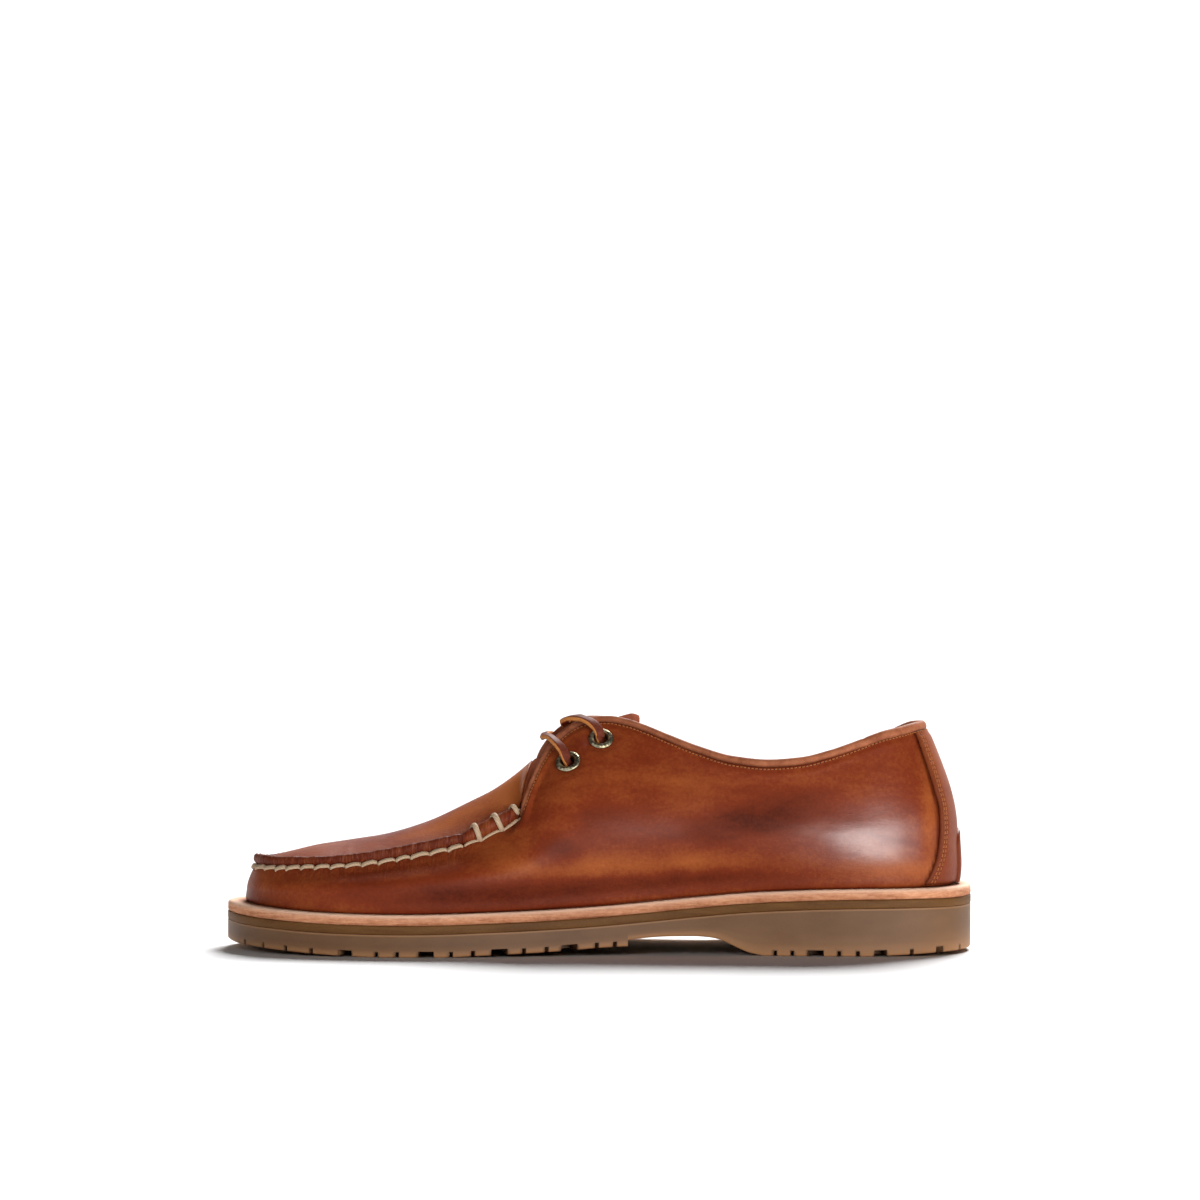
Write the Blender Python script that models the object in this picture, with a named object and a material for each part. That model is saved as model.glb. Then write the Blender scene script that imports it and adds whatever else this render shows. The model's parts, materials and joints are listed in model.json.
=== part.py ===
"""Moc-toe lace-up shoe, right foot, on a lugged rubber sole. Metres, +Z up.

The toe points to -X and the heel to +X; the inner (medial) side of the foot is -Y, the outer (lateral) side +Y.
The shoe stands on z = 0. Every curved piece is worked out from one last: an outline in plan, layer heights along the
length, and a wall profile at each station round the shoe.
"""

import math

import bmesh
import bpy
from mathutils import Vector

for old in list(bpy.data.objects):
    bpy.data.objects.remove(old, do_unlink=True)

# ------------------------------------------------------------------ driving sizes, millimetres
MM = 0.001
GAP = 0.3  # between pieces that touch
SOLE_LENGTH = 300.0
TOE_X, HEEL_X = -100.0, 105.0  # upright axes that the toe and heel stations fan round
WALL = 2.0  # upper leather with its lining
MIDSOLE_T = 2.9
WELT_T = 4.2
WELT_WIDTH = 15.0  # outer edge to the inside of the strip
# Upper's base, in from the welt's edge. Columns: station (0 toe tip, 1 toe axis, 2 heel axis, 3 heel's back), inset.
FEATHER_INSET = [(0.0, 6.6), (0.7, 6.2), (1.0, 6.0), (2.0, 6.0), (2.6, 6.4), (3.0, 6.9)]
BINDING_H, BINDING_T = 3.9, 3.5
LIP_T = 3.5  # the raised moccasin seam: two leathers side by side
EYELET_HOLE_R, EYELET_BARREL_R, EYELET_BORE_R, EYELET_FLANGE_R = 3.8, 3.3, 2.6, 5.0
LACE_W, LACE_T = 4.0, 1.9
TONGUE_T = 2.0
TONGUE_UNDER = 3.7  # its top, in from the last's outer surface
COUNTER_T, COUNTER_GAP = 1.1, 0.7

# Welt outline in plan. Columns: x, y of the inner side, heel to toe; then of the outer side, toe to heel.
OUTLINE_X_Y = [
    (150.0, 0.0), (147.6, -14.5), (139.5, -28.0), (124.5, -36.4), (104.0, -39.2), (80.0, -38.8), (55.0, -36.8),
    (32.0, -36.2), (10.0, -38.8), (-12.0, -43.8), (-35.0, -49.4), (-58.0, -53.2), (-80.0, -54.3), (-100.0, -52.4),
    (-118.0, -47.6), (-133.0, -39.2), (-143.6, -27.4), (-149.0, -14.5), (-150.0, -4.5),
    (-147.2, 8.5), (-139.0, 21.8), (-124.5, 33.4), (-106.0, 42.2), (-85.0, 48.8), (-62.0, 52.8), (-38.0, 54.3),
    (-14.0, 52.4), (10.0, 47.6), (34.0, 43.6), (58.0, 41.2), (82.0, 40.0), (106.0, 39.2), (125.5, 36.2),
    (139.8, 27.8), (147.6, 14.5),
]

# Heights along the length. Columns: x, top of the outsole.
OUTSOLE_TOP = [
    (-150, 11.5), (-138, 10.7), (-125, 10.0), (-112, 9.4), (-98, 9.0), (-78, 8.8), (-62, 9.0), (-46, 9.5), (-30, 10.0),
    (-12, 10.8), (5, 11.9), (22, 13.4), (40, 15.2), (57, 16.8), (75, 17.9), (93, 18.6), (111, 18.9), (131, 19.1), (150, 19.1),
]
# Columns: x, underside of the outsole, for the forefoot, the waist and the heel block.
FOREFOOT_BOTTOM = [(-150, 3.7), (-145, 3.0), (-136, 2.4), (-124, 1.7), (-111, 0.9), (-98, 0.3), (-86, 0.0), (-62, 0.0), (-48, 0.5), (-30, 1.2), (-14, 2.0), (0, 3.0), (12, 3.5)]
FOREFOOT_END = 11.7
WAIST_BOTTOM = [(11, 5.8), (18, 6.7), (28, 7.3), (38, 7.4), (44, 7.0), (48, 6.2), (52, 4.4), (56, 2.5), (60, 1.0), (65, 0.0)]
HEEL_BREAST = 65.0
HEEL_BOTTOM = [(65, 0.0), (105, 0.0), (119, 0.5), (133, 1.1), (150, 1.6)]

# The ridge line that the sections are measured from. Columns: x, y.
SPINE = [(-150, -4.5), (-100, -4.0), (-70, -3.0), (-34, -1.0), (0, 0.5), (40, 1.0), (105, 0.0), (150, 0.0)]

# Wall profile at each station. The key is 0 at the toe tip, 1 at TOE_X (fan of 90 degrees), 2 at HEEL_X, 3 at the heel's back.
# Columns: station, edge_in (edge or seam, in from the feather), edge_z, bulge (out from the feather), bulge_up (share of
# the height), edge_angle (wall at the edge, degrees from level), top_angle (surface past the edge), crown_z.


def at_x(x):
    return 1 + (x - TOE_X) / (HEEL_X - TOE_X)


# Both sides share a row. edge_in holds along the seam; behind THROAT_X the edge is given as a radius, edge_r, instead.
SECTIONS = [
    # station, edge_in, edge_r, edge_z, bulge, bulge_up, edge_angle, top_angle, crown_z
    (0.00, 2.6, None, 33.2, 0.35, 0.36, 78, 26, 42.7),
    (0.35, 3.6, None, 33.5, 0.6, 0.38, 74, 26, 42.7),
    (0.70, 6.4, None, 34.6, 1.0, 0.40, 68, 26, 42.7),
    (at_x(-100), 9.0, None, 35.4, 1.4, 0.42, 62, 26, 42.3),
    (at_x(-87), 9.8, None, 36.8, 1.7, 0.43, 60, 27, 44.3),
    (at_x(-71), 10.4, None, 39.6, 2.1, 0.44, 60, 30, 49.0),
    (at_x(-58), 10.8, None, 42.4, 2.5, 0.44, 60, 34, 54.8),
    (at_x(-47), 11.2, None, 45.6, 3.0, 0.43, 60, 39, 60.8),
    (at_x(-40), 11.6, None, 48.8, 3.4, 0.42, 60, 43, 65.1),
    (at_x(-32), 12.2, None, 53.4, 3.7, 0.40, 58, 46, 71.0),
    (at_x(-29.2), None, 30.2, 61.4, 3.9, 0.38, 52, 50, 73.4),
    (at_x(-25.8), None, 25.0, 70.2, 4.1, 0.36, 48, 46, 76.4),
    (at_x(-22.3), None, 19.5, 77.6, 4.2, 0.34, 45, 42, 79.5),
    (at_x(-18.7), None, 15.7, 82.9, 4.3, 0.33, 42, 36, 82.4),
    (at_x(-14), None, 13.0, 87.8, 4.4, 0.33, 41, 30, 85.7),
    (at_x(-8.5), None, 11.7, 91.5, 4.4, 0.33, 41, 28, 88.7),
    (at_x(-3), None, 11.8, 93.2, 4.4, 0.33, 43, 28, 91.3),
    (at_x(4), None, 12.8, 93.6, 4.4, 0.33, 47, 28, 94.2),
    (at_x(11), None, 14.8, 92.6, 4.4, 0.34, 52, 28, 96.8),
    (at_x(18), None, 17.4, 90.4, 4.4, 0.35, 58, 28, 99.4),
    (at_x(28), None, 21.4, 86.5, 4.4, 0.37, 66, 28, 99.0),
    (at_x(40), None, 25.6, 82.1, 4.4, 0.39, 73, 28, 99.0),
    (at_x(53), None, 28.9, 78.5, 4.3, 0.40, 79, 28, 99.0),
    (at_x(67), None, 30.6, 77.2, 4.1, 0.41, 83, 28, 99.0),
    (at_x(80), None, 30.6, 78.2, 3.7, 0.40, 83, 28, 99.0),
    (at_x(92), None, 29.4, 81.2, 3.2, 0.38, 81, 28, 99.0),
    (2.00, None, 27.4, 85.6, 2.4, 0.36, 78, 28, 99.0),
    (2.35, None, 26.2, 90.0, 1.2, 0.34, 74, 28, 99.0),
    (2.70, None, 25.6, 92.0, 0.5, 0.32, 71, 28, 99.0),
    (3.00, None, 25.4, 92.2, 0.2, 0.31, 70, 28, 99.0),
]
THROAT_X = -32.0  # the seam ends and the facings begin
OUTER_FACING_LEAD = [(at_x(THROAT_X), 0.0), (at_x(-29), 0.2), (at_x(-23.5), 1.8), (at_x(-13), 1.8), (at_x(8), 0.0)]  # outer facing stands further forward
OUTER_TOPLINE_DROP = [(0.0, 0.0), (at_x(10), 0.0), (at_x(40), 1.6), (at_x(67), 2.4), (at_x(92), 1.8), (2.35, 0.6), (3.0, 0.0)]
PLUG_REAR_SHIFT = 6.5  # how far the plug's rear edge bows back at the ridge
LIP_HEIGHT = [(0.0, 4.3), (0.5, 4.8), (1.0, 4.2), (at_x(-71), 4.3), (at_x(-55), 5.0), (at_x(-47), 7.0), (at_x(-41), 7.2), (at_x(THROAT_X), 6.6)]

# Eyelet centres on the quarters. Columns: name, x, height.
EYELETS = [("lower", -12.4, 75.0), ("upper", 0.7, 83.8)]

# Lace crossings. Columns: name, eyelet, x at the ridge, rise of the middle over the facings' edges.
LACE_BARS = [("lower", 0, -23.5, -0.4), ("upper", 1, -12.5, -0.6)]

# Main lugs. Columns: x of the notch, width, how far in from the edge.
NOTCHES = [(-98.9, 4.7, 14.0), (-67.2, 5.5, 15.0), (-38.6, 5.8, 15.0), (-11.3, 5.9, 13.0), (85.6, 5.9, 13.0), (111.3, 4.4, 12.0), (135.2, 2.9, 10.0)]
NOTCH_DEPTH = 2.4

# Stations: divisions of the toe fan, the middle and the heel fan.
TOE_DIVISIONS, HEEL_DIVISIONS = 8, 7
MIDDLE_X = [-100, -91, -82, -73, -64.5, -56, -48, -40, -32, -30.5, -28.6, -25.8, -22.3, -18.3, -13, -6, 2, 10, 18, 27, 37, 48, 60, 72, 84, 95, 105]


# ------------------------------------------------------------------ small helpers
def smooth_table(rows, x, column=1):
    """Value of a column at x, by a monotone cubic through the rows."""
    xs = [r[0] for r in rows]
    ys = [r[column] for r in rows]
    if x <= xs[0]:
        return ys[0]
    if x >= xs[-1]:
        return ys[-1]
    i = max(k for k in range(len(xs) - 1) if xs[k] <= x)
    d = [(ys[k + 1] - ys[k]) / (xs[k + 1] - xs[k]) for k in range(len(xs) - 1)]

    def slope(k):
        if k == 0:
            return d[0]
        if k == len(xs) - 1:
            return d[-1]
        if d[k - 1] * d[k] <= 0:
            return 0.0
        w1 = 2 * (xs[k + 1] - xs[k]) + (xs[k] - xs[k - 1])
        w2 = (xs[k + 1] - xs[k]) + 2 * (xs[k] - xs[k - 1])
        return (w1 + w2) / (w1 / d[k - 1] + w2 / d[k])

    h = xs[i + 1] - xs[i]
    t = (x - xs[i]) / h
    m0, m1 = slope(i) * h, slope(i + 1) * h
    return (
        (2 * t**3 - 3 * t**2 + 1) * ys[i] + (t**3 - 2 * t**2 + t) * m0 + (-2 * t**3 + 3 * t**2) * ys[i + 1] + (t**3 - t**2) * m1
    )


def hermite(p0, t0, p1, t1, n):
    """Points of a cubic from p0 to p1 that leaves along t0 and arrives along t1, without its first point."""
    out = []
    for k in range(1, n + 1):
        t = k / n
        a, b, c, d = 2 * t**3 - 3 * t**2 + 1, t**3 - 2 * t**2 + t, -2 * t**3 + 3 * t**2, t**3 - t**2
        out.append(tuple(a * p0[i] + b * t0[i] + c * p1[i] + d * t1[i] for i in range(2)))
    return out


def closed_curve(points, per_side):
    """Catmull-Rom round the closed list of points."""
    out, n = [], len(points)
    for i in range(n):
        p0, p1, p2, p3 = (points[(i + k - 1) % n] for k in range(4))
        for s in range(per_side):
            t = s / per_side
            out.append(
                tuple(
                    0.5 * (2 * p1[k] + (p2[k] - p0[k]) * t + (2 * p0[k] - 5 * p1[k] + 4 * p2[k] - p3[k]) * t * t + (3 * p1[k] - p0[k] - 3 * p2[k] + p3[k]) * t**3)
                    for k in range(2)
                )
            )
    return out


def inset_curve(curve, amount):
    """The closed curve moved inwards along its normals. It runs clockwise seen from above."""
    out, n = [], len(curve)
    for i in range(n):
        ax, ay = curve[i - 1]
        bx, by = curve[(i + 1) % n]
        dx, dy = bx - ax, by - ay
        length = math.hypot(dx, dy)
        inward = (dy / length, -dx / length)
        out.append((curve[i][0] + inward[0] * amount, curve[i][1] + inward[1] * amount))
    return out


WELT_CURVE = closed_curve(OUTLINE_X_Y, 10)
_curves = {}


def outline(inset):
    """Plan curve in from the welt's edge, worked out once for each inset."""
    key = round(inset, 3)
    if key not in _curves:
        curve = inset_curve(WELT_CURVE, inset)
        area = sum(curve[i - 1][0] * curve[i][1] - curve[i][0] * curve[i - 1][1] for i in range(len(curve)))
        welt_area = sum(WELT_CURVE[i - 1][0] * WELT_CURVE[i][1] - WELT_CURVE[i][0] * WELT_CURVE[i - 1][1] for i in range(len(WELT_CURVE)))
        if inset > 0 and abs(area) > abs(welt_area):
            curve = inset_curve(WELT_CURVE, -inset)
        _curves[key] = curve
    return _curves[key]


def spine_y(x):
    return smooth_table(SPINE, x)


def station_frame(q, side):
    """Origin and outward direction in plan of the station on side -1 (inner) or +1 (outer)."""
    if q < 1:
        a = math.radians(90 * q)
        return (TOE_X, spine_y(TOE_X)), (-math.cos(a), side * math.sin(a))
    if q > 2:
        a = math.radians(90 * (3 - q))
        return (HEEL_X, spine_y(HEEL_X)), (math.cos(a), side * math.sin(a))
    x = TOE_X + (q - 1) * (HEEL_X - TOE_X)
    return (x, spine_y(x)), (0.0, float(side))


def reach(q, side, inset):
    """Distance from the station's origin to the plan curve."""
    (ox, oy), (dx, dy) = station_frame(q, side)
    curve, best = outline(inset), 0.0
    for i in range(len(curve)):
        ax, ay = curve[i - 1][0] - ox, curve[i - 1][1] - oy
        bx, by = curve[i][0] - ox, curve[i][1] - oy
        ca, cb = dx * ay - dy * ax, dx * by - dy * bx
        if (ca <= 0 < cb) or (cb <= 0 < ca):
            t = ca / (ca - cb)
            best = max(best, dx * (ax + t * (bx - ax)) + dy * (ay + t * (by - ay)))
    return best


def feather_reach(q, side, extra=0.0):
    """Distance to the upper's base, or to a line further in."""
    return reach(q, side, 0.0) - (reach(q, side, 0.0) - reach(q, side, 6.0)) * smooth_table(FEATHER_INSET, q) / 6.0 - extra


def sole_top(x):
    return smooth_table(OUTSOLE_TOP, x)


def welt_top(x):
    return sole_top(x) + GAP + MIDSOLE_T + GAP + WELT_T


_profiles = {}


def profile(q, side):
    """Outer surface at a station as (radius, z) from the feather to the ridge, and the index of its edge or seam."""
    key = (round(q, 5), side)
    if key in _profiles:
        return _profiles[key]
    (ox, oy), (dx, dy) = station_frame(q, side)
    r_f = feather_reach(q, side)
    z_f = welt_top(ox + dx * r_f) + GAP

    lead = smooth_table(OUTER_FACING_LEAD, q) / (HEEL_X - TOE_X) if side > 0 else 0.0

    def column(k):
        return smooth_table([r for r in SECTIONS if r[k] is not None], q + (lead if k in (2, 3, 6) else 0.0), k)

    if q <= at_x(THROAT_X):
        r_e = r_f - column(1)
    elif q >= at_x(-29.2):
        r_e = column(2)
    else:
        share = (q - at_x(THROAT_X)) / (at_x(-29.2) - at_x(THROAT_X))
        r_e = (r_f - column(1)) * (1 - share) + column(2) * share
    z_e = column(3) - (smooth_table(OUTER_TOPLINE_DROP, q) if side > 0 else 0.0)
    r_b = r_f + column(4)
    z_b = z_f + column(5) * (z_e - z_f)
    edge, top = math.radians(column(6)), math.radians(column(7))
    crown = column(8)
    low = math.hypot(r_b - r_f, z_b - z_f)
    high = math.hypot(r_e - r_b, z_e - z_b)
    points = [(r_f, z_f)]
    points += hermite((r_f, z_f), (0.25 * low, 0.95 * low), (r_b, z_b), (0.0, low), 12)
    points += hermite((r_b, z_b), (0.0, high * 1.05), (r_e, z_e), (-high * math.cos(edge), high * math.sin(edge)), 24)
    at_edge = len(points) - 1
    if q <= at_x(22):
        span = math.hypot(r_e, crown - z_e)
        tilt = 0.15 * math.cos(math.radians(90 * q)) if q < 1 else 0.0
        points += hermite((r_e, z_e), (-span * math.cos(top), span * math.sin(top)), (0.0, crown), (-span, span * tilt), 24)
    _profiles[key] = (points, at_edge)
    return _profiles[key]


def lengths(points):
    total = [0.0]
    for a, b in zip(points, points[1:]):
        total.append(total[-1] + math.hypot(b[0] - a[0], b[1] - a[1]))
    return total


def along(points, total, s):
    """The point at arc length s along a polyline."""
    if s <= 0:
        return points[0]
    if s >= total[-1]:
        return points[-1]
    i = max(k for k in range(len(total) - 1) if total[k] <= s)
    t = (s - total[i]) / max(1e-9, total[i + 1] - total[i])
    return tuple(points[i][k] + t * (points[i + 1][k] - points[i][k]) for k in range(2))


def place(q, side, rz):
    """World point of a (radius, z) at a station."""
    (ox, oy), (dx, dy) = station_frame(q, side)
    return Vector((ox + dx * rz[0], oy + dy * rz[0], rz[1]))


def wall_rz(q, side, share, trim=0.0):
    """(radius, z) at a share of the way from the feather to the edge, less trim at the top."""
    points, at_edge = profile(q, side)
    part = points[: at_edge + 1]
    total = lengths(part)
    return along(part, total, share * (total[-1] - trim))


def wall_point(q, side, share, trim=0.0):
    return place(q, side, wall_rz(q, side, share, trim))


def top_z(q, side, r):
    """Height of the outer surface at radius r, above the widest point."""
    points, at_edge = profile(q, side)
    part = points[12:]
    for a, b in zip(part, part[1:]):
        if b[0] <= r <= a[0]:
            t = (a[0] - r) / max(1e-9, a[0] - b[0])
            return a[1] + t * (b[1] - a[1])
    return part[-1][1] if r < part[-1][0] else part[0][1]


def plug_point(q, side, r):
    """Outer surface over the foot at radius r. Towards the throat the sections bow back at the ridge."""
    if q < 1:
        return place(q, side, (r, top_z(q, side, r)))
    x = TOE_X + (q - 1) * (HEEL_X - TOE_X)
    full = profile(q, side)
    r_seam = full[0][full[1]][0]
    weight = min(1.0, max(0.0, (x + 64.0) / (THROAT_X + 64.0)))
    weight = weight * weight * (3 - 2 * weight)
    x2 = x + PLUG_REAR_SHIFT * weight * (1 - min(1.0, r / r_seam) ** 2)
    q2 = at_x(x2)
    return place(q2, side, (r, top_z(q2, side, r)))


def wall_normal(q, side, share, trim=0.0):
    """Outward normal of the wall."""
    lo, hi = max(0.0, share - 0.02), min(1.0, share + 0.02)
    up = wall_point(q, side, hi, trim) - wall_point(q, side, lo, trim)
    q0, q1 = max(0.0, q - 0.02), min(3.0, q + 0.02)
    ahead = wall_point(q1, side, share, trim) - wall_point(q0, side, share, trim)
    if q <= 0.001 or q >= 2.999:
        ahead = Vector((0, 1 if q < 1 else -1, 0)) * side  # the two sides meet square there
    n = ahead.cross(up) * side
    n.normalize()
    (_, _), (dx, dy) = station_frame(q, side)
    return n if n.x * dx + n.y * dy + 0.2 * n.z > 0 else -n


def plug_normal(q, side, r):
    e = 0.6
    if q < 1:
        ux = plug_point(q, side, r + e) - plug_point(q, side, max(0.0, r - e))
        q0, q1 = max(0.0, q - 0.03), min(0.999, q + 0.03)
        vx = plug_point(q1, side, r) - plug_point(q0, side, r)
        if r < 3 or vx.length < 1e-6:
            return Vector((-0.15, 0, 1)).normalized()
        if q < 0.03:
            vx = Vector((0, 1, 0))
    else:
        ux = plug_point(q, side, r + e) - plug_point(q, side, max(0.0, r - e))
        if r < 0.5:
            ux = Vector((0, 1, 0))
        vx = plug_point(min(q + 0.008, at_x(-34.0)), side, r) - plug_point(max(1.0, q - 0.008), side, r)
    n = ux.cross(vx)
    n.normalize()
    return n if n.z > 0 else -n


# ------------------------------------------------------------------ mesh helpers
class Shell:
    """Vertices in millimetres and faces, written as one named object."""

    def __init__(self):
        self.points, self.faces = [], []

    def add(self, p):
        self.points.append(Vector(p))
        return len(self.points) - 1

    def face(self, *ids):
        kept = []
        for i in ids:
            if i not in kept:
                kept.append(i)
        if len(kept) > 2:
            self.faces.append(kept)

    def build(self, name, material, smooth_deg=40):
        mesh = bpy.data.meshes.new(name)
        mesh.from_pydata([p * MM for p in self.points], [], self.faces)
        bm = bmesh.new()
        bm.from_mesh(mesh)
        bmesh.ops.remove_doubles(bm, verts=bm.verts, dist=1e-6)
        bmesh.ops.recalc_face_normals(bm, faces=bm.faces)
        if bm.calc_volume(signed=True) < 0:
            bmesh.ops.reverse_faces(bm, faces=bm.faces)
        bm.to_mesh(mesh)
        bm.free()
        mesh.shade_smooth()
        mesh.set_sharp_from_angle(angle=math.radians(smooth_deg))
        obj = bpy.data.objects.new(name, mesh)
        bpy.context.scene.collection.objects.link(obj)
        obj.data.materials.append(material)
        return obj


def material(name, colour, roughness, metallic=0.0):
    m = bpy.data.materials.new(name)
    m.use_nodes = True
    shader = m.node_tree.nodes["Principled BSDF"]
    shader.inputs["Base Color"].default_value = (*colour, 1.0)
    shader.inputs["Roughness"].default_value = roughness
    shader.inputs["Metallic"].default_value = metallic
    return m


LEATHER = material("upper_leather", (0.30, 0.075, 0.028), 0.35)
BINDING = material("binding_leather", (0.33, 0.11, 0.05), 0.5)
WELT_LEATHER = material("welt_leather", (0.55, 0.27, 0.15), 0.75)
MIDSOLE_RUBBER = material("midsole_rubber", (0.13, 0.065, 0.025), 0.65)
OUTSOLE_RUBBER = material("outsole_rubber", (0.16, 0.09, 0.05), 0.5)
SOCK = material("sock_leather", (0.42, 0.24, 0.12), 0.6)
BRASS = material("eyelet_brass", (0.32, 0.28, 0.18), 0.35, 1.0)
LACE = material("lace_rawhide", (0.22, 0.06, 0.03), 0.6)


def station_list():
    """(station, side) all the way round: heel back, inner side, toe tip, outer side."""
    half = [k / TOE_DIVISIONS for k in range(TOE_DIVISIONS)] + [at_x(x) for x in MIDDLE_X]
    half += [2 + k / HEEL_DIVISIONS for k in range(1, HEEL_DIVISIONS + 1)]
    inner = [(q, -1) for q in reversed(half)]
    outer = [(q, 1) for q in half[1:-1]]
    return inner + outer


STATIONS = station_list()


# ------------------------------------------------------------------ sole layers
def edge_point(q, side, inset, z_of_x):
    (ox, oy), (dx, dy) = station_frame(q, side)
    r = reach(q, side, inset)
    x, y = ox + dx * r, oy + dy * r
    return Vector((x, y, z_of_x(x)))


def station_on_edge(x, side):
    """Station whose point on the welt's edge has this x."""
    if TOE_X <= x <= HEEL_X:
        return at_x(x)
    low, high = (0.0, 1.0) if x < TOE_X else (2.0, 3.0)
    for _ in range(20):
        middle = (low + high) / 2
        if edge_point(middle, side, 0.0, lambda x: 0.0).x < x:
            low = middle
        else:
            high = middle
    return low


def cap(shell, ring, z_of_x, shares=(0.5,)):
    """Closes a ring of station points with rows that run to the spine, following z_of_x."""
    rows = [ring]
    count = len(STATIONS)
    for share in shares:
        row = []
        for i, (q, side) in enumerate(STATIONS):
            (ox, oy), _ = station_frame(q, side)
            p = shell.points[ring[i]]
            x, y = p.x + (ox - p.x) * share, p.y + (oy - p.y) * share
            row.append(shell.add((x, y, z_of_x(x))))
        rows.append(row)
    centre, made = [], {}
    for q, side in STATIONS:
        (ox, oy), _ = station_frame(q, side)
        key = round(ox, 4)
        if key not in made:
            made[key] = shell.add((ox, oy, z_of_x(ox)))
        centre.append(made[key])
    rows.append(centre)
    for a, b in zip(rows, rows[1:]):
        for i in range(count):
            j = (i + 1) % count
            shell.face(a[i], a[j], b[j], b[i])


def band(shell, low, high):
    for i in range(len(low)):
        j = (i + 1) % len(low)
        shell.face(low[i], low[j], high[j], high[i])


def ring_of(shell, inset, z_of_x):
    return [shell.add(edge_point(q, side, inset, z_of_x)) for q, side in STATIONS]


CUT_FROM = -70.0  # the waist's cutter starts here, on the flat


def outsole_bottom(x):
    """Underside along the length. The waist steps up behind the forefoot and runs down into the heel breast."""
    if x <= FOREFOOT_END:
        return smooth_table(FOREFOOT_BOTTOM, x)
    if x < HEEL_BREAST:
        return smooth_table(WAIST_BOTTOM, x)
    return smooth_table(HEEL_BOTTOM, x)


def uncut_bottom(x):
    """The same before the waist is cut away."""
    return 0.0 if CUT_FROM < x < HEEL_BREAST else outsole_bottom(x)


def make_outsole():
    shell = Shell()
    top = ring_of(shell, 0.0, sole_top)
    under = ring_of(shell, 0.0, lambda x: uncut_bottom(x) + 1.2)
    foot = ring_of(shell, 0.8, uncut_bottom)
    cap(shell, top, sole_top)
    band(shell, under, top)
    band(shell, foot, under)
    cap(shell, foot, uncut_bottom)
    sole = shell.build("outsole", OUTSOLE_RUBBER)

    # One cutter clears the waist and the rear of the forefoot; it is an extruded outline as seen from the side.
    cut = Shell()
    line = [(-61.0, -5.0), (-61.0, -0.002)]
    line += [(x, smooth_table(FOREFOOT_BOTTOM, x)) for x in (-57, -52, -46, -38, -30, -20, -10, -3, 4)]
    line += [(FOREFOOT_END, smooth_table(FOREFOOT_BOTTOM, FOREFOOT_END))]
    line += [(FOREFOOT_END + 0.4, smooth_table(WAIST_BOTTOM, FOREFOOT_END))]
    line += [(x, smooth_table(WAIST_BOTTOM, x)) for x in (15, 20, 28, 36, 42, 46, 49, 53, 57, 60.5)]
    line += [(HEEL_BREAST, -0.002), (HEEL_BREAST, -5.0)]
    near = [cut.add((x, -90.0, z)) for x, z in line]
    far = [cut.add((x, 90.0, z)) for x, z in line]
    cut.face(*near)
    cut.face(*reversed(far))
    for i in range(len(line)):
        j = (i + 1) % len(line)
        cut.face(near[i], far[i], far[j], near[j])
    cutter = cut.build("waist_cutter", OUTSOLE_RUBBER)
    hide(cutter)
    subtract(sole, cutter)

    # Lugs: a notch in from each edge at each row of the table, turned square to the edge.
    notches = Shell()
    for x, width, depth_in in NOTCHES:
        for side in (-1, 1):
            q = station_on_edge(x, side)
            p = edge_point(q, side, 0.0, lambda x: 0.0)
            (_, _), (dx, dy) = station_frame(q, side)
            z0 = outsole_bottom(p.x) - 1.0
            z1 = outsole_bottom(p.x) + NOTCH_DEPTH
            ax, ay = -dy, dx
            corners = []
            for z in (z0, z1):
                for s, t in ((-1, 6), (1, 6), (1, -depth_in), (-1, -depth_in)):
                    corners.append(notches.add((p.x + ax * s * width / 2 + dx * t, p.y + ay * s * width / 2 + dy * t, z)))
            a = corners
            for ids in ((0, 1, 2, 3), (7, 6, 5, 4), (0, 4, 5, 1), (1, 5, 6, 2), (2, 6, 7, 3), (3, 7, 4, 0)):
                notches.face(*[a[k] for k in ids])
    cutter = notches.build("notch_cutter", OUTSOLE_RUBBER)
    hide(cutter)
    subtract(sole, cutter)
    return sole


def hide(obj):
    obj.hide_render = True
    obj.display_type = "WIRE"


def subtract(obj, cutter):
    m = obj.modifiers.new("cut_" + cutter.name, "BOOLEAN")
    m.operation = "DIFFERENCE"
    m.solver = "EXACT"
    m.object = cutter


def make_plate(name, low_z, high_z, mat):
    """A full layer with the sole's outline between two height functions."""
    shell = Shell()
    low, high = ring_of(shell, 0.0, low_z), ring_of(shell, 0.0, high_z)
    cap(shell, low, low_z)
    cap(shell, high, high_z)
    band(shell, low, high)
    return shell.build(name, mat)


def make_welt():
    shell = Shell()

    def low_z(x):
        return sole_top(x) + GAP + MIDSOLE_T + GAP

    outer_low, outer_high = ring_of(shell, 0.0, low_z), ring_of(shell, 0.0, lambda x: welt_top(x) - 0.5)
    bevel = ring_of(shell, 0.5, welt_top)
    inner_high, inner_low = ring_of(shell, WELT_WIDTH, welt_top), ring_of(shell, WELT_WIDTH, low_z)
    rings = [outer_low, outer_high, bevel, inner_high, inner_low]
    for a, b in zip(rings, rings[1:] + rings[:1]):
        band(shell, a, b)
    return shell.build("welt", WELT_LEATHER)


def make_insole():
    """Footbed: its core fills the welt ring, and its rim reaches the upper's inner wall."""
    shell = Shell()
    core, rim = WELT_WIDTH + GAP, 6.9 + WALL + 1.0

    def base(x):
        return sole_top(x) + GAP + MIDSOLE_T + GAP

    def shelf(x):
        return welt_top(x) + GAP

    def top(x):
        return welt_top(x) + GAP + 3.0

    rings = [ring_of(shell, core, base), ring_of(shell, core, shelf), ring_of(shell, rim, shelf), ring_of(shell, rim, lambda x: top(x) - 0.6), ring_of(shell, rim + 0.9, top)]
    cap(shell, rings[0], base)
    for a, b in zip(rings, rings[1:]):
        band(shell, a, b)
    cap(shell, rings[-1], top)
    return shell.build("insole", SOCK)


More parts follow.
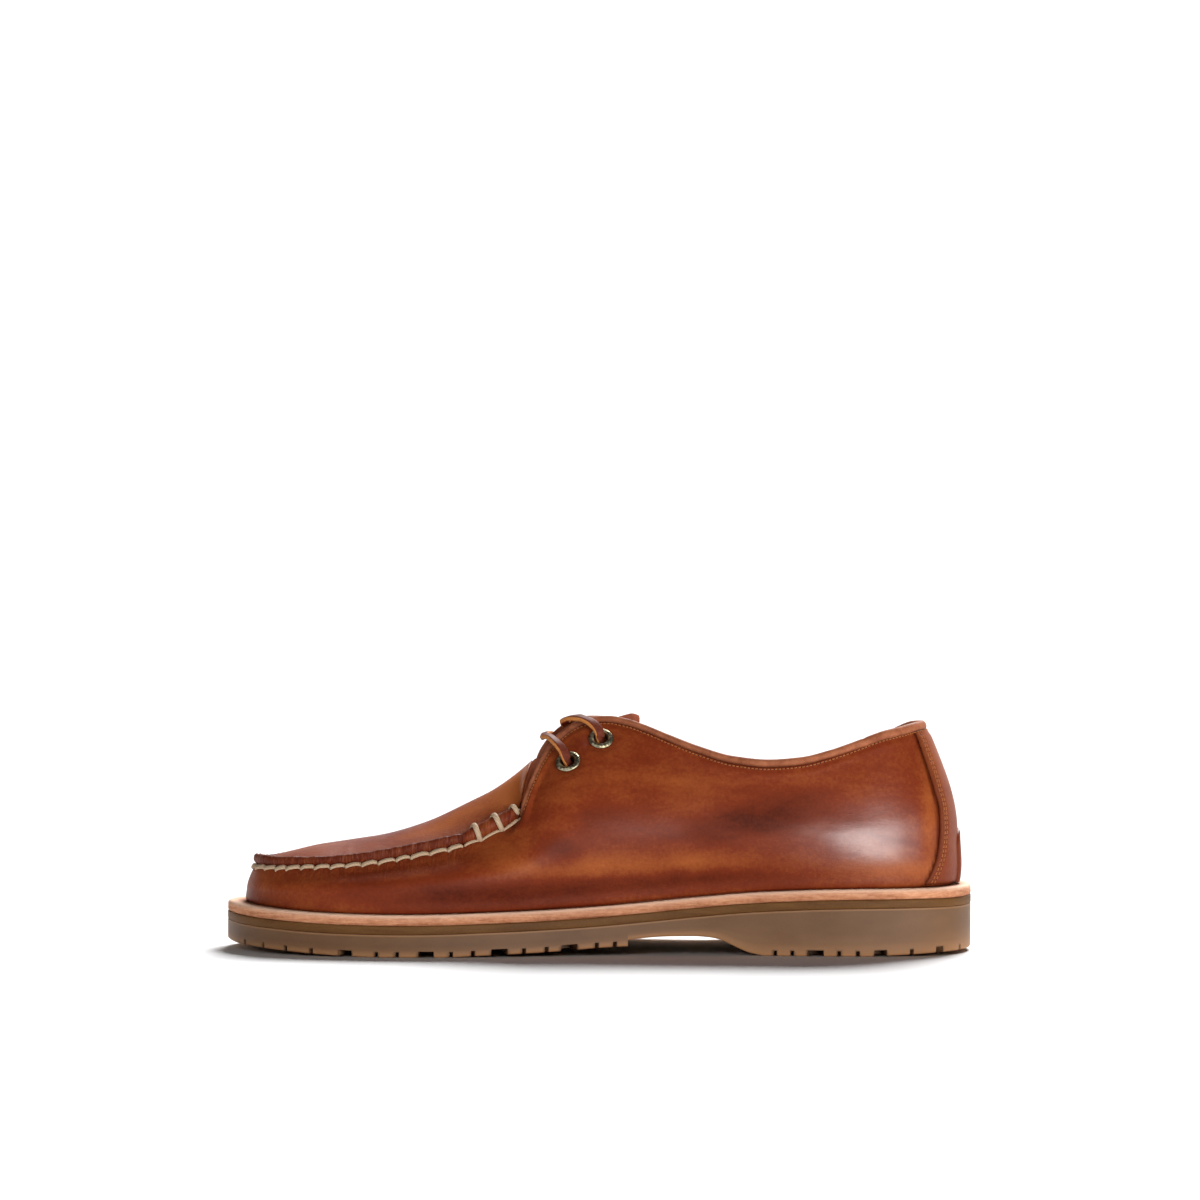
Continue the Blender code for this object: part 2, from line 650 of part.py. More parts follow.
# ------------------------------------------------------------------ upper
WALL_SHARES = [0.0, 0.13, 0.27, 0.41, 0.55, 0.69, 0.82, 0.92, 1.0]
PLUG_SHARES = [0.86, 0.64, 0.42, 0.2]  # of the seam's radius


def lip_height(q):
    return smooth_table(LIP_HEIGHT, q)


def make_upper():
    """One hollow shell: outer and inner skins joined at the base, the collar and facings, and the plug's rear edge."""
    shell = Shell()
    grid, grid_in = [], []  # wall rows
    plug, plug_in = [], []

    def pair(p, n, thick=WALL):
        a = shell.add(p)
        b = shell.add(p - n * thick)
        return a, b

    q_throat = at_x(THROAT_X)
    for q, side in STATIONS:
        vamp = q <= q_throat + 1e-6
        trim = 0.0 if vamp else BINDING_H * min(1.0, (TOE_X + (q - 1) * (HEEL_X - TOE_X) - THROAT_X) / 3.0 if q < 2 else 1.0)
        col, col_in = [], []
        for share in WALL_SHARES:
            p = wall_point(q, side, share, trim)
            n = wall_normal(q, side, share, trim)
            if share == 0.0:  # the base stands square on the welt
                n = Vector((n.x, n.y, 0)).normalized()
            a, b = pair(p, n)
            col.append(a)
            col_in.append(b)
        grid.append(col)
        grid_in.append(col_in)
        if vamp:
            pts, at_edge = profile(q, side)
            r_s, z_s = pts[at_edge]
            foot_r = r_s - LIP_T
            foot = plug_point(q, side, foot_r)
            h = lip_height(q)
            lean = 0.35
            seam = wall_point(q, side, 1.0)
            (_, _), (dx, dy) = station_frame(q, side)
            out = Vector((dx, dy, 0))
            lip = [
                shell.add(seam + Vector((0, 0, h)) + out * lean),
                shell.add(seam + Vector((0, 0, h + 0.1)) - out * (LIP_T - 1.1)),
                shell.add(foot + Vector((0, 0, 0.02))),
            ]
            n_foot = plug_normal(q, side, foot_r)
            foot_in = foot - n_foot * WALL
            top_in = shell.points[col_in[-1]]
            lip_in = [shell.add(top_in.lerp(foot_in, 0.33)), shell.add(top_in.lerp(foot_in, 0.66)), shell.add(foot_in)]
            row, row_in = list(lip), list(lip_in)
            for share in PLUG_SHARES:
                r = foot_r * share
                p = plug_point(q, side, r)
                a, b = pair(p, plug_normal(q, side, r))
                row.append(a)
                row_in.append(b)
            plug.append((q, side, row, row_in))
    count = len(STATIONS)
    for i in range(count):
        j = (i + 1) % count
        for k in range(len(WALL_SHARES) - 1):
            shell.face(grid[i][k], grid[j][k], grid[j][k + 1], grid[i][k + 1])
            shell.face(grid_in[i][k], grid_in[i][k + 1], grid_in[j][k + 1], grid_in[j][k])
        shell.face(grid[i][0], grid_in[i][0], grid_in[j][0], grid[j][0])
    # plug columns, keyed by station index
    by_index = {}
    for i, (q, side) in enumerate(STATIONS):
        for pq, ps, row, row_in in plug:
            if pq == q and ps == side:
                by_index[i] = (row, row_in)
    # ridge vertices shared by the two sides
    ridge = {}

    def ridge_of(q):
        key = round(max(q, 1.0), 5)
        if key not in ridge:
            p = plug_point(key, -1, 0.0)
            n = plug_normal(key, -1, 0.0) if key > 1 else Vector((-0.15, 0, 1)).normalized()
            ridge[key] = pair(p, n)
        return ridge[key]

    indices = sorted(by_index)
    for i in range(count):
        j = (i + 1) % count
        if i in by_index and j in by_index:
            (ra, ra_in), (rb, rb_in) = by_index[i], by_index[j]
            a = [grid[i][-1]] + ra + [ridge_of(STATIONS[i][0])[0]]
            b = [grid[j][-1]] + rb + [ridge_of(STATIONS[j][0])[0]]
            a_in = [grid_in[i][-1]] + ra_in + [ridge_of(STATIONS[i][0])[1]]
            b_in = [grid_in[j][-1]] + rb_in + [ridge_of(STATIONS[j][0])[1]]
            for k in range(len(a) - 1):
                shell.face(a[k], b[k], b[k + 1], a[k + 1])
                shell.face(a_in[k], a_in[k + 1], b_in[k + 1], b_in[k])
        else:  # collar and facing edge
            shell.face(grid[i][-1], grid[j][-1], grid_in[j][-1], grid_in[i][-1])
    # the plug's rear edge
    for i in (indices[0], indices[-1]):
        row, row_in = by_index[i]
        a = [grid[i][-1]] + row + [ridge_of(STATIONS[i][0])[0]]
        b = [grid_in[i][-1]] + row_in + [ridge_of(STATIONS[i][0])[1]]
        for k in range(len(a) - 1):
            shell.face(a[k], b[k], b[k + 1], a[k + 1])
    upper = shell.build("upper", LEATHER, 50)

    holes = Shell()
    for side in (-1, 1):
        for _, x, z in EYELETS:
            centre, n = eyelet_seat(x, z, side)
            cylinder(holes, centre - n * 9, centre + n * 5, EYELET_HOLE_R, 14)
    cutter = holes.build("eyelet_hole_cutter", LEATHER)
    hide(cutter)
    subtract(upper, cutter)
    return upper


def cylinder(shell, a, b, r, sides):
    axis = (b - a).normalized()
    u = axis.orthogonal().normalized()
    v = axis.cross(u)
    rings = []
    for p in (a, b):
        rings.append([shell.add(p + (u * math.cos(2 * math.pi * k / sides) + v * math.sin(2 * math.pi * k / sides)) * r) for k in range(sides)])
    for k in range(sides):
        j = (k + 1) % sides
        shell.face(rings[0][k], rings[0][j], rings[1][j], rings[1][k])
    shell.face(*reversed(rings[0]))
    shell.face(*rings[1])


def eyelet_seat(x, z, side):
    """Centre on the quarter's outer surface and the outward normal there."""
    q = at_x(x)
    points, at_edge = profile(q, side)
    part = points[: at_edge + 1]
    total = lengths(part)
    drop = smooth_table(OUTER_TOPLINE_DROP, q) if side > 0 else 0.0
    s = next(total[k] for k in range(len(part)) if part[k][1] >= z - drop and k > 12)
    share = s / total[-1]
    return wall_point(q, side, share), wall_normal(q, side, share)


def make_eyelet(name, x, z, side):
    """A spool: flange outside, barrel through the hole, clinched ring inside, open bore."""
    centre, n = eyelet_seat(x, z, side)
    rise, back = 1.0, WALL + 0.8
    # (distance along the outward normal, radius), round the section
    section = [
        (rise, EYELET_BARREL_R), (rise, EYELET_FLANGE_R - 0.5), (rise + 0.35, EYELET_FLANGE_R), (rise + 0.9, EYELET_FLANGE_R - 1.1),
        (rise + 0.75, EYELET_BORE_R + 0.35), (rise + 0.1, EYELET_BORE_R), (-back - 0.4, EYELET_BORE_R), (-back - 0.4, EYELET_FLANGE_R - 0.9),
        (-back, EYELET_FLANGE_R - 0.8), (-back, EYELET_BARREL_R),
    ]
    u = n.orthogonal().normalized()
    v = n.cross(u)
    shell, sides = Shell(), 14
    rings = []
    for k in range(sides):
        a = 2 * math.pi * k / sides
        d = u * math.cos(a) + v * math.sin(a)
        rings.append([shell.add(centre + n * h + d * r) for h, r in section])
    for k in range(sides):
        j = (k + 1) % sides
        for m in range(len(section)):
            w = (m + 1) % len(section)
            shell.face(rings[k][m], rings[j][m], rings[j][w], rings[k][w])
    return shell.build(name, BRASS)


def make_binding():
    """The rolled edge on top of the wall: up one facing, round the collar and down the other."""
    shell = Shell()
    q0 = at_x(THROAT_X + 0.5)
    run = [(q, s) for q, s in STATIONS if q > q0]
    inner = [(q, s) for q, s in run if s < 0 or q == 3.0]
    first = sorted([(q, s) for q, s in inner], key=lambda e: e[0])
    second = sorted([(q, s) for q, s in run if s > 0], key=lambda e: -e[0])
    path = first + second
    # section in (outward, up the wall): a rounded cap
    h, t = BINDING_H, BINDING_T / 2
    section = [(t * 0.72, 0.0), (t, h * 0.35), (t * 0.86, h * 0.72), (t * 0.36, h), (-t * 0.36, h), (-t * 0.86, h * 0.72), (-t, h * 0.35), (-t * 0.72, 0.0)]
    rings = []
    for q, side in path:
        x = TOE_X + (q - 1) * (HEEL_X - TOE_X)
        full = BINDING_H * min(1.0, (x - THROAT_X) / 3.0) if q < 2 else BINDING_H
        edge_lo = wall_point(q, side, 1.0, full)
        edge_hi = wall_point(q, side, 1.0, 0.0)
        up = edge_hi - edge_lo
        up = up.normalized() if up.length > 1e-6 else (wall_point(q, side, 1.0) - wall_point(q, side, 0.97)).normalized()
        n = wall_normal(q, side, 1.0, full)
        mid = edge_lo - n * (WALL / 2)
        k = full / BINDING_H
        run_of_edge = (wall_point(min(3.0, q + 0.004), side, 1.0) - wall_point(q - 0.004, side, 1.0)).normalized()
        clear = min(1.6, GAP / math.sqrt(max(0.01, 1 - run_of_edge.dot(up) ** 2)))
        rings.append([shell.add(mid + n * o + up * (clear + u * k * (1 - clear / max(full, 2.0)))) for o, u in section])
    for a, b in zip(rings, rings[1:]):
        for m in range(len(section)):
            w = (m + 1) % len(section)
            shell.face(a[m], b[m], b[w], a[w])
    shell.face(*rings[0])
    shell.face(*reversed(rings[-1]))
    return shell.build("collar_binding", BINDING)


def make_counter():
    """Backstay: a second leather over the heel, cut from the wall's own surface a little further out."""
    shell = Shell()
    # Columns: share of the wall's height, x of the front edge.
    front = [(0.0, 128.6), (0.09, 131.8), (0.22, 134.6), (0.36, 135.6), (0.48, 135.3), (0.6, 133.4), (0.78, 130.2), (1.0, 126.0)]
    shares = [0.015, 0.14, 0.28, 0.42, 0.56, 0.7, 0.84, 0.99]
    steps = 5
    columns = []
    for side, order in ((-1, range(0, steps + 1)), (1, range(steps - 1, -1, -1))):
        for k in order:
            column = []
            for share in shares:
                x_edge = smooth_table(front, share)
                q_edge = next((2 + m / 60 for m in range(61) if wall_point(2 + m / 60, side, share, BINDING_H).x >= x_edge), 2.8)
                q = q_edge + (3.0 - q_edge) * k / steps
                p = wall_point(q, side, share, BINDING_H)
                n = wall_normal(q, side, share, BINDING_H)
                column.append((shell.add(p + n * COUNTER_GAP), shell.add(p + n * (COUNTER_GAP + COUNTER_T))))
            columns.append(column)
    last = len(shares) - 1
    for a, b in zip(columns, columns[1:]):
        for k in range(last):
            shell.face(a[k][0], b[k][0], b[k + 1][0], a[k + 1][0])
            shell.face(a[k][1], a[k + 1][1], b[k + 1][1], b[k][1])
        shell.face(a[0][0], a[0][1], b[0][1], b[0][0])
        shell.face(a[last][0], b[last][0], b[last][1], a[last][1])
    for column, turn in ((columns[0], 1), (columns[-1], -1)):
        for k in range(last):
            ids = [column[k][0], column[k + 1][0], column[k + 1][1], column[k][1]]
            shell.face(*(ids if turn > 0 else reversed(ids)))
    return shell.build("heel_counter", LEATHER)


# ------------------------------------------------------------------ tongue and lace
# Columns: x, half width measured round the section, height of its top at the ridge.
TONGUE_ROWS = [
    (-56, 24.0, 52.7), (-48, 29.0, 57.2), (-40, 32.0, 62.0), (-32, 31.5, 67.0), (-27, 27.6, 71.4), (-22, 28.8, 76.6),
    (-16, 32.0, 82.0), (-8, 31.5, 86.6), (0, 31.5, 90.2), (8, 32.0, 93.0), (16, 32.5, 95.2),
]
TONGUE_FRONT, TONGUE_TIP = -56.0, 16.0


def tongue_section(x, side):
    """Top of the tongue as (radius, z) from the ridge: an arch that turns down inside the quarter."""
    q = at_x(x)
    points, at_edge = profile(q, side)
    part = list(reversed(points[: at_edge + 1]))
    total = lengths(part)
    ridge = (0.0, smooth_table(TONGUE_ROWS, x, 2))
    inside = []
    for down in (11.0, 16.0, 21.0, 26.0, 31.0):
        a, b = along(part, total, down - 0.5), along(part, total, down + 0.5)
        dr, dz = b[0] - a[0], b[1] - a[1]
        size = math.hypot(dr, dz)
        inside.append(((a[0] + b[0]) / 2 + dz / size * TONGUE_UNDER, (a[1] + b[1]) / 2 - dr / size * TONGUE_UNDER, dr / size, dz / size))
    first = inside[0]
    span = math.hypot(first[0], ridge[1] - first[1])
    out = [ridge] + hermite(ridge, (span * 1.1, 0.0), first[:2], (first[2] * span, first[3] * span), 12)
    return out + [p[:2] for p in inside[1:]]


def tongue_point(x, around, depth):
    """Point on the tongue: around is the signed distance from the ridge, depth is below its top surface."""
    side = -1 if around < 0 else 1

    def rz(xx, a):
        back = list(reversed(profile(at_x(xx), side)[0]))
        under = along(back, lengths(back), a)
        lower = along(back, lengths(back), a + 0.5)
        dr, dz = lower[0] - under[0], lower[1] - under[1]
        size = max(1e-9, math.hypot(dr, dz))
        under = (under[0] + dz / size * TONGUE_UNDER, under[1] - abs(dr) / size * TONGUE_UNDER)
        if a == 0:
            under = (0.0, back[0][1] - TONGUE_UNDER)
        w = min(1.0, max(0.0, (xx + 34.0) / 10.0))
        if w == 0:
            return under
        w = w * w * (3 - 2 * w)
        section = tongue_section(xx, side)
        arch = along(section, lengths(section), a)
        return (under[0] * (1 - w) + arch[0] * w, under[1] * (1 - w) + arch[1] * w)

    a = abs(around)
    p = place(at_x(x), side, rz(x, a))
    if a < 0.5:
        across = Vector((0, 1, 0))
    else:
        across = (place(at_x(x), side, rz(x, a + 0.5)) - place(at_x(x), side, rz(x, a - 0.5))) * side
    n = (place(at_x(x + 1.0), side, rz(x + 1.0, a)) - place(at_x(x - 1.0), side, rz(x - 1.0, a))).cross(across)
    n.normalize()
    if n.z < 0:
        n = -n
    return p - n * depth


def make_tongue():
    shell = Shell()
    xs = [TONGUE_FRONT, -50, -44, -38, -32, -26, -20, -14, -8, -2, 4, 10, TONGUE_TIP]
    divisions = 14
    rows = []
    for x in xs:
        half = smooth_table(TONGUE_ROWS, x)
        row = []
        for k in range(divisions + 1):
            a = half * (2 * k / divisions - 1)
            row.append((shell.add(tongue_point(x, a, 0.0)), shell.add(tongue_point(x, a, TONGUE_T))))
        rows.append(row)
    for a, b in zip(rows, rows[1:]):
        for k in range(divisions):
            shell.face(a[k][0], a[k + 1][0], b[k + 1][0], b[k][0])
            shell.face(a[k][1], b[k][1], b[k + 1][1], a[k + 1][1])
        shell.face(a[0][0], b[0][0], b[0][1], a[0][1])
        shell.face(a[-1][0], a[-1][1], b[-1][1], b[-1][0])
    for row, turn in ((rows[0], 1), (rows[-1], -1)):
        for k in range(divisions):
            ids = [row[k][0], row[k][1], row[k + 1][1], row[k + 1][0]]
            shell.face(*(ids if turn > 0 else reversed(ids)))
    return shell.build("tongue", LEATHER)


def smooth_path(points, per_span):
    out = []
    pts = [points[0] * 2 - points[1]] + points + [points[-1] * 2 - points[-2]]
    for i in range(1, len(pts) - 2):
        p0, p1, p2, p3 = pts[i - 1 : i + 3]
        for s in range(per_span):
            t = s / per_span
            out.append(0.5 * (2 * p1 + (p2 - p0) * t + (2 * p0 - 5 * p1 + 4 * p2 - p3) * t * t + (3 * p1 - p0 - 3 * p2 + p3) * t**3))
    out.append(points[-1])
    return out


def make_lace_bar(name, eyelet, ridge_x, lift):
    """A flat rawhide strip from over one eyelet, across the throat, to over the other."""
    _, x, z = EYELETS[eyelet]
    seat_a, n_a = eyelet_seat(x, z, -1)
    seat_b, n_b = eyelet_seat(x, z, 1)

    def over_binding(side):
        """Just above the rolled edge where the lace crosses it."""
        xb = x + (ridge_x - x) * 0.72
        top = wall_point(at_x(xb), side, 1.0)
        n = wall_normal(at_x(xb), side, 0.99)
        return top + n * (LACE_T / 2 + 1.1) + Vector((0, 0, 1.2))

    bind_a, bind_b = over_binding(-1), over_binding(1)
    middle = bind_a.lerp(bind_b, 0.5) + Vector((ridge_x - (bind_a.x + bind_b.x) / 2, 0, lift))
    start, end = seat_a + n_a * 3.2, seat_b + n_b * 3.2
    mid_a = start.lerp(bind_a, 0.5) + n_a * 1.4
    mid_b = end.lerp(bind_b, 0.5) + n_b * 1.4
    quarter_a = bind_a.lerp(middle, 0.5) + Vector((0, 0, 0.4))
    quarter_b = bind_b.lerp(middle, 0.5) + Vector((0, 0, 0.4))
    path = smooth_path([start, mid_a, bind_a, quarter_a, middle, quarter_b, bind_b, mid_b, end], 3)
    shell = Shell()
    rings = []
    for i, p in enumerate(path):
        t = (path[min(i + 1, len(path) - 1)] - path[max(i - 1, 0)]).normalized()
        s = min(1.0, max(0.0, i / (len(path) - 1)))
        face = n_a.lerp(n_b, s)
        centre_up = Vector((-0.35, 0, 1)).normalized()
        w = 1 - abs(2 * s - 1)
        face = (face * (1 - w) + centre_up * w).normalized()
        across = t.cross(face).normalized()
        face = across.cross(t).normalized()
        a, b = LACE_W / 2, LACE_T / 2
        rings.append([shell.add(p + across * u + face * v) for u, v in ((-a, -b * 0.5), (-a * 0.8, -b), (a * 0.8, -b), (a, -b * 0.5), (a, b * 0.5), (a * 0.8, b), (-a * 0.8, b), (-a, b * 0.5))])
    for a, b in zip(rings, rings[1:]):
        for k in range(8):
            j = (k + 1) % 8
            shell.face(a[k], a[j], b[j], b[k])
    shell.face(*reversed(rings[0]))
    shell.face(*rings[-1])
    return shell.build("lace_" + name + "_bar", LACE)


# ------------------------------------------------------------------ the shoe
make_outsole()
make_plate("midsole", lambda x: sole_top(x) + GAP, lambda x: sole_top(x) + GAP + MIDSOLE_T, MIDSOLE_RUBBER)
make_welt()
make_insole()
make_upper()
make_counter()
make_binding()
make_tongue()
for side_name, side in (("near", -1), ("far", 1)):
    for eyelet_name, x, z in EYELETS:
        make_eyelet("eyelet_" + side_name + "_" + eyelet_name, x, z, side)
for bar, eyelet, ridge_x, lift in LACE_BARS:
    make_lace_bar(bar, eyelet, ridge_x, lift)
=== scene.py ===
"""Looks for the moc-toe lace-up shoe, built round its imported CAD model. Metres, +Z up.

Toe to -X, heel to +X, inner (medial) side to -Y. The last's tables are the CAD model's own, in millimetres, so each
dense surface lies on its CAD node.
"""

import json
import math

import bmesh
import bpy
import numpy as np
from mathutils import Matrix, Vector

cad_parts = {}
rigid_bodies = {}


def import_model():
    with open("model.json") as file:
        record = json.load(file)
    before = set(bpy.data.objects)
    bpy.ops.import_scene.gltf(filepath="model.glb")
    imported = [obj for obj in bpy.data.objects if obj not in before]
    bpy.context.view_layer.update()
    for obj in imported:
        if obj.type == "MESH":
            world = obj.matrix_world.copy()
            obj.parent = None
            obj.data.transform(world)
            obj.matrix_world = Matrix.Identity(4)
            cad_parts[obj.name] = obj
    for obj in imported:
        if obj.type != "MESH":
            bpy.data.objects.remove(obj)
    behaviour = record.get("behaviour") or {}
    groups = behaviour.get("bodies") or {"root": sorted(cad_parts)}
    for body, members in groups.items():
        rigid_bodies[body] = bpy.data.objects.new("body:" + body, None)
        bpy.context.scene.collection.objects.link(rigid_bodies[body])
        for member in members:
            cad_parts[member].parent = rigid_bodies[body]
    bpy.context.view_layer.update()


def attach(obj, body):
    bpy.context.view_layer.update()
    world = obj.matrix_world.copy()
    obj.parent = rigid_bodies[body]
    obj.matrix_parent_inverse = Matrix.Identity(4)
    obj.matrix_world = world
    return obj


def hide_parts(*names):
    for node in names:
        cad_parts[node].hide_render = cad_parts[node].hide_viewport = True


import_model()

MM = 0.001
GAP = 0.3
TOE_X, HEEL_X = -100.0, 105.0
WALL = 2.0
MIDSOLE_T, WELT_T = 2.9, 4.2
FEATHER_INSET = [(0.0, 8.2), (0.35, 7.9), (0.75, 6.7), (1.0, 6.0), (2.0, 6.0), (2.6, 6.4), (3.0, 6.9)]
BINDING_H = 3.2  # the roll's own height; the leather below runs up to meet it
LIP_T = 3.5
TONGUE_T, TONGUE_UNDER = 2.0, 3.7
THROAT_X = -32.0

# Welt outline in plan. Columns: x, y of the inner side, heel to toe; then of the outer side, toe to heel.
OUTLINE_X_Y = [
    (150.0, 0.0), (147.6, -14.5), (139.5, -28.0), (124.5, -36.4), (104.0, -39.2), (80.0, -38.8), (55.0, -36.8),
    (32.0, -36.2), (10.0, -38.8), (-12.0, -43.8), (-35.0, -49.4), (-58.0, -53.2), (-80.0, -54.3), (-100.0, -52.4),
    (-118.0, -47.6), (-133.0, -39.2), (-143.6, -27.4), (-149.0, -14.5), (-150.0, -4.5),
    (-147.2, 8.5), (-139.0, 21.8), (-124.5, 33.4), (-106.0, 42.2), (-85.0, 48.8), (-62.0, 52.8), (-38.0, 54.3),
    (-14.0, 52.4), (10.0, 47.6), (34.0, 43.6), (58.0, 41.2), (82.0, 40.0), (106.0, 39.2), (125.5, 36.2),
    (139.8, 27.8), (147.6, 14.5),
]
# Columns: x, top of the outsole.
OUTSOLE_TOP = [
    (-150, 11.5), (-138, 10.7), (-125, 10.0), (-112, 9.4), (-98, 9.0), (-78, 8.8), (-62, 9.0), (-46, 9.5), (-30, 10.0),
    (-12, 10.8), (5, 11.9), (22, 13.4), (40, 15.2), (57, 16.8), (75, 17.9), (93, 18.6), (111, 18.9), (131, 19.1), (150, 19.1),
]
# Columns: x, underside of the outsole, for the forefoot, the waist and the heel block.
FOREFOOT_BOTTOM = [(-150, 3.7), (-145, 3.0), (-136, 2.4), (-124, 1.7), (-111, 0.9), (-98, 0.3), (-86, 0.0), (-62, 0.0), (-48, 0.5), (-30, 1.2), (-14, 2.0), (0, 3.0), (12, 3.5)]
FOREFOOT_END = 11.7
WAIST_BOTTOM = [(11, 5.8), (18, 6.7), (28, 7.3), (38, 7.4), (44, 7.0), (48, 6.2), (52, 4.4), (56, 2.5), (60, 1.0), (65, 0.0)]
HEEL_BREAST = 65.0
HEEL_BOTTOM = [(65, 0.0), (105, 0.0), (119, 0.5), (133, 1.1), (150, 1.6)]
SPINE = [(-150, -4.5), (-100, -4.0), (-70, -3.0), (-34, -1.0), (0, 0.5), (40, 1.0), (105, 0.0), (150, 0.0)]


def at_x(x):
    return 1 + (x - TOE_X) / (HEEL_X - TOE_X)


SECTIONS = [
    # station, edge_in, edge_r, edge_z, bulge, bulge_up, edge_angle, top_angle, crown_z
    (0.00, 2.6, None, 33.2, 0.35, 0.36, 78, 26, 42.7),
    (0.35, 3.6, None, 33.5, 0.6, 0.38, 74, 26, 42.7),
    (0.70, 6.4, None, 34.6, 1.0, 0.40, 68, 26, 42.7),
    (at_x(-100), 9.0, None, 35.4, 1.4, 0.42, 62, 26, 42.3),
    (at_x(-87), 9.8, None, 36.8, 1.7, 0.43, 60, 27, 44.3),
    (at_x(-71), 10.4, None, 39.6, 2.1, 0.44, 60, 30, 49.0),
    (at_x(-58), 10.8, None, 42.4, 2.5, 0.44, 60, 34, 54.8),
    (at_x(-47), 11.2, None, 45.6, 3.0, 0.43, 60, 39, 60.8),
    (at_x(-40), 11.6, None, 48.8, 3.4, 0.42, 60, 43, 65.1),
    (at_x(-32), 12.2, None, 53.4, 3.7, 0.40, 58, 46, 71.0),
    (at_x(-29.2), None, 30.2, 61.4, 3.9, 0.38, 52, 50, 73.4),
    (at_x(-25.8), None, 25.0, 70.2, 4.1, 0.36, 48, 46, 76.4),
    (at_x(-22.3), None, 19.5, 77.6, 4.2, 0.34, 45, 42, 79.5),
    (at_x(-18.7), None, 15.7, 82.9, 4.3, 0.33, 42, 36, 82.4),
    (at_x(-14), None, 13.0, 87.8, 4.4, 0.33, 41, 30, 85.7),
    (at_x(-8.5), None, 11.7, 91.5, 4.4, 0.33, 41, 28, 88.7),
    (at_x(-3), None, 11.8, 93.2, 4.4, 0.33, 43, 28, 91.3),
    (at_x(4), None, 12.8, 93.6, 4.4, 0.33, 47, 28, 94.2),
    (at_x(11), None, 14.8, 92.6, 4.4, 0.34, 52, 28, 96.8),
    (at_x(18), None, 17.4, 90.4, 4.4, 0.35, 58, 28, 99.4),
    (at_x(28), None, 21.4, 86.5, 4.4, 0.37, 66, 28, 99.0),
    (at_x(40), None, 25.6, 82.1, 4.4, 0.39, 73, 28, 99.0),
    (at_x(53), None, 28.9, 78.5, 4.3, 0.40, 79, 28, 99.0),
    (at_x(67), None, 30.6, 77.2, 4.1, 0.41, 83, 28, 99.0),
    (at_x(80), None, 30.6, 78.2, 3.7, 0.40, 83, 28, 99.0),
    (at_x(92), None, 29.4, 81.2, 3.2, 0.38, 81, 28, 99.0),
    (2.00, None, 27.4, 85.6, 2.4, 0.36, 78, 28, 99.0),
    (2.35, None, 26.2, 90.0, 1.2, 0.34, 74, 28, 99.0),
    (2.70, None, 25.6, 92.0, 0.5, 0.32, 71, 28, 99.0),
    (3.00, None, 25.4, 92.2, 0.2, 0.31, 70, 28, 99.0),
]
OUTER_FACING_LEAD = [(at_x(THROAT_X), 0.0), (at_x(-29), 0.2), (at_x(-23.5), 1.8), (at_x(-13), 1.8), (at_x(8), 0.0)]
OUTER_TOPLINE_DROP = [(0.0, 0.0), (at_x(10), 0.0), (at_x(40), 1.6), (at_x(67), 2.4), (at_x(92), 1.8), (2.35, 0.6), (3.0, 0.0)]
PLUG_REAR_SHIFT = 4.9
LIP_HEIGHT = [(0.0, 4.2), (0.3, 4.1), (0.55, 3.5), (0.8, 3.3), (1.0, 3.7), (at_x(-71), 4.3), (at_x(-55), 4.3), (at_x(-47), 5.6), (at_x(-41), 5.9), (at_x(THROAT_X), 5.8)]
EYELETS = [("lower", -12.4, 75.0), ("upper", 0.7, 83.8)]
LACE_BARS = [("lower", 0, -23.5, -0.4), ("upper", 1, -12.5, -0.6)]
TONGUE_ROWS = [
    (-56, 24.0, 52.7), (-48, 29.0, 57.2), (-40, 32.0, 62.0), (-32, 31.5, 67.0), (-27, 27.6, 71.4), (-22, 28.8, 76.6),
    (-16, 32.0, 82.0), (-8, 31.5, 86.6), (0, 31.5, 90.2), (8, 32.0, 93.0), (16, 32.5, 95.2),
]
TONGUE_FRONT, TONGUE_TIP = -56.0, 16.0


# ------------------------------------------------------------------ numbers
def pchip(rows, column=1):
    """Monotone cubic through a table, for one number or an array."""
    xs = np.array([r[0] for r in rows], float)
    ys = np.array([r[column] for r in rows], float)
    h = np.diff(xs)
    d = np.diff(ys) / h
    m = np.zeros(len(xs))
    m[0], m[-1] = d[0], d[-1]
    for k in range(1, len(xs) - 1):
        if d[k - 1] * d[k] > 0:
            w1, w2 = 2 * h[k] + h[k - 1], h[k] + 2 * h[k - 1]
            m[k] = (w1 + w2) / (w1 / d[k - 1] + w2 / d[k])

    def f(x):
        x = np.clip(np.asarray(x, float), xs[0], xs[-1])
        i = np.clip(np.searchsorted(xs, x, side="right") - 1, 0, len(h) - 1)
        t = (x - xs[i]) / h[i]
        return (
            (2 * t**3 - 3 * t**2 + 1) * ys[i] + (t**3 - 2 * t**2 + t) * m[i] * h[i]
            + (-2 * t**3 + 3 * t**2) * ys[i + 1] + (t**3 - t**2) * m[i + 1] * h[i]
        )

    return f


def smoothstep(a, b, x):
    t = np.clip((np.asarray(x, float) - a) / (b - a), 0, 1)
    return t * t * (3 - 2 * t)


def noise3(p, seed=0):
    """Smooth noise from -1 to 1 at points given in cells."""
    p = np.asarray(p, float)
    i = np.floor(p).astype(np.int64)
    f = p - i
    f = f * f * f * (f * (f * 6 - 15) + 10)
    out = np.zeros(p.shape[:-1])
    for dx in (0, 1):
        for dy in (0, 1):
            for dz in (0, 1):
                n = (i[..., 0] + dx) * 73856093 ^ (i[..., 1] + dy) * 19349663 ^ (i[..., 2] + dz) * 83492791 ^ (seed * 2654435 + 97)
                n = ((n ^ (n >> 13)) * 1274126177) & 0xFFFFFFFF
                n = ((n ^ (n >> 15)) * 2246822519) & 0xFFFFFFFF
                v = ((n ^ (n >> 16)) & 0xFFFF) / 32767.5 - 1
                w = (f[..., 0] if dx else 1 - f[..., 0]) * (f[..., 1] if dy else 1 - f[..., 1]) * (f[..., 2] if dz else 1 - f[..., 2])
                out += v * w
    return out


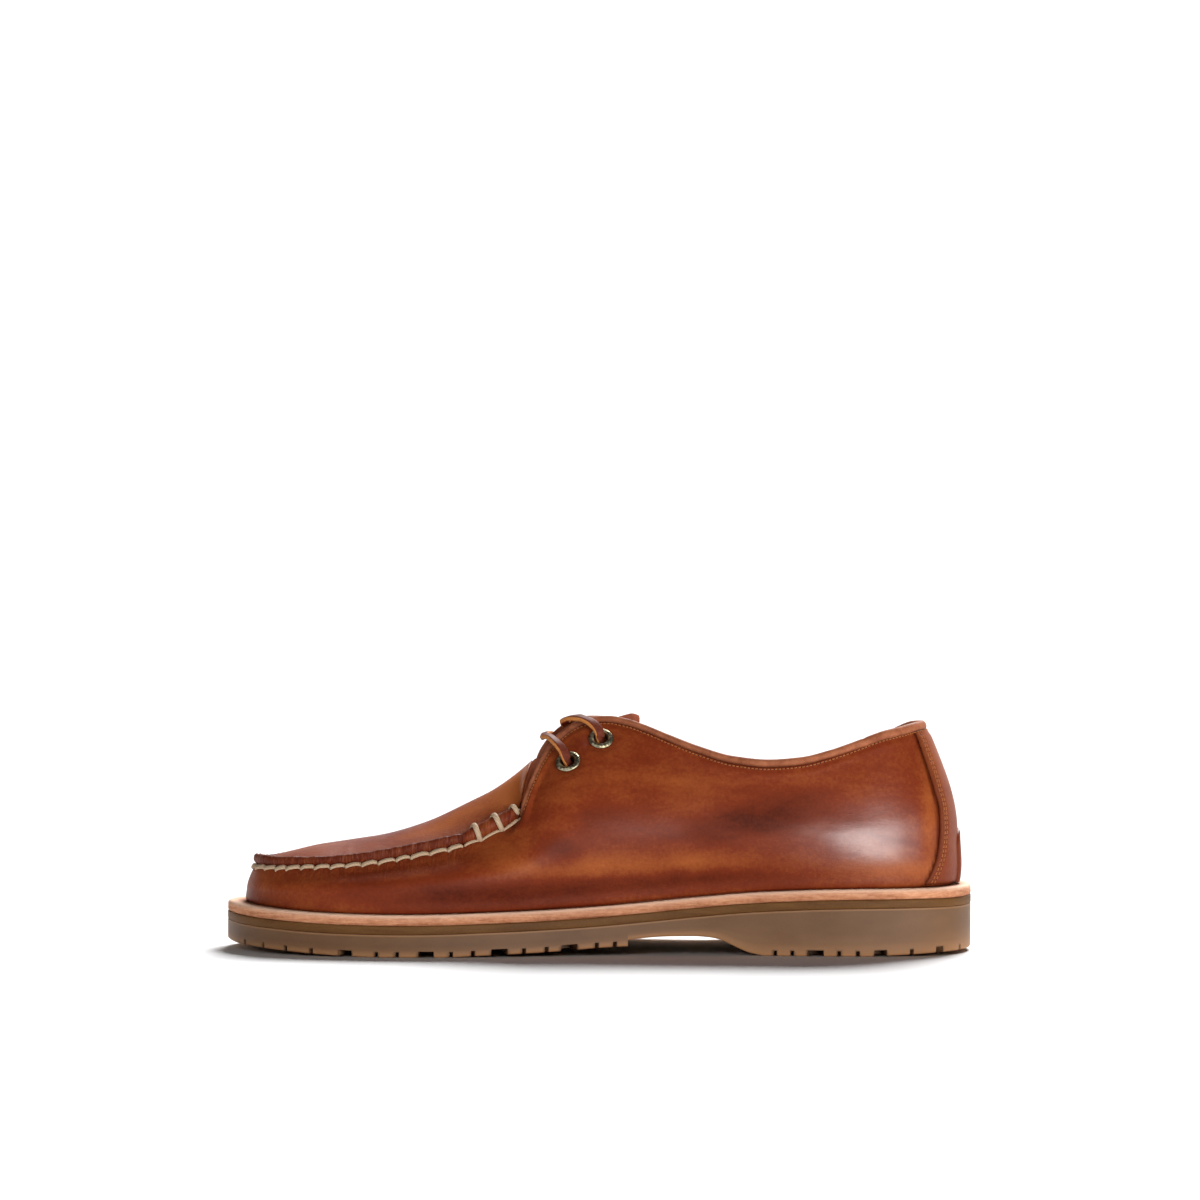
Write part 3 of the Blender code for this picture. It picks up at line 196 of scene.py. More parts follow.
def noise1(s, seed=0):
    s = np.asarray(s, float)
    return noise3(np.stack([s, np.full(s.shape, 0.37), np.full(s.shape, 0.61)], -1), seed)


F_SPINE, F_TOP = pchip(SPINE), pchip(OUTSOLE_TOP)
F_FORE, F_WAIST, F_HEEL = pchip(FOREFOOT_BOTTOM), pchip(WAIST_BOTTOM), pchip(HEEL_BOTTOM)
F_FEATHER, F_LIP = pchip(FEATHER_INSET), pchip(LIP_HEIGHT)
F_LEAD, F_DROP = pchip(OUTER_FACING_LEAD), pchip(OUTER_TOPLINE_DROP)
F_SEC = {k: pchip([r for r in SECTIONS if r[k] is not None], k) for k in range(1, 9)}


def welt_top(x):
    return F_TOP(x) + GAP + MIDSOLE_T + GAP + WELT_T


def sole_bottom(x):
    x = np.asarray(x, float)
    return np.where(x <= FOREFOOT_END, F_FORE(x), np.where(x < HEEL_BREAST, F_WAIST(x), F_HEEL(x)))


def catmull(points, per):
    """Open Catmull-Rom through the points."""
    p = np.asarray(points, float)
    p = np.vstack([2 * p[0] - p[1], p, 2 * p[-1] - p[-2]])
    out = []
    for i in range(1, len(p) - 2):
        for s in range(per):
            t = s / per
            a, b, c, d = p[i - 1 : i + 3]
            out.append(0.5 * (2 * b + (c - a) * t + (2 * a - 5 * b + 4 * c - d) * t * t + (3 * b - a - 3 * c + d) * t**3))
    out.append(p[-2])
    return np.array(out)


def outline_points():
    p = np.array(OUTLINE_X_Y)
    n, out = len(p), []
    for i in range(n):
        a, b, c, d = (p[(i + k - 1) % n] for k in range(4))
        for s in range(10):
            t = s / 10
            out.append(0.5 * (2 * b + (c - a) * t + (2 * a - 5 * b + 4 * c - d) * t * t + (3 * b - a - 3 * c + d) * t**3))
    return np.array(out)


WELT_CURVE = outline_points()
_ahead = np.roll(WELT_CURVE, -1, 0) - np.roll(WELT_CURVE, 1, 0)
_ahead /= np.linalg.norm(_ahead, axis=1)[:, None]
INWARD = np.stack([_ahead[:, 1], -_ahead[:, 0]], -1)
if (INWARD * -WELT_CURVE).sum() < 0:
    INWARD = -INWARD


def station(q, side):
    """Origin and outward direction in plan."""
    q = np.asarray(q, float)
    ox = np.where(q < 1, TOE_X, np.where(q > 2, HEEL_X, TOE_X + (q - 1) * (HEEL_X - TOE_X)))
    a = np.radians(90) * np.where(q < 1, q, np.where(q > 2, 3 - q, 1.0))
    dx = np.where(q < 1, -np.cos(a), np.where(q > 2, np.cos(a), 0.0))
    return ox, F_SPINE(ox), dx, side * np.sin(a)


def reach(q, side, inset):
    """Distance from the station's origin to the plan curve."""
    ox, oy, dx, dy = station(q, side)
    curve = WELT_CURVE + INWARD * inset
    b = curve
    a = np.roll(curve, 1, 0)
    out = np.zeros(np.shape(ox))
    flat = [np.ravel(v) for v in (ox, oy, dx, dy)]
    best = np.zeros(len(flat[0]))
    step = 2000
    for s in range(0, len(best), step):
        fx, fy, gx, gy = (v[s : s + step, None] for v in flat)
        ax, ay = a[None, :, 0] - fx, a[None, :, 1] - fy
        bx, by = b[None, :, 0] - fx, b[None, :, 1] - fy
        ca, cb = gx * ay - gy * ax, gx * by - gy * bx
        hit = ((ca <= 0) & (cb > 0)) | ((cb <= 0) & (ca > 0))
        t = np.where(hit, ca / np.where(np.abs(ca - cb) < 1e-12, 1, ca - cb), 0)
        r = np.where(hit, gx * (ax + t * (bx - ax)) + gy * (ay + t * (by - ay)), 0)
        best[s : s + step] = r.max(1)
    return best.reshape(out.shape)


def feather_reach(q, side):
    r0 = reach(q, side, 0.0)
    return r0 - (r0 - reach(q, side, 6.0)) * F_FEATHER(q) / 6.0


def hermite(r0, z0, tr0, tz0, r1, z1, tr1, tz1, n):
    t = (np.arange(1, n + 1) / n)[None, :]
    a, b, c, d = 2 * t**3 - 3 * t**2 + 1, t**3 - 2 * t**2 + t, -2 * t**3 + 3 * t**2, t**3 - t**2
    r0, z0, tr0, tz0, r1, z1, tr1, tz1 = (np.asarray(v, float)[:, None] for v in (r0, z0, tr0, tz0, r1, z1, tr1, tz1))
    return a * r0 + b * tr0 + c * r1 + d * tr1, a * z0 + b * tz0 + c * z1 + d * tz1


EDGE = 36  # index of the edge or seam in a profile


def profiles(q, side):
    """(radius, height) of the outer surface from the feather to the ridge, for arrays of stations."""
    q = np.asarray(q, float)
    side = np.broadcast_to(np.asarray(side, float), q.shape)
    ox, oy, dx, dy = station(q, side)
    r_f = feather_reach(q, side)
    z_f = welt_top(ox + dx * r_f) + GAP
    lead = np.where(side > 0, F_LEAD(q) / (HEEL_X - TOE_X), 0.0)
    c2, c3, c6 = F_SEC[2](q + lead), F_SEC[3](q + lead), F_SEC[6](q + lead)
    q_t, q_r = at_x(THROAT_X), at_x(-29.2)
    inner = r_f - F_SEC[1](q)
    share = np.clip((q - q_t) / (q_r - q_t), 0, 1)
    r_e = np.where(q <= q_t, inner, np.where(q >= q_r, c2, inner * (1 - share) + c2 * share))
    z_e = c3 - np.where(side > 0, F_DROP(q), 0.0)
    r_b = r_f + F_SEC[4](q)
    z_b = z_f + F_SEC[5](q) * (z_e - z_f)
    edge, top = np.radians(c6), np.radians(F_SEC[7](q))
    crown = F_SEC[8](q)
    low, high = np.hypot(r_b - r_f, z_b - z_f), np.hypot(r_e - r_b, z_e - z_b)
    zero = np.zeros(q.shape)
    r1, z1 = hermite(r_f, z_f, 0.25 * low, 0.95 * low, r_b, z_b, zero, low, 12)
    r2, z2 = hermite(r_b, z_b, zero, high * 1.05, r_e, z_e, -high * np.cos(edge), high * np.sin(edge), 24)
    span = np.hypot(r_e, crown - z_e)
    tilt = np.where(q < 1, 0.15 * np.cos(np.radians(90 * np.minimum(q, 1))), 0.0)
    r3, z3 = hermite(r_e, z_e, -span * np.cos(top), span * np.sin(top), zero, crown, -span, span * tilt, 24)
    return np.hstack([r_f[:, None], r1, r2, r3]), np.hstack([z_f[:, None], z1, z2, z3])


def place(q, side, r, z):
    ox, oy, dx, dy = station(q, side)
    return np.stack([ox + dx * r, oy + dy * r, np.broadcast_to(z, np.shape(r))], -1)


def wall_xyz(q, side, share, trim=0.0, down=None):
    """Points on the wall. share runs from the feather to the edge less trim; down, if given, is millimetres below that."""
    q = np.ravel(np.asarray(q, float))
    side = np.broadcast_to(np.ravel(np.asarray(side, float)), q.shape)
    share = np.broadcast_to(np.ravel(np.asarray(share, float)), q.shape)
    trim = np.broadcast_to(np.ravel(np.asarray(trim, float)), q.shape)
    r, z = profiles(q, side)
    r, z = r[:, : EDGE + 1], z[:, : EDGE + 1]
    run = np.hstack([np.zeros((len(q), 1)), np.cumsum(np.hypot(np.diff(r), np.diff(z)), 1)])
    rr, zz = np.zeros(len(q)), np.zeros(len(q))
    for i in range(len(q)):
        s = share[i] * (run[i, -1] - trim[i]) if down is None else run[i, -1] - trim[i] - np.ravel(down)[min(i, np.size(down) - 1)]
        rr[i], zz[i] = np.interp(s, run[i], r[i]), np.interp(s, run[i], z[i])
    return place(q, side, rr, zz)


def wall_normal(q, side, share, trim=0.0, down=None):
    q = np.ravel(np.asarray(q, float))
    side = np.broadcast_to(np.ravel(np.asarray(side, float)), q.shape)
    share = np.broadcast_to(np.ravel(np.asarray(share, float)), q.shape)
    if down is None:
        up = wall_xyz(q, side, np.clip(share + 0.02, 0, 1), trim) - wall_xyz(q, side, np.clip(share - 0.02, 0, 1), trim)
    else:
        down = np.broadcast_to(np.ravel(np.asarray(down, float)), q.shape)
        up = wall_xyz(q, side, 0, trim, np.maximum(down - 0.7, 0)) - wall_xyz(q, side, 0, trim, down + 0.7)
    q0, q1 = np.clip(q - 0.012, 0, 3), np.clip(q + 0.012, 0, 3)
    ahead = wall_xyz(q1, side, share, trim, down) - wall_xyz(q0, side, share, trim, down)
    end = (q < 0.001) | (q > 2.999)
    ahead[end] = np.stack([np.zeros(end.sum()), np.where(q[end] < 1, 1.0, -1.0) * side[end], np.zeros(end.sum())], -1)
    n = np.cross(ahead, up)
    n /= np.linalg.norm(n, axis=1)[:, None]
    _, _, dx, dy = station(q, side)
    flip = n[:, 0] * dx + n[:, 1] * dy + 0.2 * n[:, 2] < 0
    n[flip] *= -1
    return n


# Heights over the foot on a fine grid, for the plug and the tongue.
FINE_Q = np.concatenate([np.linspace(0, 1, 61)[:-1], [at_x(x) for x in np.arange(-100, 22.01, 0.5)]])
PLUG_J = 64
FINE = {}
for _side in (-1, 1):
    _r, _z = profiles(FINE_Q, _side)
    _tz = np.zeros((len(FINE_Q), PLUG_J + 1))
    for _i in range(len(FINE_Q)):
        _rr, _zz = _r[_i, 12:][::-1], _z[_i, 12:][::-1]
        _tz[_i] = np.interp(_r[_i, EDGE] * np.arange(PLUG_J + 1) / PLUG_J, _rr, _zz)
    FINE[_side] = (_r[:, EDGE], _tz)


def top_z(q, side, r):
    edge, tz = FINE[side]
    f = np.clip(np.interp(q, FINE_Q, np.arange(len(FINE_Q))), 0, len(FINE_Q) - 1.001)
    i = f.astype(int)
    t = f - i
    out = 0
    for k, w in ((i, 1 - t), (i + 1, t)):
        j = np.clip(r / edge[k] * PLUG_J, 0, PLUG_J - 0.001)
        jj = j.astype(int)
        out = out + w * (tz[k, jj] * (1 - j + jj) + tz[k, jj + 1] * (j - jj))
    return out


def plug_xyz(q, side, r):
    """Outer surface over the foot. Towards the throat the sections bow back at the ridge."""
    q, r = np.broadcast_arrays(np.asarray(q, float), np.asarray(r, float))
    x = TOE_X + (q - 1) * (HEEL_X - TOE_X)
    r_seam = np.interp(q, FINE_Q, FINE[side][0])
    weight = smoothstep(-64.0, THROAT_X, x)
    shift = np.where(q < 1, 0.0, PLUG_REAR_SHIFT * weight * (1 - np.minimum(1, r / r_seam) ** 2))
    q2 = np.where(q < 1, q, at_x(x + shift))
    z = top_z(q2, side, r)
    settle = (F_SEC[8](np.minimum(q, 1.0)) - F_SEC[8](1.0)) * (1 - smoothstep(0.0, 0.8, r / r_seam))
    return place(q2, side, r, z - np.where(q < 1, settle, 0.0))


# ------------------------------------------------------------------ meshes
def settle(points):
    """The finished shoe against its last: the toe drawn back a little, the outer topline a little lower."""
    p = np.array(points, float)
    x, y, z = p[:, 0].copy(), p[:, 1], p[:, 2]
    p[:, 0] += 1.4 * smoothstep(-115.0, -150.0, x)
    p[:, 2] -= 3.1 * smoothstep(-12.0, 32.0, x) * smoothstep(129.0, 112.0, x) * smoothstep(34.0, 58.0, z) * smoothstep(0.0, 12.0, y)
    p[:, 2] -= 0.6 * np.exp(-(((x - 104.0) / 7.0) ** 2)) * smoothstep(60.0, 76.0, z) * smoothstep(0.0, -12.0, y)
    ahead = np.clip((x + 100.0) / 13.0, 0, 1)
    p[:, 2] += 1.95 * ahead * (1 - ahead) ** 2 * np.exp(-((y / 18.0) ** 2)) * smoothstep(36.0, 41.0, z)
    p[:, 2] -= 1.5 * smoothstep(-84.0, -104.0, x) * smoothstep(30.0, 38.0, z) * smoothstep(6.0, 18.0, y + 14 * smoothstep(-128.0, -136.0, x))
    p[:, 2] += 0.6 * np.exp(-(((x - 105.0) / 3.4) ** 2)) * smoothstep(60.0, 78.0, z)
    p[:, 2] += 0.8 * smoothstep(-124.0, -110.0, x) * smoothstep(-42.0, -56.0, x) * smoothstep(32.0, 39.0, z) * np.exp(-((y / 17.0) ** 2))
    return p


def make(name, points, faces, materials, attributes=None, face_materials=None, smooth=True, sharp=None):
    """One object from points in millimetres."""
    mesh = bpy.data.meshes.new(name)
    mesh.from_pydata((settle(points) * MM).tolist(), [], [list(map(int, f)) for f in faces])
    mesh.update()
    for key, values in (attributes or {}).items():
        layer = mesh.attributes.new(key, "FLOAT", "POINT")
        layer.data.foreach_set("value", np.asarray(values, np.float32))
    for m in materials:
        mesh.materials.append(m)
    if face_materials is not None:
        mesh.polygons.foreach_set("material_index", np.asarray(face_materials, np.int32))
    bm = bmesh.new()
    bm.from_mesh(mesh)
    bmesh.ops.dissolve_degenerate(bm, dist=1e-7, edges=bm.edges)
    bmesh.ops.recalc_face_normals(bm, faces=bm.faces)
    if bm.calc_volume(signed=True) < 0:
        bmesh.ops.reverse_faces(bm, faces=bm.faces)
    bm.to_mesh(mesh)
    bm.free()
    if smooth:
        mesh.shade_smooth()
        if sharp:
            mesh.set_sharp_from_angle(angle=math.radians(sharp))
    obj = bpy.data.objects.new(name, mesh)
    bpy.context.scene.collection.objects.link(obj)
    return obj


class Soup:
    """Many small solids in one piece."""

    def __init__(self):
        self.points, self.faces, self.mats, self.values = [], [], [], []

    def tube(self, path, sides, radius_u, radius_v=None, up=None, mat=0, taper=None, power=1.0, value=0.0):
        """A closed tube along a path; the ends are rounded when taper is given."""
        path = np.asarray(path, float)
        n = len(path)
        tangent = np.gradient(path, axis=0)
        tangent /= np.linalg.norm(tangent, axis=1)[:, None]
        up = np.broadcast_to(np.asarray([0, 0, 1.0] if up is None else up, float), (n, 3))
        across = np.cross(tangent, up)
        across /= np.linalg.norm(across, axis=1)[:, None]
        top = np.cross(across, tangent)
        radius_v = radius_u if radius_v is None else radius_v
        start = len(self.points)
        for i in range(n):
            k = 1.0 if taper is None else taper[i]
            for j in range(sides):
                a = 2 * math.pi * j / sides
                c, s = math.cos(a), math.sin(a)
                c, s = math.copysign(abs(c) ** power, c), math.copysign(abs(s) ** power, s)
                ru = radius_u if np.isscalar(radius_u) else radius_u[i]
                rv = radius_v if np.isscalar(radius_v) else radius_v[i]
                self.points.append(path[i] + (across[i] * c * ru + top[i] * s * rv) * k)
                self.values.append(value)
        for i in range(n - 1):
            for j in range(sides):
                a, b = start + i * sides + j, start + i * sides + (j + 1) % sides
                self.faces.append((a, b, b + sides, a + sides))
                self.mats.append(mat)
        self.faces.append(tuple(start + j for j in reversed(range(sides))))
        self.faces.append(tuple(start + (n - 1) * sides + j for j in range(sides)))
        self.mats += [mat, mat]

    def grid(self, rows, mat=0, closed=False, value=0.0):
        """Faces over a list of equal rows of points, without closing it."""
        start = len(self.points)
        for row in rows:
            for p in row:
                self.points.append(p)
                self.values.append(value)
        m = len(rows[0])
        for i in range(len(rows) - 1):
            for j in range(m if closed else m - 1):
                a, b = start + i * m + j, start + i * m + (j + 1) % m
                self.faces.append((a, b, b + m, a + m))
                self.mats.append(mat)
        return start

    def build(self, name, materials, **more):
        return make(name, self.points, self.faces, materials, face_materials=self.mats, **more)


def finish_piece(obj, replaces=()):
    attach(obj, "root")
    if replaces:
        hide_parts(*replaces)
    return obj


# ------------------------------------------------------------------ materials
def rgb(r, g, b):
    """Scene-linear colour from display values 0 to 255."""
    return tuple(((c / 255 + 0.055) / 1.055) ** 2.4 if c > 10 else c / 255 / 12.92 for c in (r, g, b)) + (1.0,)


class Nodes:
    """Short way to write a node tree."""

    def __init__(self, name):
        self.material = bpy.data.materials.new(name)
        self.material.use_nodes = True
        self.tree = self.material.node_tree
        self.shader = self.tree.nodes["Principled BSDF"]
        self.where = self.node("ShaderNodeTexCoord").outputs["Object"]

    def node(self, kind, **settings):
        n = self.tree.nodes.new(kind)
        for k, v in settings.items():
            setattr(n, k, v)
        return n

    def put(self, value, socket):
        if isinstance(value, bpy.types.NodeSocket):
            self.tree.links.new(value, socket)
        elif value is not None:
            socket.default_value = value

    def math(self, operation, a, b=None, clamp=False):
        n = self.node("ShaderNodeMath", operation=operation, use_clamp=clamp)
        self.put(a, n.inputs[0])
        self.put(b, n.inputs[1])
        return n.outputs[0]

    def mapping(self, scale, vector=None, rotation=(0, 0, 0)):
        n = self.node("ShaderNodeMapping")
        self.put(self.where if vector is None else vector, n.inputs["Vector"])
        n.inputs["Scale"].default_value = scale
        n.inputs["Rotation"].default_value = rotation
        return n.outputs[0]

    def noise(self, scale, detail=3.0, rough=0.55, vector=None, distortion=0.0):
        n = self.node("ShaderNodeTexNoise")
        self.put(self.where if vector is None else vector, n.inputs["Vector"])
        n.inputs["Scale"].default_value = scale
        n.inputs["Detail"].default_value = detail
        n.inputs["Roughness"].default_value = rough
        n.inputs["Distortion"].default_value = distortion
        return n.outputs["Fac"]

    def voronoi(self, scale, vector=None, feature="F1", randomness=1.0):
        n = self.node("ShaderNodeTexVoronoi", feature=feature)
        self.put(self.where if vector is None else vector, n.inputs["Vector"])
        n.inputs["Scale"].default_value = scale
        n.inputs["Randomness"].default_value = randomness
        return n.outputs["Distance"]

    def attribute(self, name):
        return self.node("ShaderNodeAttribute", attribute_name=name).outputs["Fac"]

    def ramp(self, fac, stops, interpolation="LINEAR"):
        n = self.node("ShaderNodeValToRGB")
        n.color_ramp.interpolation = interpolation
        while len(n.color_ramp.elements) < len(stops):
            n.color_ramp.elements.new(0.5)
        for e, (at, colour) in zip(n.color_ramp.elements, sorted(stops, key=lambda s: s[0])):
            e.position = at
            e.color = colour if len(colour) == 4 else tuple(colour) + (1.0,)
        self.put(fac, n.inputs["Fac"])
        return n.outputs["Color"]

    def mix(self, fac, a, b, blend="MIX"):
        n = self.node("ShaderNodeMix", data_type="RGBA", blend_type=blend)
        self.put(fac, n.inputs[0])
        self.put(a, n.inputs[6])
        self.put(b, n.inputs[7])
        return n.outputs[2]

    def scaled(self, value, low, high, to_low, to_high):
        n = self.node("ShaderNodeMapRange")
        self.put(value, n.inputs["Value"])
        for key, v in (("From Min", low), ("From Max", high), ("To Min", to_low), ("To Max", to_high)):
            n.inputs[key].default_value = v
        return n.outputs["Result"]

    def bump(self, height, distance, strength=1.0, normal=None):
        n = self.node("ShaderNodeBump")
        n.inputs["Strength"].default_value = strength
        n.inputs["Distance"].default_value = distance
        self.put(height, n.inputs["Height"])
        self.put(normal, n.inputs["Normal"])
        return n.outputs["Normal"]

    def out(self, colour=None, roughness=None, normal=None, **fixed):
        s = self.shader
        self.put(colour, s.inputs["Base Color"])
        self.put(roughness, s.inputs["Roughness"])
        self.put(normal, s.inputs["Normal"])
        for k, v in fixed.items():
            if isinstance(v, bpy.types.NodeSocket):
                self.put(v, s.inputs[k.replace("_", " ")])
            else:
                s.inputs[k.replace("_", " ")].default_value = v
        return self.material


def leather(name, dark, mid, light, rough=0.4, coat=0.0, tone="tone", grain=0.00008, wrinkle=0.00006, shade="shade", spread=1.0, level=0.09, puckered=False):
    """Waxed pull-up leather: dark where the wax sits, lighter and more orange where it is drawn thin; the tone and
    shade attributes also carry painted sheen and painted shade.
    """
    n = Nodes(name)
    streaks = n.noise(1.0, 4, 0.6, n.mapping((15, 30, 50)), 0.6)
    cloud = n.noise(1.0, 3, 0.55, n.mapping((60, 80, 120)), 0.4)
    fleck = n.noise(700, 2, 0.7)
    fac = n.math("ADD", n.math("MULTIPLY", n.math("SUBTRACT", streaks, 0.5), 0.62 * spread), n.math("MULTIPLY", n.math("SUBTRACT", cloud, 0.5), 0.36 * spread))
    fac = n.math("ADD", fac, n.math("MULTIPLY", n.math("SUBTRACT", fleck, 0.5), 0.3))
    fac = n.math("ADD", fac, 0.5)
    if tone:
        fac = n.math("ADD", fac, n.attribute(tone))
    colour = n.ramp(fac, [(0.0, dark), (0.45, mid), (0.95, light)])
    if shade:  # painted shade in crevices, grooves and gaps, and darker worked edges
        colour = n.mix(n.math("MULTIPLY", n.attribute(shade), 1.0, True), colour, n.mix(1.0, colour, (0.34, 0.24, 0.2, 1), "MULTIPLY"))
    pebble = n.voronoi(1250, n.mapping((0.8, 1.0, 1.2)), "SMOOTH_F1")
    fine = n.noise(2400, 2, 0.65)
    height = n.math("ADD", n.math("MULTIPLY", pebble, 0.8), n.math("MULTIPLY", fine, 0.5))
    normal = n.bump(height, grain, 0.8)
    folds = n.noise(1.0, 4, 0.65, n.mapping((150, 420, 600), rotation=(0, 0.12, 0)), 0.5)
    normal = n.bump(folds, wrinkle, 0.5, normal)
    if puckered:  # fine gathers that run down and away from the sewn seam
        strength = n.attribute("pucker")
        join = n.node("ShaderNodeCombineXYZ")
        n.put(n.math("MULTIPLY", n.attribute("run"), 0.62), join.inputs[0])
        n.put(n.math("MULTIPLY", n.attribute("below"), 0.12), join.inputs[1])
        gather = n.noise(1.0, 2, 0.5, join.outputs[0], 0.6)
        sharp = n.math("POWER", n.math("ABSOLUTE", n.math("MULTIPLY", n.math("SUBTRACT", gather, 0.5), 2.6)), 0.8)
        on_wall = n.math("ADD", n.math("MULTIPLY", n.math("GREATER_THAN", n.attribute("below"), 0.0), 0.72), 0.28)
        normal = n.bump(n.math("MULTIPLY", sharp, n.math("MULTIPLY", strength, on_wall)), 0.0006, 0.9, normal)
        # painted shade: the gathers' valleys are darkened
        valley = n.math("MULTIPLY", n.math("SUBTRACT", 0.42, sharp), n.math("MULTIPLY", strength, 0.75), True)
        colour = n.mix(valley, colour, n.mix(1.0, colour, (0.42, 0.34, 0.3, 1), "MULTIPLY"))
        ridge = n.math("MULTIPLY", n.math("SUBTRACT", sharp, 0.66), n.math("MULTIPLY", n.math("MULTIPLY", strength, n.math("GREATER_THAN", n.attribute("below"), 0.4)), 2.4), True)
        colour = n.mix(ridge, colour, rgb(176, 118, 92))
        on_lip = n.math("MULTIPLY", n.math("LESS_THAN", n.attribute("below"), -0.05), n.math("GREATER_THAN", n.attribute("below"), -4.1))
        rub = n.node("ShaderNodeCombineXYZ")
        n.put(n.math("MULTIPLY", n.attribute("run"), 1.5), rub.inputs[0])
        n.put(n.math("MULTIPLY", n.attribute("below"), 0.5), rub.inputs[1])
        scuff = n.math("SUBTRACT", n.noise(1.0, 4, 0.7, rub.outputs[0], 0.8), 0.5)
        colour = n.mix(n.math("MULTIPLY", on_lip, n.math("MULTIPLY", scuff, -3.4), True), colour, n.mix(1.0, colour, (0.4, 0.3, 0.3, 1), "MULTIPLY"))
        colour = n.mix(n.math("MULTIPLY", on_lip, n.math("MULTIPLY", scuff, 1.9), True), colour, rgb(158, 104, 84))
    r = n.scaled(n.noise(1.0, 3, 0.6, n.mapping((40, 60, 90))), 0.25, 0.75, rough - 0.04, rough + 0.07)
    r = n.math("ADD", r, n.math("MULTIPLY", pebble, 0.08))
    if puckered:
        r = n.math("ADD", r, n.math("MULTIPLY", n.attribute("pucker"), 0.3), True)
    if puckered:  # burnished over the heel seat
        shine = n.math("MULTIPLY", n.attribute("shine"), n.scaled(cloud, 0.3, 0.7, 0.75, 1.0), True)
        return n.out(colour, r, normal, Specular_IOR_Level=level, Coat_Weight=shine, Coat_Roughness=0.28, Coat_Normal=n.bump(folds, wrinkle, 0.5))
    return n.out(colour, r, normal, Specular_IOR_Level=level, Coat_Weight=coat, Coat_Roughness=0.3)


def plain_leather(name, dark, light, rough=0.6, scale=1.0, bump=0.00006, stretch=(60, 90, 90), level=0.25):
    n = Nodes(name)
    big = n.noise(1.0, 4, 0.6, n.mapping(stretch), 0.4)
    fine = n.noise(900 * scale, 3, 0.6)
    fac = n.math("ADD", n.math("MULTIPLY", big, 0.75), n.math("MULTIPLY", fine, 0.3))
    colour = n.ramp(fac, [(0.3, dark), (0.75, light)])
    shade = n.attribute("shade")
    colour = n.mix(n.math("MULTIPLY", shade, 1.0, True), colour, n.mix(1.0, colour, (0.3, 0.22, 0.18, 1), "MULTIPLY"))
    cells = n.voronoi(1300 * scale)
    normal = n.bump(n.math("ADD", cells, n.math("MULTIPLY", fine, 0.6)), bump, 0.7)
    return n.out(colour, n.scaled(fine, 0.3, 0.7, rough - 0.06, rough + 0.08), normal, Specular_IOR_Level=level)


UPPER = leather("pull_up_leather", rgb(70, 22, 9), rgb(117, 46, 21), rgb(167, 90, 42), puckered=True)
UPPER_STAY = leather("pull_up_leather_backstay", rgb(84, 32, 16), rgb(122, 56, 30), rgb(156, 84, 46), rough=0.4, spread=0.6)
LINING = plain_leather("lining_leather", rgb(120, 66, 38), rgb(172, 112, 72), 0.6)
BINDING_SKIN = plain_leather("rolled_binding_leather", rgb(122, 64, 40), rgb(182, 114, 80), 0.6, 1.0, 0.00006, (160, 160, 160), 0.08)
TONGUE_SKIN = leather("tongue_leather", rgb(88, 36, 18), rgb(132, 62, 34), rgb(162, 92, 56), rough=0.75, tone=None, spread=0.8, level=0.02)


def make_stitch_material(name, dark, light, scale):
    n = Nodes(name)
    twist = n.node("ShaderNodeTexWave", wave_type="BANDS", bands_direction="DIAGONAL")
    n.put(n.where, twist.inputs["Vector"])
    twist.inputs["Scale"].default_value = scale
    twist.inputs["Distortion"].default_value = 1.5
    twist.inputs["Detail"].default_value = 1.0
    fibre = n.noise(2200, 3, 0.7)
    fac = n.math("ADD", n.math("MULTIPLY", twist.outputs["Fac"], 0.16), n.math("MULTIPLY", fibre, 0.85))
    return n.out(n.ramp(fac, [(0.15, dark), (0.8, light)]), 0.72, n.bump(fac, 0.0001, 0.8), Specular_IOR_Level=0.25)


CREAM_THREAD = make_stitch_material("waxed_thread_cream", rgb(142, 114, 88), rgb(206, 180, 150), 420)
TAN_THREAD = make_stitch_material("thread_tan", rgb(126, 66, 32), rgb(180, 112, 62), 900)


# painted shade: near-black material for the discs that stand in for the needle holes
def make_dark():
    n = Nodes("needle_hole_painted_shade")
    return n.out(n.ramp(n.noise(700), [(0.3, rgb(34, 14, 8)), (0.7, rgb(52, 24, 14))]), 0.85, None, Specular_IOR_Level=0.2)


NEEDLE_HOLE_SHADE = make_dark()


def make_welt_material():
    """Natural veg-tan strip with a raw cut edge: streaks along its length, open fibre, and a painted highlight along
    its top.
    """
    n = Nodes("natural_welt_leather")
    streak = n.noise(1.0, 5, 0.65, n.mapping((70, 70, 900)), 0.8)
    pore = n.noise(1.0, 3, 0.7, n.mapping((420, 420, 900)), 0.2)
    fac = n.math("ADD", n.math("MULTIPLY", streak, 0.65), n.math("MULTIPLY", pore, 0.45))
    colour = n.ramp(fac, [(0.3, rgb(132, 76, 50)), (0.5, rgb(186, 124, 88)), (0.7, rgb(216, 158, 122))])
    # painted highlight: the top attribute lightens the welt's top edge
    top = n.attribute("top")
    colour = n.mix(top, colour, n.mix(0.85, colour, rgb(240, 204, 178)))
    # painted shade from the shade attribute, together with random darker patches
    colour = n.mix(n.math("MULTIPLY", n.attribute("shade"), 1.0, True), colour, n.mix(1.0, colour, (0.4, 0.26, 0.2, 1), "MULTIPLY"))
    normal = n.bump(n.math("ADD", n.math("MULTIPLY", streak, 1.0), n.math("MULTIPLY", pore, 0.8)), 0.00022, 0.8)
    return n.out(colour, 0.78, normal, Specular_IOR_Level=0.15)


def make_midsole_material():
    n = Nodes("midsole_rubber_brown")
    streak = n.noise(1.0, 3, 0.6, n.mapping((30, 30, 300)), 0.3)
    fine = n.noise(1600, 2, 0.6)
    fac = n.math("ADD", n.math("MULTIPLY", streak, 0.7), n.math("MULTIPLY", fine, 0.3))
    colour = n.ramp(fac, [(0.3, rgb(84, 52, 24)), (0.7, rgb(114, 78, 40))])
    return n.out(colour, 0.58, n.bump(fine, 0.00004, 0.6), Specular_IOR_Level=0.15)


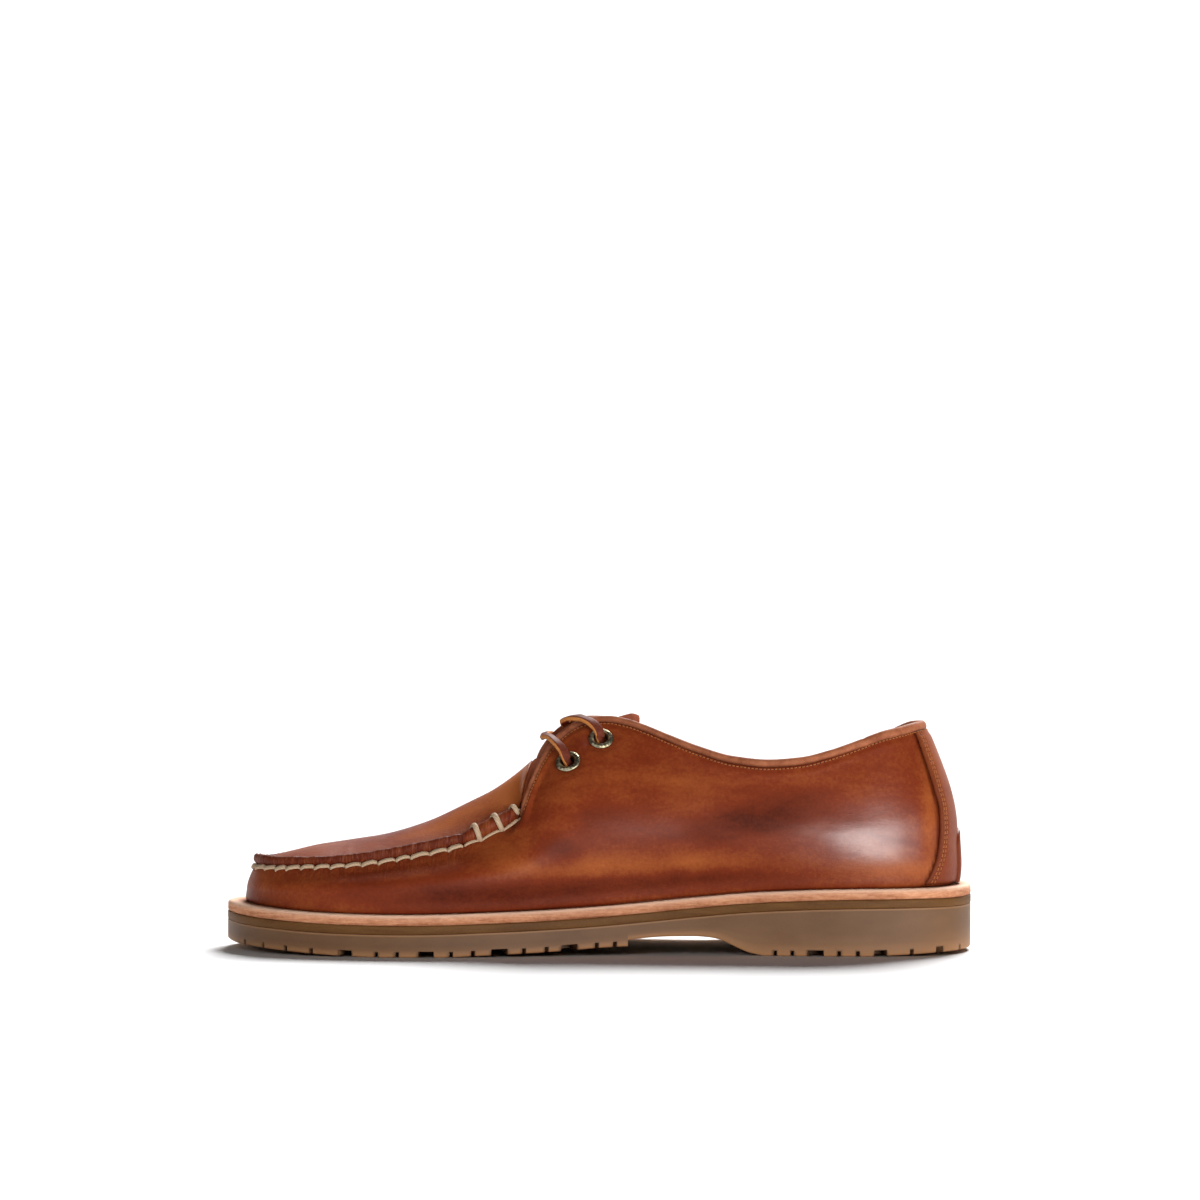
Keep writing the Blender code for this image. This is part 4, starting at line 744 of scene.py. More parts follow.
def make_gum(name):
    """Gum rubber: greyer and duller up the side wall; painted highlight makes it warmer and lighter towards the bottom
    edge, along the top edge and on the slot walls, and the tread face has a warmer tone.
    """
    n = Nodes(name)
    cloud = n.noise(1.0, 3, 0.55, n.mapping((24, 24, 60)), 0.2)
    fine = n.noise(1900, 2, 0.6)
    fac = n.math("ADD", n.math("MULTIPLY", cloud, 0.8), n.math("MULTIPLY", fine, 0.2))
    colour = n.ramp(fac, [(0.3, rgb(98, 70, 48)), (0.7, rgb(122, 90, 64))])
    # painted highlight on the edges and slot walls, and a warmer tone on the tread face
    warm_tone_and_painted_light = n.attribute("warm_tone_and_painted_light")
    colour = n.mix(n.math("MULTIPLY", warm_tone_and_painted_light, 0.62, True), colour, rgb(182, 132, 90))
    normal = n.bump(n.math("ADD", n.math("MULTIPLY", fine, 0.6), n.math("MULTIPLY", cloud, 0.5)), 0.00005, 0.6)
    return n.out(colour, n.scaled(fine, 0.3, 0.7, 0.46, 0.6), normal, Specular_IOR_Level=0.2, Subsurface_Weight=0.08, Subsurface_Scale=0.004)


def make_brass():
    n = Nodes("antique_nickel_brass")
    patch = n.noise(900, 4, 0.65)
    pit = n.voronoi(2600)
    colour = n.ramp(patch, [(0.3, rgb(120, 112, 88)), (0.5, rgb(176, 168, 138)), (0.72, rgb(222, 216, 190))])
    colour = n.mix(n.math("MULTIPLY", n.attribute("shade"), 1.0, True), colour, rgb(44, 36, 24))
    return n.out(colour, n.scaled(patch, 0.3, 0.7, 0.28, 0.46), n.bump(n.math("ADD", pit, patch), 0.00003, 0.6), Metallic=1.0)


def make_lace(name, dark, light, rough, stretch):
    n = Nodes(name)
    wrinkle = n.noise(1.0, 4, 0.7, n.mapping(stretch), 1.2)
    fine = n.noise(2400, 2, 0.6)
    fac = n.math("ADD", n.math("MULTIPLY", wrinkle, 0.75), n.math("MULTIPLY", fine, 0.3))
    colour = n.ramp(fac, [(0.3, dark), (0.75, light)])
    return n.out(colour, rough, n.bump(fac, 0.00018, 0.75), Specular_IOR_Level=0.1)


WELT_SKIN = make_welt_material()
MIDSOLE_SKIN = make_midsole_material()
GUM = make_gum("gum_rubber")
BRASS = make_brass()
LACE_FACE = make_lace("rawhide_lace_face", rgb(70, 28, 20), rgb(122, 58, 40), 0.6, (500, 700, 700))
LACE_EDGE = make_lace("rawhide_lace_cut_edge", rgb(158, 90, 40), rgb(208, 142, 78), 0.62, (300, 900, 900))
FOOTBED = plain_leather("footbed_leather", rgb(150, 96, 58), rgb(196, 142, 98), 0.55, 1.0, 0.00005, (40, 40, 40))
FOOTBED_PAD = plain_leather("footbed_pad_leather", rgb(116, 66, 38), rgb(158, 100, 62), 0.5, 1.0, 0.00005, (50, 50, 50))


# ------------------------------------------------------------------ stations round the shoe
def half_stations(toe, vamp, facing, quarter, heel):
    """Stations of one side from the toe tip to the heel's back, given the counts."""
    parts = [
        np.linspace(0, 1, toe, endpoint=False),
        at_x(np.linspace(TOE_X, THROAT_X, vamp, endpoint=False)),
        at_x(np.linspace(THROAT_X, 12, facing, endpoint=False)),
        at_x(np.linspace(12, HEEL_X, quarter, endpoint=False)),
        np.linspace(2, 3, heel),
    ]
    return np.concatenate(parts)


def ring_stations(half):
    """(station, side) all the way round: heel back, inner side, toe tip, outer side."""
    q = np.concatenate([half[::-1], half[1:-1]])
    side = np.concatenate([-np.ones(len(half)), np.ones(len(half) - 2)])
    return q, side


def ramp_trim(q):
    """How far the wall's leather stops below the edge, where the rolled binding sits."""
    x = TOE_X + (np.asarray(q) - 1) * (HEEL_X - TOE_X)
    full = np.where(np.asarray(q) < 2, np.clip((x - THROAT_X) / 2.4 + 0.12, 0, 1), 1.0)
    return np.where(np.asarray(q) <= at_x(THROAT_X) + 1e-6, 0.0, BINDING_H * full)


# Needle holes of the hand-sewn seam, as stations from the toe.
SEAM_HOLES = [0.06, 0.178, 0.320, 0.4436, 0.537, 0.6544, 0.7638, 0.8859, 0.9999, 1.0313, 1.0626, 1.0973, 1.1254, 1.1614, 1.1961, 1.2261]
BEAD_HOLES = [1.2261, 1.2588, 1.3008, 1.3335]  # along the rolled bead, below the stitches that wrap over it
BEAD_FROM, BEAD_TO = -53.6, THROAT_X

# Soft troughs (negative) and ridges in the side leather. Columns: side, x and z of both ends, half width, height in mm.
CREASES = [
    (-1, 38, 57, 62, 46, 3.2, -0.22), (-1, 46, 61, 66, 52, 2.6, 0.16), (-1, 28, 50, 52, 41, 3.0, -0.14), (-1, -18, 58, -2, 50, 3.4, -0.2),
    (-1, -26, 48, -12, 42, 3.0, 0.16), (-1, -44, 36, -28, 33, 2.8, -0.16), (-1, 66, 60, 82, 54, 3.0, -0.12), (-1, 4, 70, 16, 62, 4.0, -0.15),
    (1, 34, 56, 60, 45, 3.4, -0.2), (1, 48, 62, 70, 54, 3.0, 0.15), (1, -16, 60, 2, 52, 3.6, -0.2), (1, -30, 46, -14, 40, 3.0, 0.15),
    (1, -50, 36, -34, 33, 3.0, -0.16), (1, 70, 58, 86, 52, 3.0, -0.12),
]
# Where the wax is drawn thin (positive, lighter) or sits thick, with some painted light: the patches at x 131.5 and 130
# beside the backstay are partly a real orange band and partly painted sheen, and the patch at x 32, z 63 is a painted
# reflection. Columns: x, z of the middle, half length, half height, turn in degrees, amount.
TONES_INNER = [
    (25, 35.5, 48, 4.2, 2, 0.30), (-30, 35, 16, 4, -6, 0.12), (-15, 42, 11, 6, -10, -0.3), (-14, 60, 10, 9, 60, 0.14), (0, 55, 30, 6, -8, -0.12), (34, 62, 30, 8, 8, -0.06),
    (60, 52, 26, 7, 8, -0.42), (20, 29, 50, 4, 4, -0.28), (-62, 24, 46, 6, 0, -0.36), (-112, 27, 24, 8, 0, 0.06), (118, 34, 30, 3.6, 0, 0.20),
    (131.5, 58, 3.4, 26, 0, 0.27), (-16, 40, 9, 6, 0, -0.14), (62, 75, 18, 4, -4, -0.14), (32, 63, 16, 8, -12, 0.12), (96, 70, 22, 8, -14, 0.02), (-134, 30, 10, 10, 0, 0.06), (80, 72, 30, 5, -10, 0.06), (16, 76, 16, 7, -20, -0.02),
]
TONES_OUTER = [
    (20, 40, 46, 5, 2, 0.26), (-30, 40, 22, 6, -10, 0.16), (60, 52, 26, 6, 8, -0.24), (18, 30, 50, 4, 4, -0.2), (-62, 25, 46, 6, 0, -0.24),
    (116, 36, 28, 4, 0, 0.2), (130, 60, 4, 26, 0, 0.22), (-6, 62, 20, 8, -20, -0.1), (-105, 27, 26, 7, 0, -0.05), (90, 70, 24, 8, -10, 0.04),
]
# The same on the plug; the patch at x -34 is a painted sheen on the plug's rear slope. Columns: x, y, half length, half
# width, turn, amount.
TONES_PLUG = [
    (-56, -18, 20, 9, 12, 0.26), (-62, 16, 22, 9, -12, 0.22), (-34, -14, 8, 14, 0, 0.55), (-100, -6, 22, 26, 0, -0.04), (-76, 0, 20, 12, 0, -0.08), (-66, -14, 34, 14, 8, 0.12),
    (-44, 10, 10, 12, 20, -0.05), (-118, -2, 8, 20, 0, 0.06),
]


def blobs(a, b, rows):
    out = np.zeros(np.shape(a))
    for ca, cb, la, lb, turn, amount in rows:
        t = math.radians(turn)
        u = (a - ca) * math.cos(t) + (b - cb) * math.sin(t)
        v = -(a - ca) * math.sin(t) + (b - cb) * math.cos(t)
        out += amount * np.exp(-((u / la) ** 2) - (v / lb) ** 2)
    return out


def segment_distance(px, pz, x0, z0, x1, z1):
    dx, dz = x1 - x0, z1 - z0
    t = np.clip(((px - x0) * dx + (pz - z0) * dz) / (dx * dx + dz * dz), 0, 1)
    return np.hypot(px - x0 - t * dx, pz - z0 - t * dz), t


HALF = half_stations(84, 76, 44, 56, 40)
Q, SIDE = ring_stations(HALF)
N = len(Q)
X_OF = TOE_X + (Q - 1) * (HEEL_X - TOE_X)
VAMP = Q <= at_x(THROAT_X) + 1e-6
K = 64
PR, PZ = profiles(Q, SIDE)
TRIM = ramp_trim(Q)
WALL_RUN = np.hstack([np.zeros((N, 1)), np.cumsum(np.hypot(np.diff(PR[:, : EDGE + 1]), np.diff(PZ[:, : EDGE + 1])), 1)])
WALL_LENGTH = WALL_RUN[:, -1] - TRIM


def wall_grid(shares):
    """Undisplaced wall points for every station: array (stations, rows, 3)."""
    out = np.zeros((N, len(shares), 3))
    ox, oy, dx, dy = station(Q, SIDE)
    for i in range(N):
        s = np.asarray(shares) * WALL_LENGTH[i]
        r = np.interp(s, WALL_RUN[i], PR[i, : EDGE + 1])
        z = np.interp(s, WALL_RUN[i], PZ[i, : EDGE + 1])
        out[i, :, 0], out[i, :, 1], out[i, :, 2] = ox[i] + dx[i] * r, oy[i] + dy[i] * r, z
    return out


def grid_normals(p, closed=True):
    """Unit normals of a grid of points (ring, rows)."""
    along = np.roll(p, -1, 0) - np.roll(p, 1, 0) if closed else np.gradient(p, axis=0)
    up = np.gradient(p, axis=1)
    n = np.cross(up, along)
    n /= np.maximum(1e-9, np.linalg.norm(n, axis=2))[..., None]
    return n


# Rows: closer together near the seam and the topline, where the leather is worked.
SHARES = 1 - (1 - np.linspace(0, 1, K)) ** 1.18
BASE = wall_grid(SHARES)
NORMAL = grid_normals(BASE)
_ox, _oy, _dx, _dy = station(Q, SIDE)
if (NORMAL[:, K // 2, 0] * _dx + NORMAL[:, K // 2, 1] * _dy).mean() < 0:
    NORMAL = -NORMAL
OUT_DIR = np.stack([_dx, _dy, np.zeros(N)], -1)
SEAM = place(Q, SIDE, PR[:, EDGE], PZ[:, EDGE])
_step = np.linalg.norm(SEAM - np.roll(SEAM, 1, 0), axis=1)
RUN = np.cumsum(_step)  # length along the edge from the heel's back, inner side first
TOE_INDEX = int(np.where(Q == 0)[0][0])
RUN -= RUN[TOE_INDEX]


def run_at(q, side):
    """Length along the edge at a station, from the toe tip, negative on the inner side."""
    mask = SIDE == side
    mask[TOE_INDEX] = True
    qs, rs = Q[mask], RUN[mask]
    order = np.argsort(qs)
    return np.interp(q, qs[order], rs[order])


HOLE_RUNS = np.array(sorted([float(run_at(q, s)) for q in SEAM_HOLES for s in (-1, 1)]))
BEAD_RUNS = np.array(sorted([float(run_at(q, s)) for q in BEAD_HOLES[1:] for s in (-1, 1)]))


def nearest(values, s):
    return np.abs(np.asarray(s)[..., None] - values).min(-1)


def pleats(s, seed=0):
    """Gathers along the seam: narrow valleys between soft folds, 0 at the folds and towards -1 in the valleys."""
    w = s + 0.9 * noise1(s / 5.0, 11 + seed) + 0.35 * noise1(s / 1.9, 12 + seed)
    a = np.abs(np.sin(math.pi * w / 3.3))
    b = np.abs(np.sin(math.pi * (w * 1.63 + 1.0) / 3.3))
    return -(0.65 * np.exp(-((a / 0.34) ** 2)) + 0.45 * np.exp(-((b / 0.3) ** 2))) * (0.65 + 0.5 * noise1(s / 6.5, 21 + seed))


def pleat_strength(x):
    """How strongly the side wall is gathered, by place along the shoe."""
    return 0.35 + 0.65 * smoothstep(-128, -112, x) * (1 - smoothstep(-56, -46, x)) - 0.25 * (1 - smoothstep(-136, -124, x))


# The wall runs on from the vamp into the quarter in one sweep below the throat: the last's radius at each height,
# evened out along the shoe.
SWEEP_X, SWEEP_Z = np.arange(-90.0, 31.0, 1.0), np.arange(22.0, 64.0, 1.0)


def sweep_field(side):
    radius = np.zeros((len(SWEEP_X), len(SWEEP_Z)))
    for i, x in enumerate(SWEEP_X):
        r, z = profiles([at_x(x)], side)
        r, z = r[0, : EDGE + 1], z[0, : EDGE + 1]
        order = np.argsort(z)
        r, z = r[order], z[order]
        k = max(0, int(np.searchsorted(z, z[-1] - 4.0)) - 1)
        slope = (r[-1] - r[k]) / (z[-1] - z[k])
        radius[i] = np.where(SWEEP_Z <= z[-1], np.interp(SWEEP_Z, z, r), r[-1] + slope * (SWEEP_Z - z[-1]))
    reach = np.arange(-20, 21)
    kernel = np.exp(-((reach / 7.0) ** 2) / 2)
    kernel /= kernel.sum()
    padded = np.pad(radius, ((20, 20), (0, 0)), mode="reflect", reflect_type="odd")
    even = sum(kernel[k] * padded[k : k + len(SWEEP_X)] for k in range(41))
    fade = smoothstep(-78.0, -60.0, SWEEP_X) * (1 - smoothstep(2.0, 22.0, SWEEP_X))
    return (even - radius) * fade[:, None]


SWEEP = {-1: sweep_field(-1), 1: sweep_field(1)}


def sweep_at(x, z, side):
    i = np.clip(x - SWEEP_X[0], 0, len(SWEEP_X) - 1.001)
    k = np.clip(z - SWEEP_Z[0], 0, len(SWEEP_Z) - 1.001)
    i0, k0 = i.astype(int), k.astype(int)
    u, v = i - i0, k - k0
    out = 0.0
    for s in (-1, 1):
        f = SWEEP[s]
        value = (f[i0, k0] * (1 - u) + f[i0 + 1, k0] * u) * (1 - v) + (f[i0, k0 + 1] * (1 - u) + f[i0 + 1, k0 + 1] * u) * v
        out = out + np.where(side == s, value, 0.0)
    return out


def displace_wall(p, n, below, side, run, q):
    """Moves wall points along their normals. below is the distance down from the seam or the leather's top edge."""
    x, y, z = p[..., 0], p[..., 1], p[..., 2]
    d = 0.14 * noise3(p / 24.0, 3) + 0.05 * noise3(p / 9.0, 5) + 0.018 * noise3(p * (1 / 5.0, 1 / 3.0, 1 / 1.8), 6)
    vamp = q <= at_x(THROAT_X) + 1e-6
    # the sewn seam: a valley along the stitches, deepest at the needle holes, and the leather puffed just below
    hole = np.exp(-((nearest(HOLE_RUNS, run) / 1.3) ** 2))
    seam = -0.55 * np.exp(-((below / 0.9) ** 2)) - 0.35 * hole * np.exp(-((below / 1.8) ** 2)) + 0.22 * np.exp(-(((below - 3.0) / 1.8) ** 2)) * (1 - 0.6 * hole)
    slant = run + 0.22 * below * noise1(run / 11.0, 31)
    strength = pleat_strength(x)
    reach_down = 3.6 + 2.6 * (0.5 + 0.5 * noise1(run / 4.0, 41))
    fold = 0.75 * pleats(slant) * np.exp(-((below / reach_down) ** 1.5)) * strength
    fine = 0.05 * noise3(np.stack([slant / 0.9, below / 6.0, np.zeros_like(below)], -1), 8) * np.exp(-((below / 9.0) ** 2)) * (0.4 + 0.6 * strength)
    # rear edge of the seam, where the bead is drawn down
    at_bead = smoothstep(BEAD_FROM - 3, BEAD_FROM + 2, x)
    drawn = -0.35 * np.exp(-((nearest(BEAD_RUNS, run) / 2.2) ** 2)) * np.exp(-((below / 4.0) ** 2)) * at_bead
    fade = 1 - smoothstep(THROAT_X - 8.0, THROAT_X - 0.5, x)
    d = d + np.where(vamp, seam * (0.25 + 0.75 * fade) + (fold + fine) * fade + drawn, 0.0)
    # topline: sewn down beside the rolled binding
    stitched = -0.22 * np.exp(-(((below - 1.3) / 0.7) ** 2)) + 0.1 * np.exp(-(((below - 3.2) / 1.3) ** 2)) - 0.25 * np.exp(-((below / 0.6) ** 2))
    dimple = -0.05 * (0.5 + 0.5 * np.cos(2 * math.pi * run / 3.0)) * np.exp(-(((below - 1.3) / 0.8) ** 2))
    d = d + np.where(vamp, 0.0, (stitched + dimple) * smoothstep(THROAT_X, THROAT_X + 2.5, x) - 0.14 * np.exp(-((below / 0.9) ** 2)) * (1 - smoothstep(THROAT_X, THROAT_X + 2.5, x)))
    # drawn in at the welt, a little unevenly
    height = z - welt_top(x) - GAP
    d = d + 0.75 * np.exp(-((np.maximum(height, 0) / 3.2) ** 2)) - 0.15 * np.exp(-((height / 0.6) ** 2)) + 0.08 * np.exp(-(((height - 2.2) / 1.5) ** 2)) * (1 + noise1(run / 7.0, 51))
    d = d + sweep_at(x, z, side) * np.hypot(n[..., 0], n[..., 1]) * smoothstep(0.8, 7.5, below)
    # the heel seat sits widest low down and leans in above that
    seat = np.exp(-(((x - 103.0) / 26.0) ** 2))
    d = d + seat * (1.0 * np.exp(-(((z - 33.0) / 9.0) ** 2)) - 0.7 * np.exp(-(((z - 57.0) / 9.0) ** 2)))
    for s, x0, z0, x1, z1, width, amount in CREASES:
        dist, t = segment_distance(x, z, x0, z0, x1, z1)
        d = d + np.where(side == s, amount * np.exp(-((dist / width) ** 2)) * np.sin(math.pi * np.clip(0.12 + 0.76 * t, 0, 1)), 0.0)
    for centre, normal, s in EYELET_SEATS:
        dist = np.linalg.norm(p - centre, axis=-1)
        d = d + np.where(dist < 16, -0.75 * np.exp(-((dist / 5.6) ** 4)) + 0.16 * np.exp(-(((dist - 8.0) / 1.8) ** 2)), 0.0)
    under_stay = smoothstep(COUNTER_EDGE_X(z) - 1.0, COUNTER_EDGE_X(z) + 2.0, x)
    return d * (1 - under_stay) - 0.1 * under_stay


# Front edge of the backstay on the wall. Columns: share of the wall's height, x.
COUNTER_FRONT = [(0.0, 128.6), (0.09, 131.8), (0.22, 134.6), (0.36, 135.6), (0.48, 135.3), (0.6, 133.4), (0.78, 130.2), (1.0, 126.0)]
F_FRONT = pchip(COUNTER_FRONT)


def COUNTER_EDGE_X(z):
    return F_FRONT(np.clip((z - 27.0) / 62.0, 0, 1))


def eyelet_seat(x, z, side):
    """Centre on the quarter's outer surface and the outward normal there."""
    q = at_x(x)
    r, zz = profiles([q], side)
    r, zz = r[0, : EDGE + 1], zz[0, : EDGE + 1]
    run = np.concatenate([[0], np.cumsum(np.hypot(np.diff(r), np.diff(zz)))])
    drop = float(F_DROP(q)) if side > 0 else 0.0
    k = next(k for k in range(13, EDGE + 1) if zz[k] >= z - drop)
    share = run[k] / run[-1]
    return wall_xyz(q, side, share)[0], wall_normal(q, side, share)[0]


EYELET_SEATS = []
for _s in (-1, 1):
    for _name, _x, _z in EYELETS:
        _c, _n = eyelet_seat(_x, _z, _s)
        EYELET_SEATS.append((_c, _n, _s))

BELOW = (1 - SHARES)[None, :] * WALL_LENGTH[:, None]
_side_grid = np.broadcast_to(SIDE[:, None], BELOW.shape)
_run_grid = np.broadcast_to(RUN[:, None], BELOW.shape)
_q_grid = np.broadcast_to(Q[:, None], BELOW.shape)
OUTER = BASE + NORMAL * displace_wall(BASE, NORMAL, BELOW, _side_grid, _run_grid, _q_grid)[..., None]
OUTER_NORMAL = grid_normals(OUTER)
if (OUTER_NORMAL * NORMAL).sum() < 0:
    OUTER_NORMAL = -OUTER_NORMAL


def wall_sample(run, below, side_sign=None):
    """(point, normal) on the finished wall at a length along the edge and a distance below its top."""
    run = np.atleast_1d(np.asarray(run, float))
    below = np.broadcast_to(np.asarray(below, float), run.shape)
    f = np.interp(run, RUN, np.arange(N))
    i = np.clip(np.floor(f).astype(int), 0, N - 2)
    t = f - i
    out_p, out_n = np.zeros((len(run), 3)), np.zeros((len(run), 3))
    for k in range(len(run)):
        for j, w in ((i[k], 1 - t[k]), (i[k] + 1, t[k])):
            g = np.interp(below[k], BELOW[j][::-1], np.arange(K)[::-1])
            a = min(int(g), K - 2)
            b = g - a
            out_p[k] += w * (OUTER[j, a] * (1 - b) + OUTER[j, a + 1] * b)
            out_n[k] += w * (OUTER_NORMAL[j, a] * (1 - b) + OUTER_NORMAL[j, a + 1] * b)
    out_n /= np.linalg.norm(out_n, axis=1)[:, None]
    return out_p, out_n


# ------------------------------------------------------------------ upper
LIP_ROWS, PLUG_ROWS, INNER_ROWS = 22, 42, 18
FIN = [(0.0, 0.0), (0.30, 0.16), (0.50, 0.42), (0.48, 0.68), (0.22, 0.9), (-0.35, 1.02), (-1.0, 1.03), (-1.5, 0.95), (-2.0, 1.03), (-2.7, 1.0), (-3.2, 0.86)]
BEAD = [(0.0, 0.0), (0.75, 0.1), (1.25, 0.3), (1.35, 0.54), (0.85, 0.8), (-0.1, 0.98), (-1.0, 1.05), (-1.9, 1.04), (-2.7, 0.95), (-3.3, 0.82), (-3.6, 0.66)]


def lip_section(h, foot_z, bead):
    """(outward, up) of the raised seam from the stitch line over its top to the plug."""
    pts = [((1 - bead) * a[0] + bead * b[0], ((1 - bead) * a[1] + bead * b[1]) * h) for a, b in zip(FIN, BEAD)]
    pts += [(-3.45, 0.45 * (0.8 * h) + 0.55 * foot_z), (-LIP_T, foot_z)]
    dense = catmull(pts, 6)
    run = np.concatenate([[0], np.cumsum(np.hypot(*np.diff(dense, axis=0).T))])
    at = np.linspace(0, run[-1], LIP_ROWS + 1)[1:]
    return np.stack([np.interp(at, run, dense[:, 0]), np.interp(at, run, dense[:, 1])], -1)


LIP = {}  # finished raised seam: points over it, by ring station


def build_upper():
    points, faces, mats = [], [], []
    tone, shade, pucker, along, under, shine = [], [], [], [], [], []

    def add(p, t=0.0, s=0.0, w=0.0, run=0.0, low=0.0):
        points.append(p)
        tone.append(t)
        shade.append(s)
        pucker.append(w)
        along.append(run)
        under.append(low)
        x_here, z_here = float(p[0]), float(p[2])
        polish = math.exp(-(((x_here - 104) / 29) ** 2) - ((z_here - 45) / 11.5) ** 2) + 0.22 * math.exp(-(((x_here - 32) / 26) ** 2) - ((z_here - 62) / 12) ** 2)
        shine.append(min(1.0, polish))
        return len(points) - 1

    # wall, outside
    x, y, z = BASE[..., 0], BASE[..., 1], BASE[..., 2]
    weight_top = np.clip(NORMAL[..., 2], 0, 1)
    wall_tone = np.where(_side_grid < 0, blobs(x, z, TONES_INNER), blobs(x, z, TONES_OUTER))
    # painted shade: wall_shade darkens the seam's groove, the leather under the binding, the gathers' valleys, the foot
    # where the upper meets the welt and the gap in front of the backstay
    wall_shade = np.where(VAMP[:, None], 0.45 * np.exp(-((BELOW / 1.0) ** 2)), 0.35 * np.exp(-((BELOW / 0.7) ** 2)))
    folds = pleats(_run_grid + 0.22 * BELOW * noise1(_run_grid / 11.0, 31))
    wall_shade = wall_shade + np.where(VAMP[:, None], -0.35 * folds * np.exp(-((BELOW / 5.0) ** 2)) * pleat_strength(x), 0.0)
    height = z - welt_top(x) - GAP
    wall_shade = wall_shade + 0.4 * np.exp(-((height / 0.5) ** 2))
    wall_shade = wall_shade + np.where(x > 100, 1.3 * np.exp(-(((COUNTER_EDGE_X(z) - x - 0.1) / 0.85) ** 2)), 0.0)
    reach_down = 6.0 + 5.0 * (0.5 + 0.5 * noise1(_run_grid / 4.0, 41))
    wall_pucker = np.where(VAMP[:, None], np.exp(-((BELOW / reach_down) ** 1.6)) * (0.25 + 0.75 * pleat_strength(x)) * (1 - smoothstep(THROAT_X - 14.0, THROAT_X - 2.0, x)), 0.0)
    outer = np.zeros((N, K), int)
    for i in range(N):
        for k in range(K):
            outer[i, k] = add(OUTER[i, k], wall_tone[i, k], wall_shade[i, k], wall_pucker[i, k], RUN[i], BELOW[i, k])
    # wall, inside
    inner_shares = np.linspace(0, 1, INNER_ROWS)
    inside = wall_grid(inner_shares)
    n_in = grid_normals(inside)
    if (n_in[:, 8, 0] * _dx + n_in[:, 8, 1] * _dy).mean() < 0:
        n_in = -n_in
    n_in[:, 0, 2] = 0
    n_in[:, 0] /= np.linalg.norm(n_in[:, 0], axis=1)[:, None]
    low = inside[:, -1:, 2] - inside[..., 2]
    swept = sweep_at(inside[..., 0], inside[..., 2], np.broadcast_to(SIDE[:, None], low.shape)) * np.hypot(n_in[..., 0], n_in[..., 1])
    inside = inside - n_in * (WALL - swept * smoothstep(0.8, 7.5, low))[..., None]
    inner = np.zeros((N, INNER_ROWS), int)
    for i in range(N):
        for k in range(INNER_ROWS):
            inner[i, k] = add(inside[i, k])
    for i in range(N):
        j = (i + 1) % N
        for k in range(K - 1):
            faces.append((outer[i, k], outer[j, k], outer[j, k + 1], outer[i, k + 1]))
            mats.append(0)
        for k in range(INNER_ROWS - 1):
            faces.append((inner[i, k], inner[i, k + 1], inner[j, k + 1], inner[j, k]))
            mats.append(1)
        faces.append((outer[i, 0], inner[i, 0], inner[j, 0], outer[j, 0]))
        mats.append(1)
    # raised seam and plug
    rows, rows_in = {}, {}
    ridge = {}
    shares = np.linspace(1, 0, PLUG_ROWS + 1)[1:-1]
    for i in np.where(VAMP)[0]:
        q, side = Q[i], SIDE[i]
        xs = X_OF[i] if q >= 1 else BASE[i, -1, 0]
        r_s = PR[i, EDGE]
        foot_r = r_s - LIP_T
        foot = plug_xyz(q, side, foot_r)
        h = float(F_LIP(q))
        bead = float(smoothstep(BEAD_FROM - 0.6, BEAD_FROM + 0.9, xs)) if q >= 1 else 0.0
        notch = math.exp(-(((xs - BEAD_FROM + 0.5) / 0.8) ** 2)) if q >= 1 else 0.0
        end = 1.0 if q < 1 else math.sqrt(max(0.03, 1 - max(0.0, (xs - (THROAT_X - 2.4)) / 2.4) ** 2))
        ragged = 0.26 * float(noise1(RUN[i] / 2.2, 61)) + 0.12 * float(noise1(RUN[i] / 1.2, 62))
        fold = float(pleats(np.array(RUN[i] + 0.2)))
        h_here = h * (1 - 0.16 * notch) + (ragged + 0.35 * fold) * (1 - bead)
        section = lip_section(h_here, foot[2] - SEAM[i, 2], bead)
        middle = np.array([-LIP_T / 2, max(0.5, (foot[2] - SEAM[i, 2]) * 0.5)])
        section = middle + (section - middle) * end if end < 1 else section
        row, row_in = [], []
        start = OUTER[i, -1]
        wraps = float(np.exp(-((nearest(BEAD_RUNS, np.array([RUN[i]]))[0] / 0.9) ** 2))) if bead > 0 else 0.0
        top_in = inside[i, -1]
        thin = 2.2 - 1.3 * float(smoothstep(-38.0, -33.0, xs)) if q >= 1 else 2.2  # skived towards the throat
        # painted highlight along the plug's skived rear edge
        painted_rear_edge_highlight = 0.1 * math.exp(-(((THROAT_X - xs) / 0.5) ** 2)) if q >= 1 else 0.0
        foot_in = foot - np.array([0, 0, 2.2])
        for j in range(LIP_ROWS):
            u, v = section[j]
            share = (j + 1) / LIP_ROWS
            outward = math.sin(math.pi * min(1, share * 1.6)) if share < 0.625 else 0.0
            push = (0.42 * fold + 0.10 * float(noise1(RUN[i] / 0.7, 63))) * outward * (1 - bead)
            push += (-0.45 * wraps * (1 - abs(2 * share - 1) ** 3) + 0.07 * float(noise3(np.array([RUN[i] / 1.6, share * 5, 0]), 64))) * bead
            blend = math.exp(-((j / 1.5) ** 2))
            p = SEAM[i] + OUT_DIR[i] * (u + push) + np.array([0, 0, v])
            p = p + (start - SEAM[i]) * blend
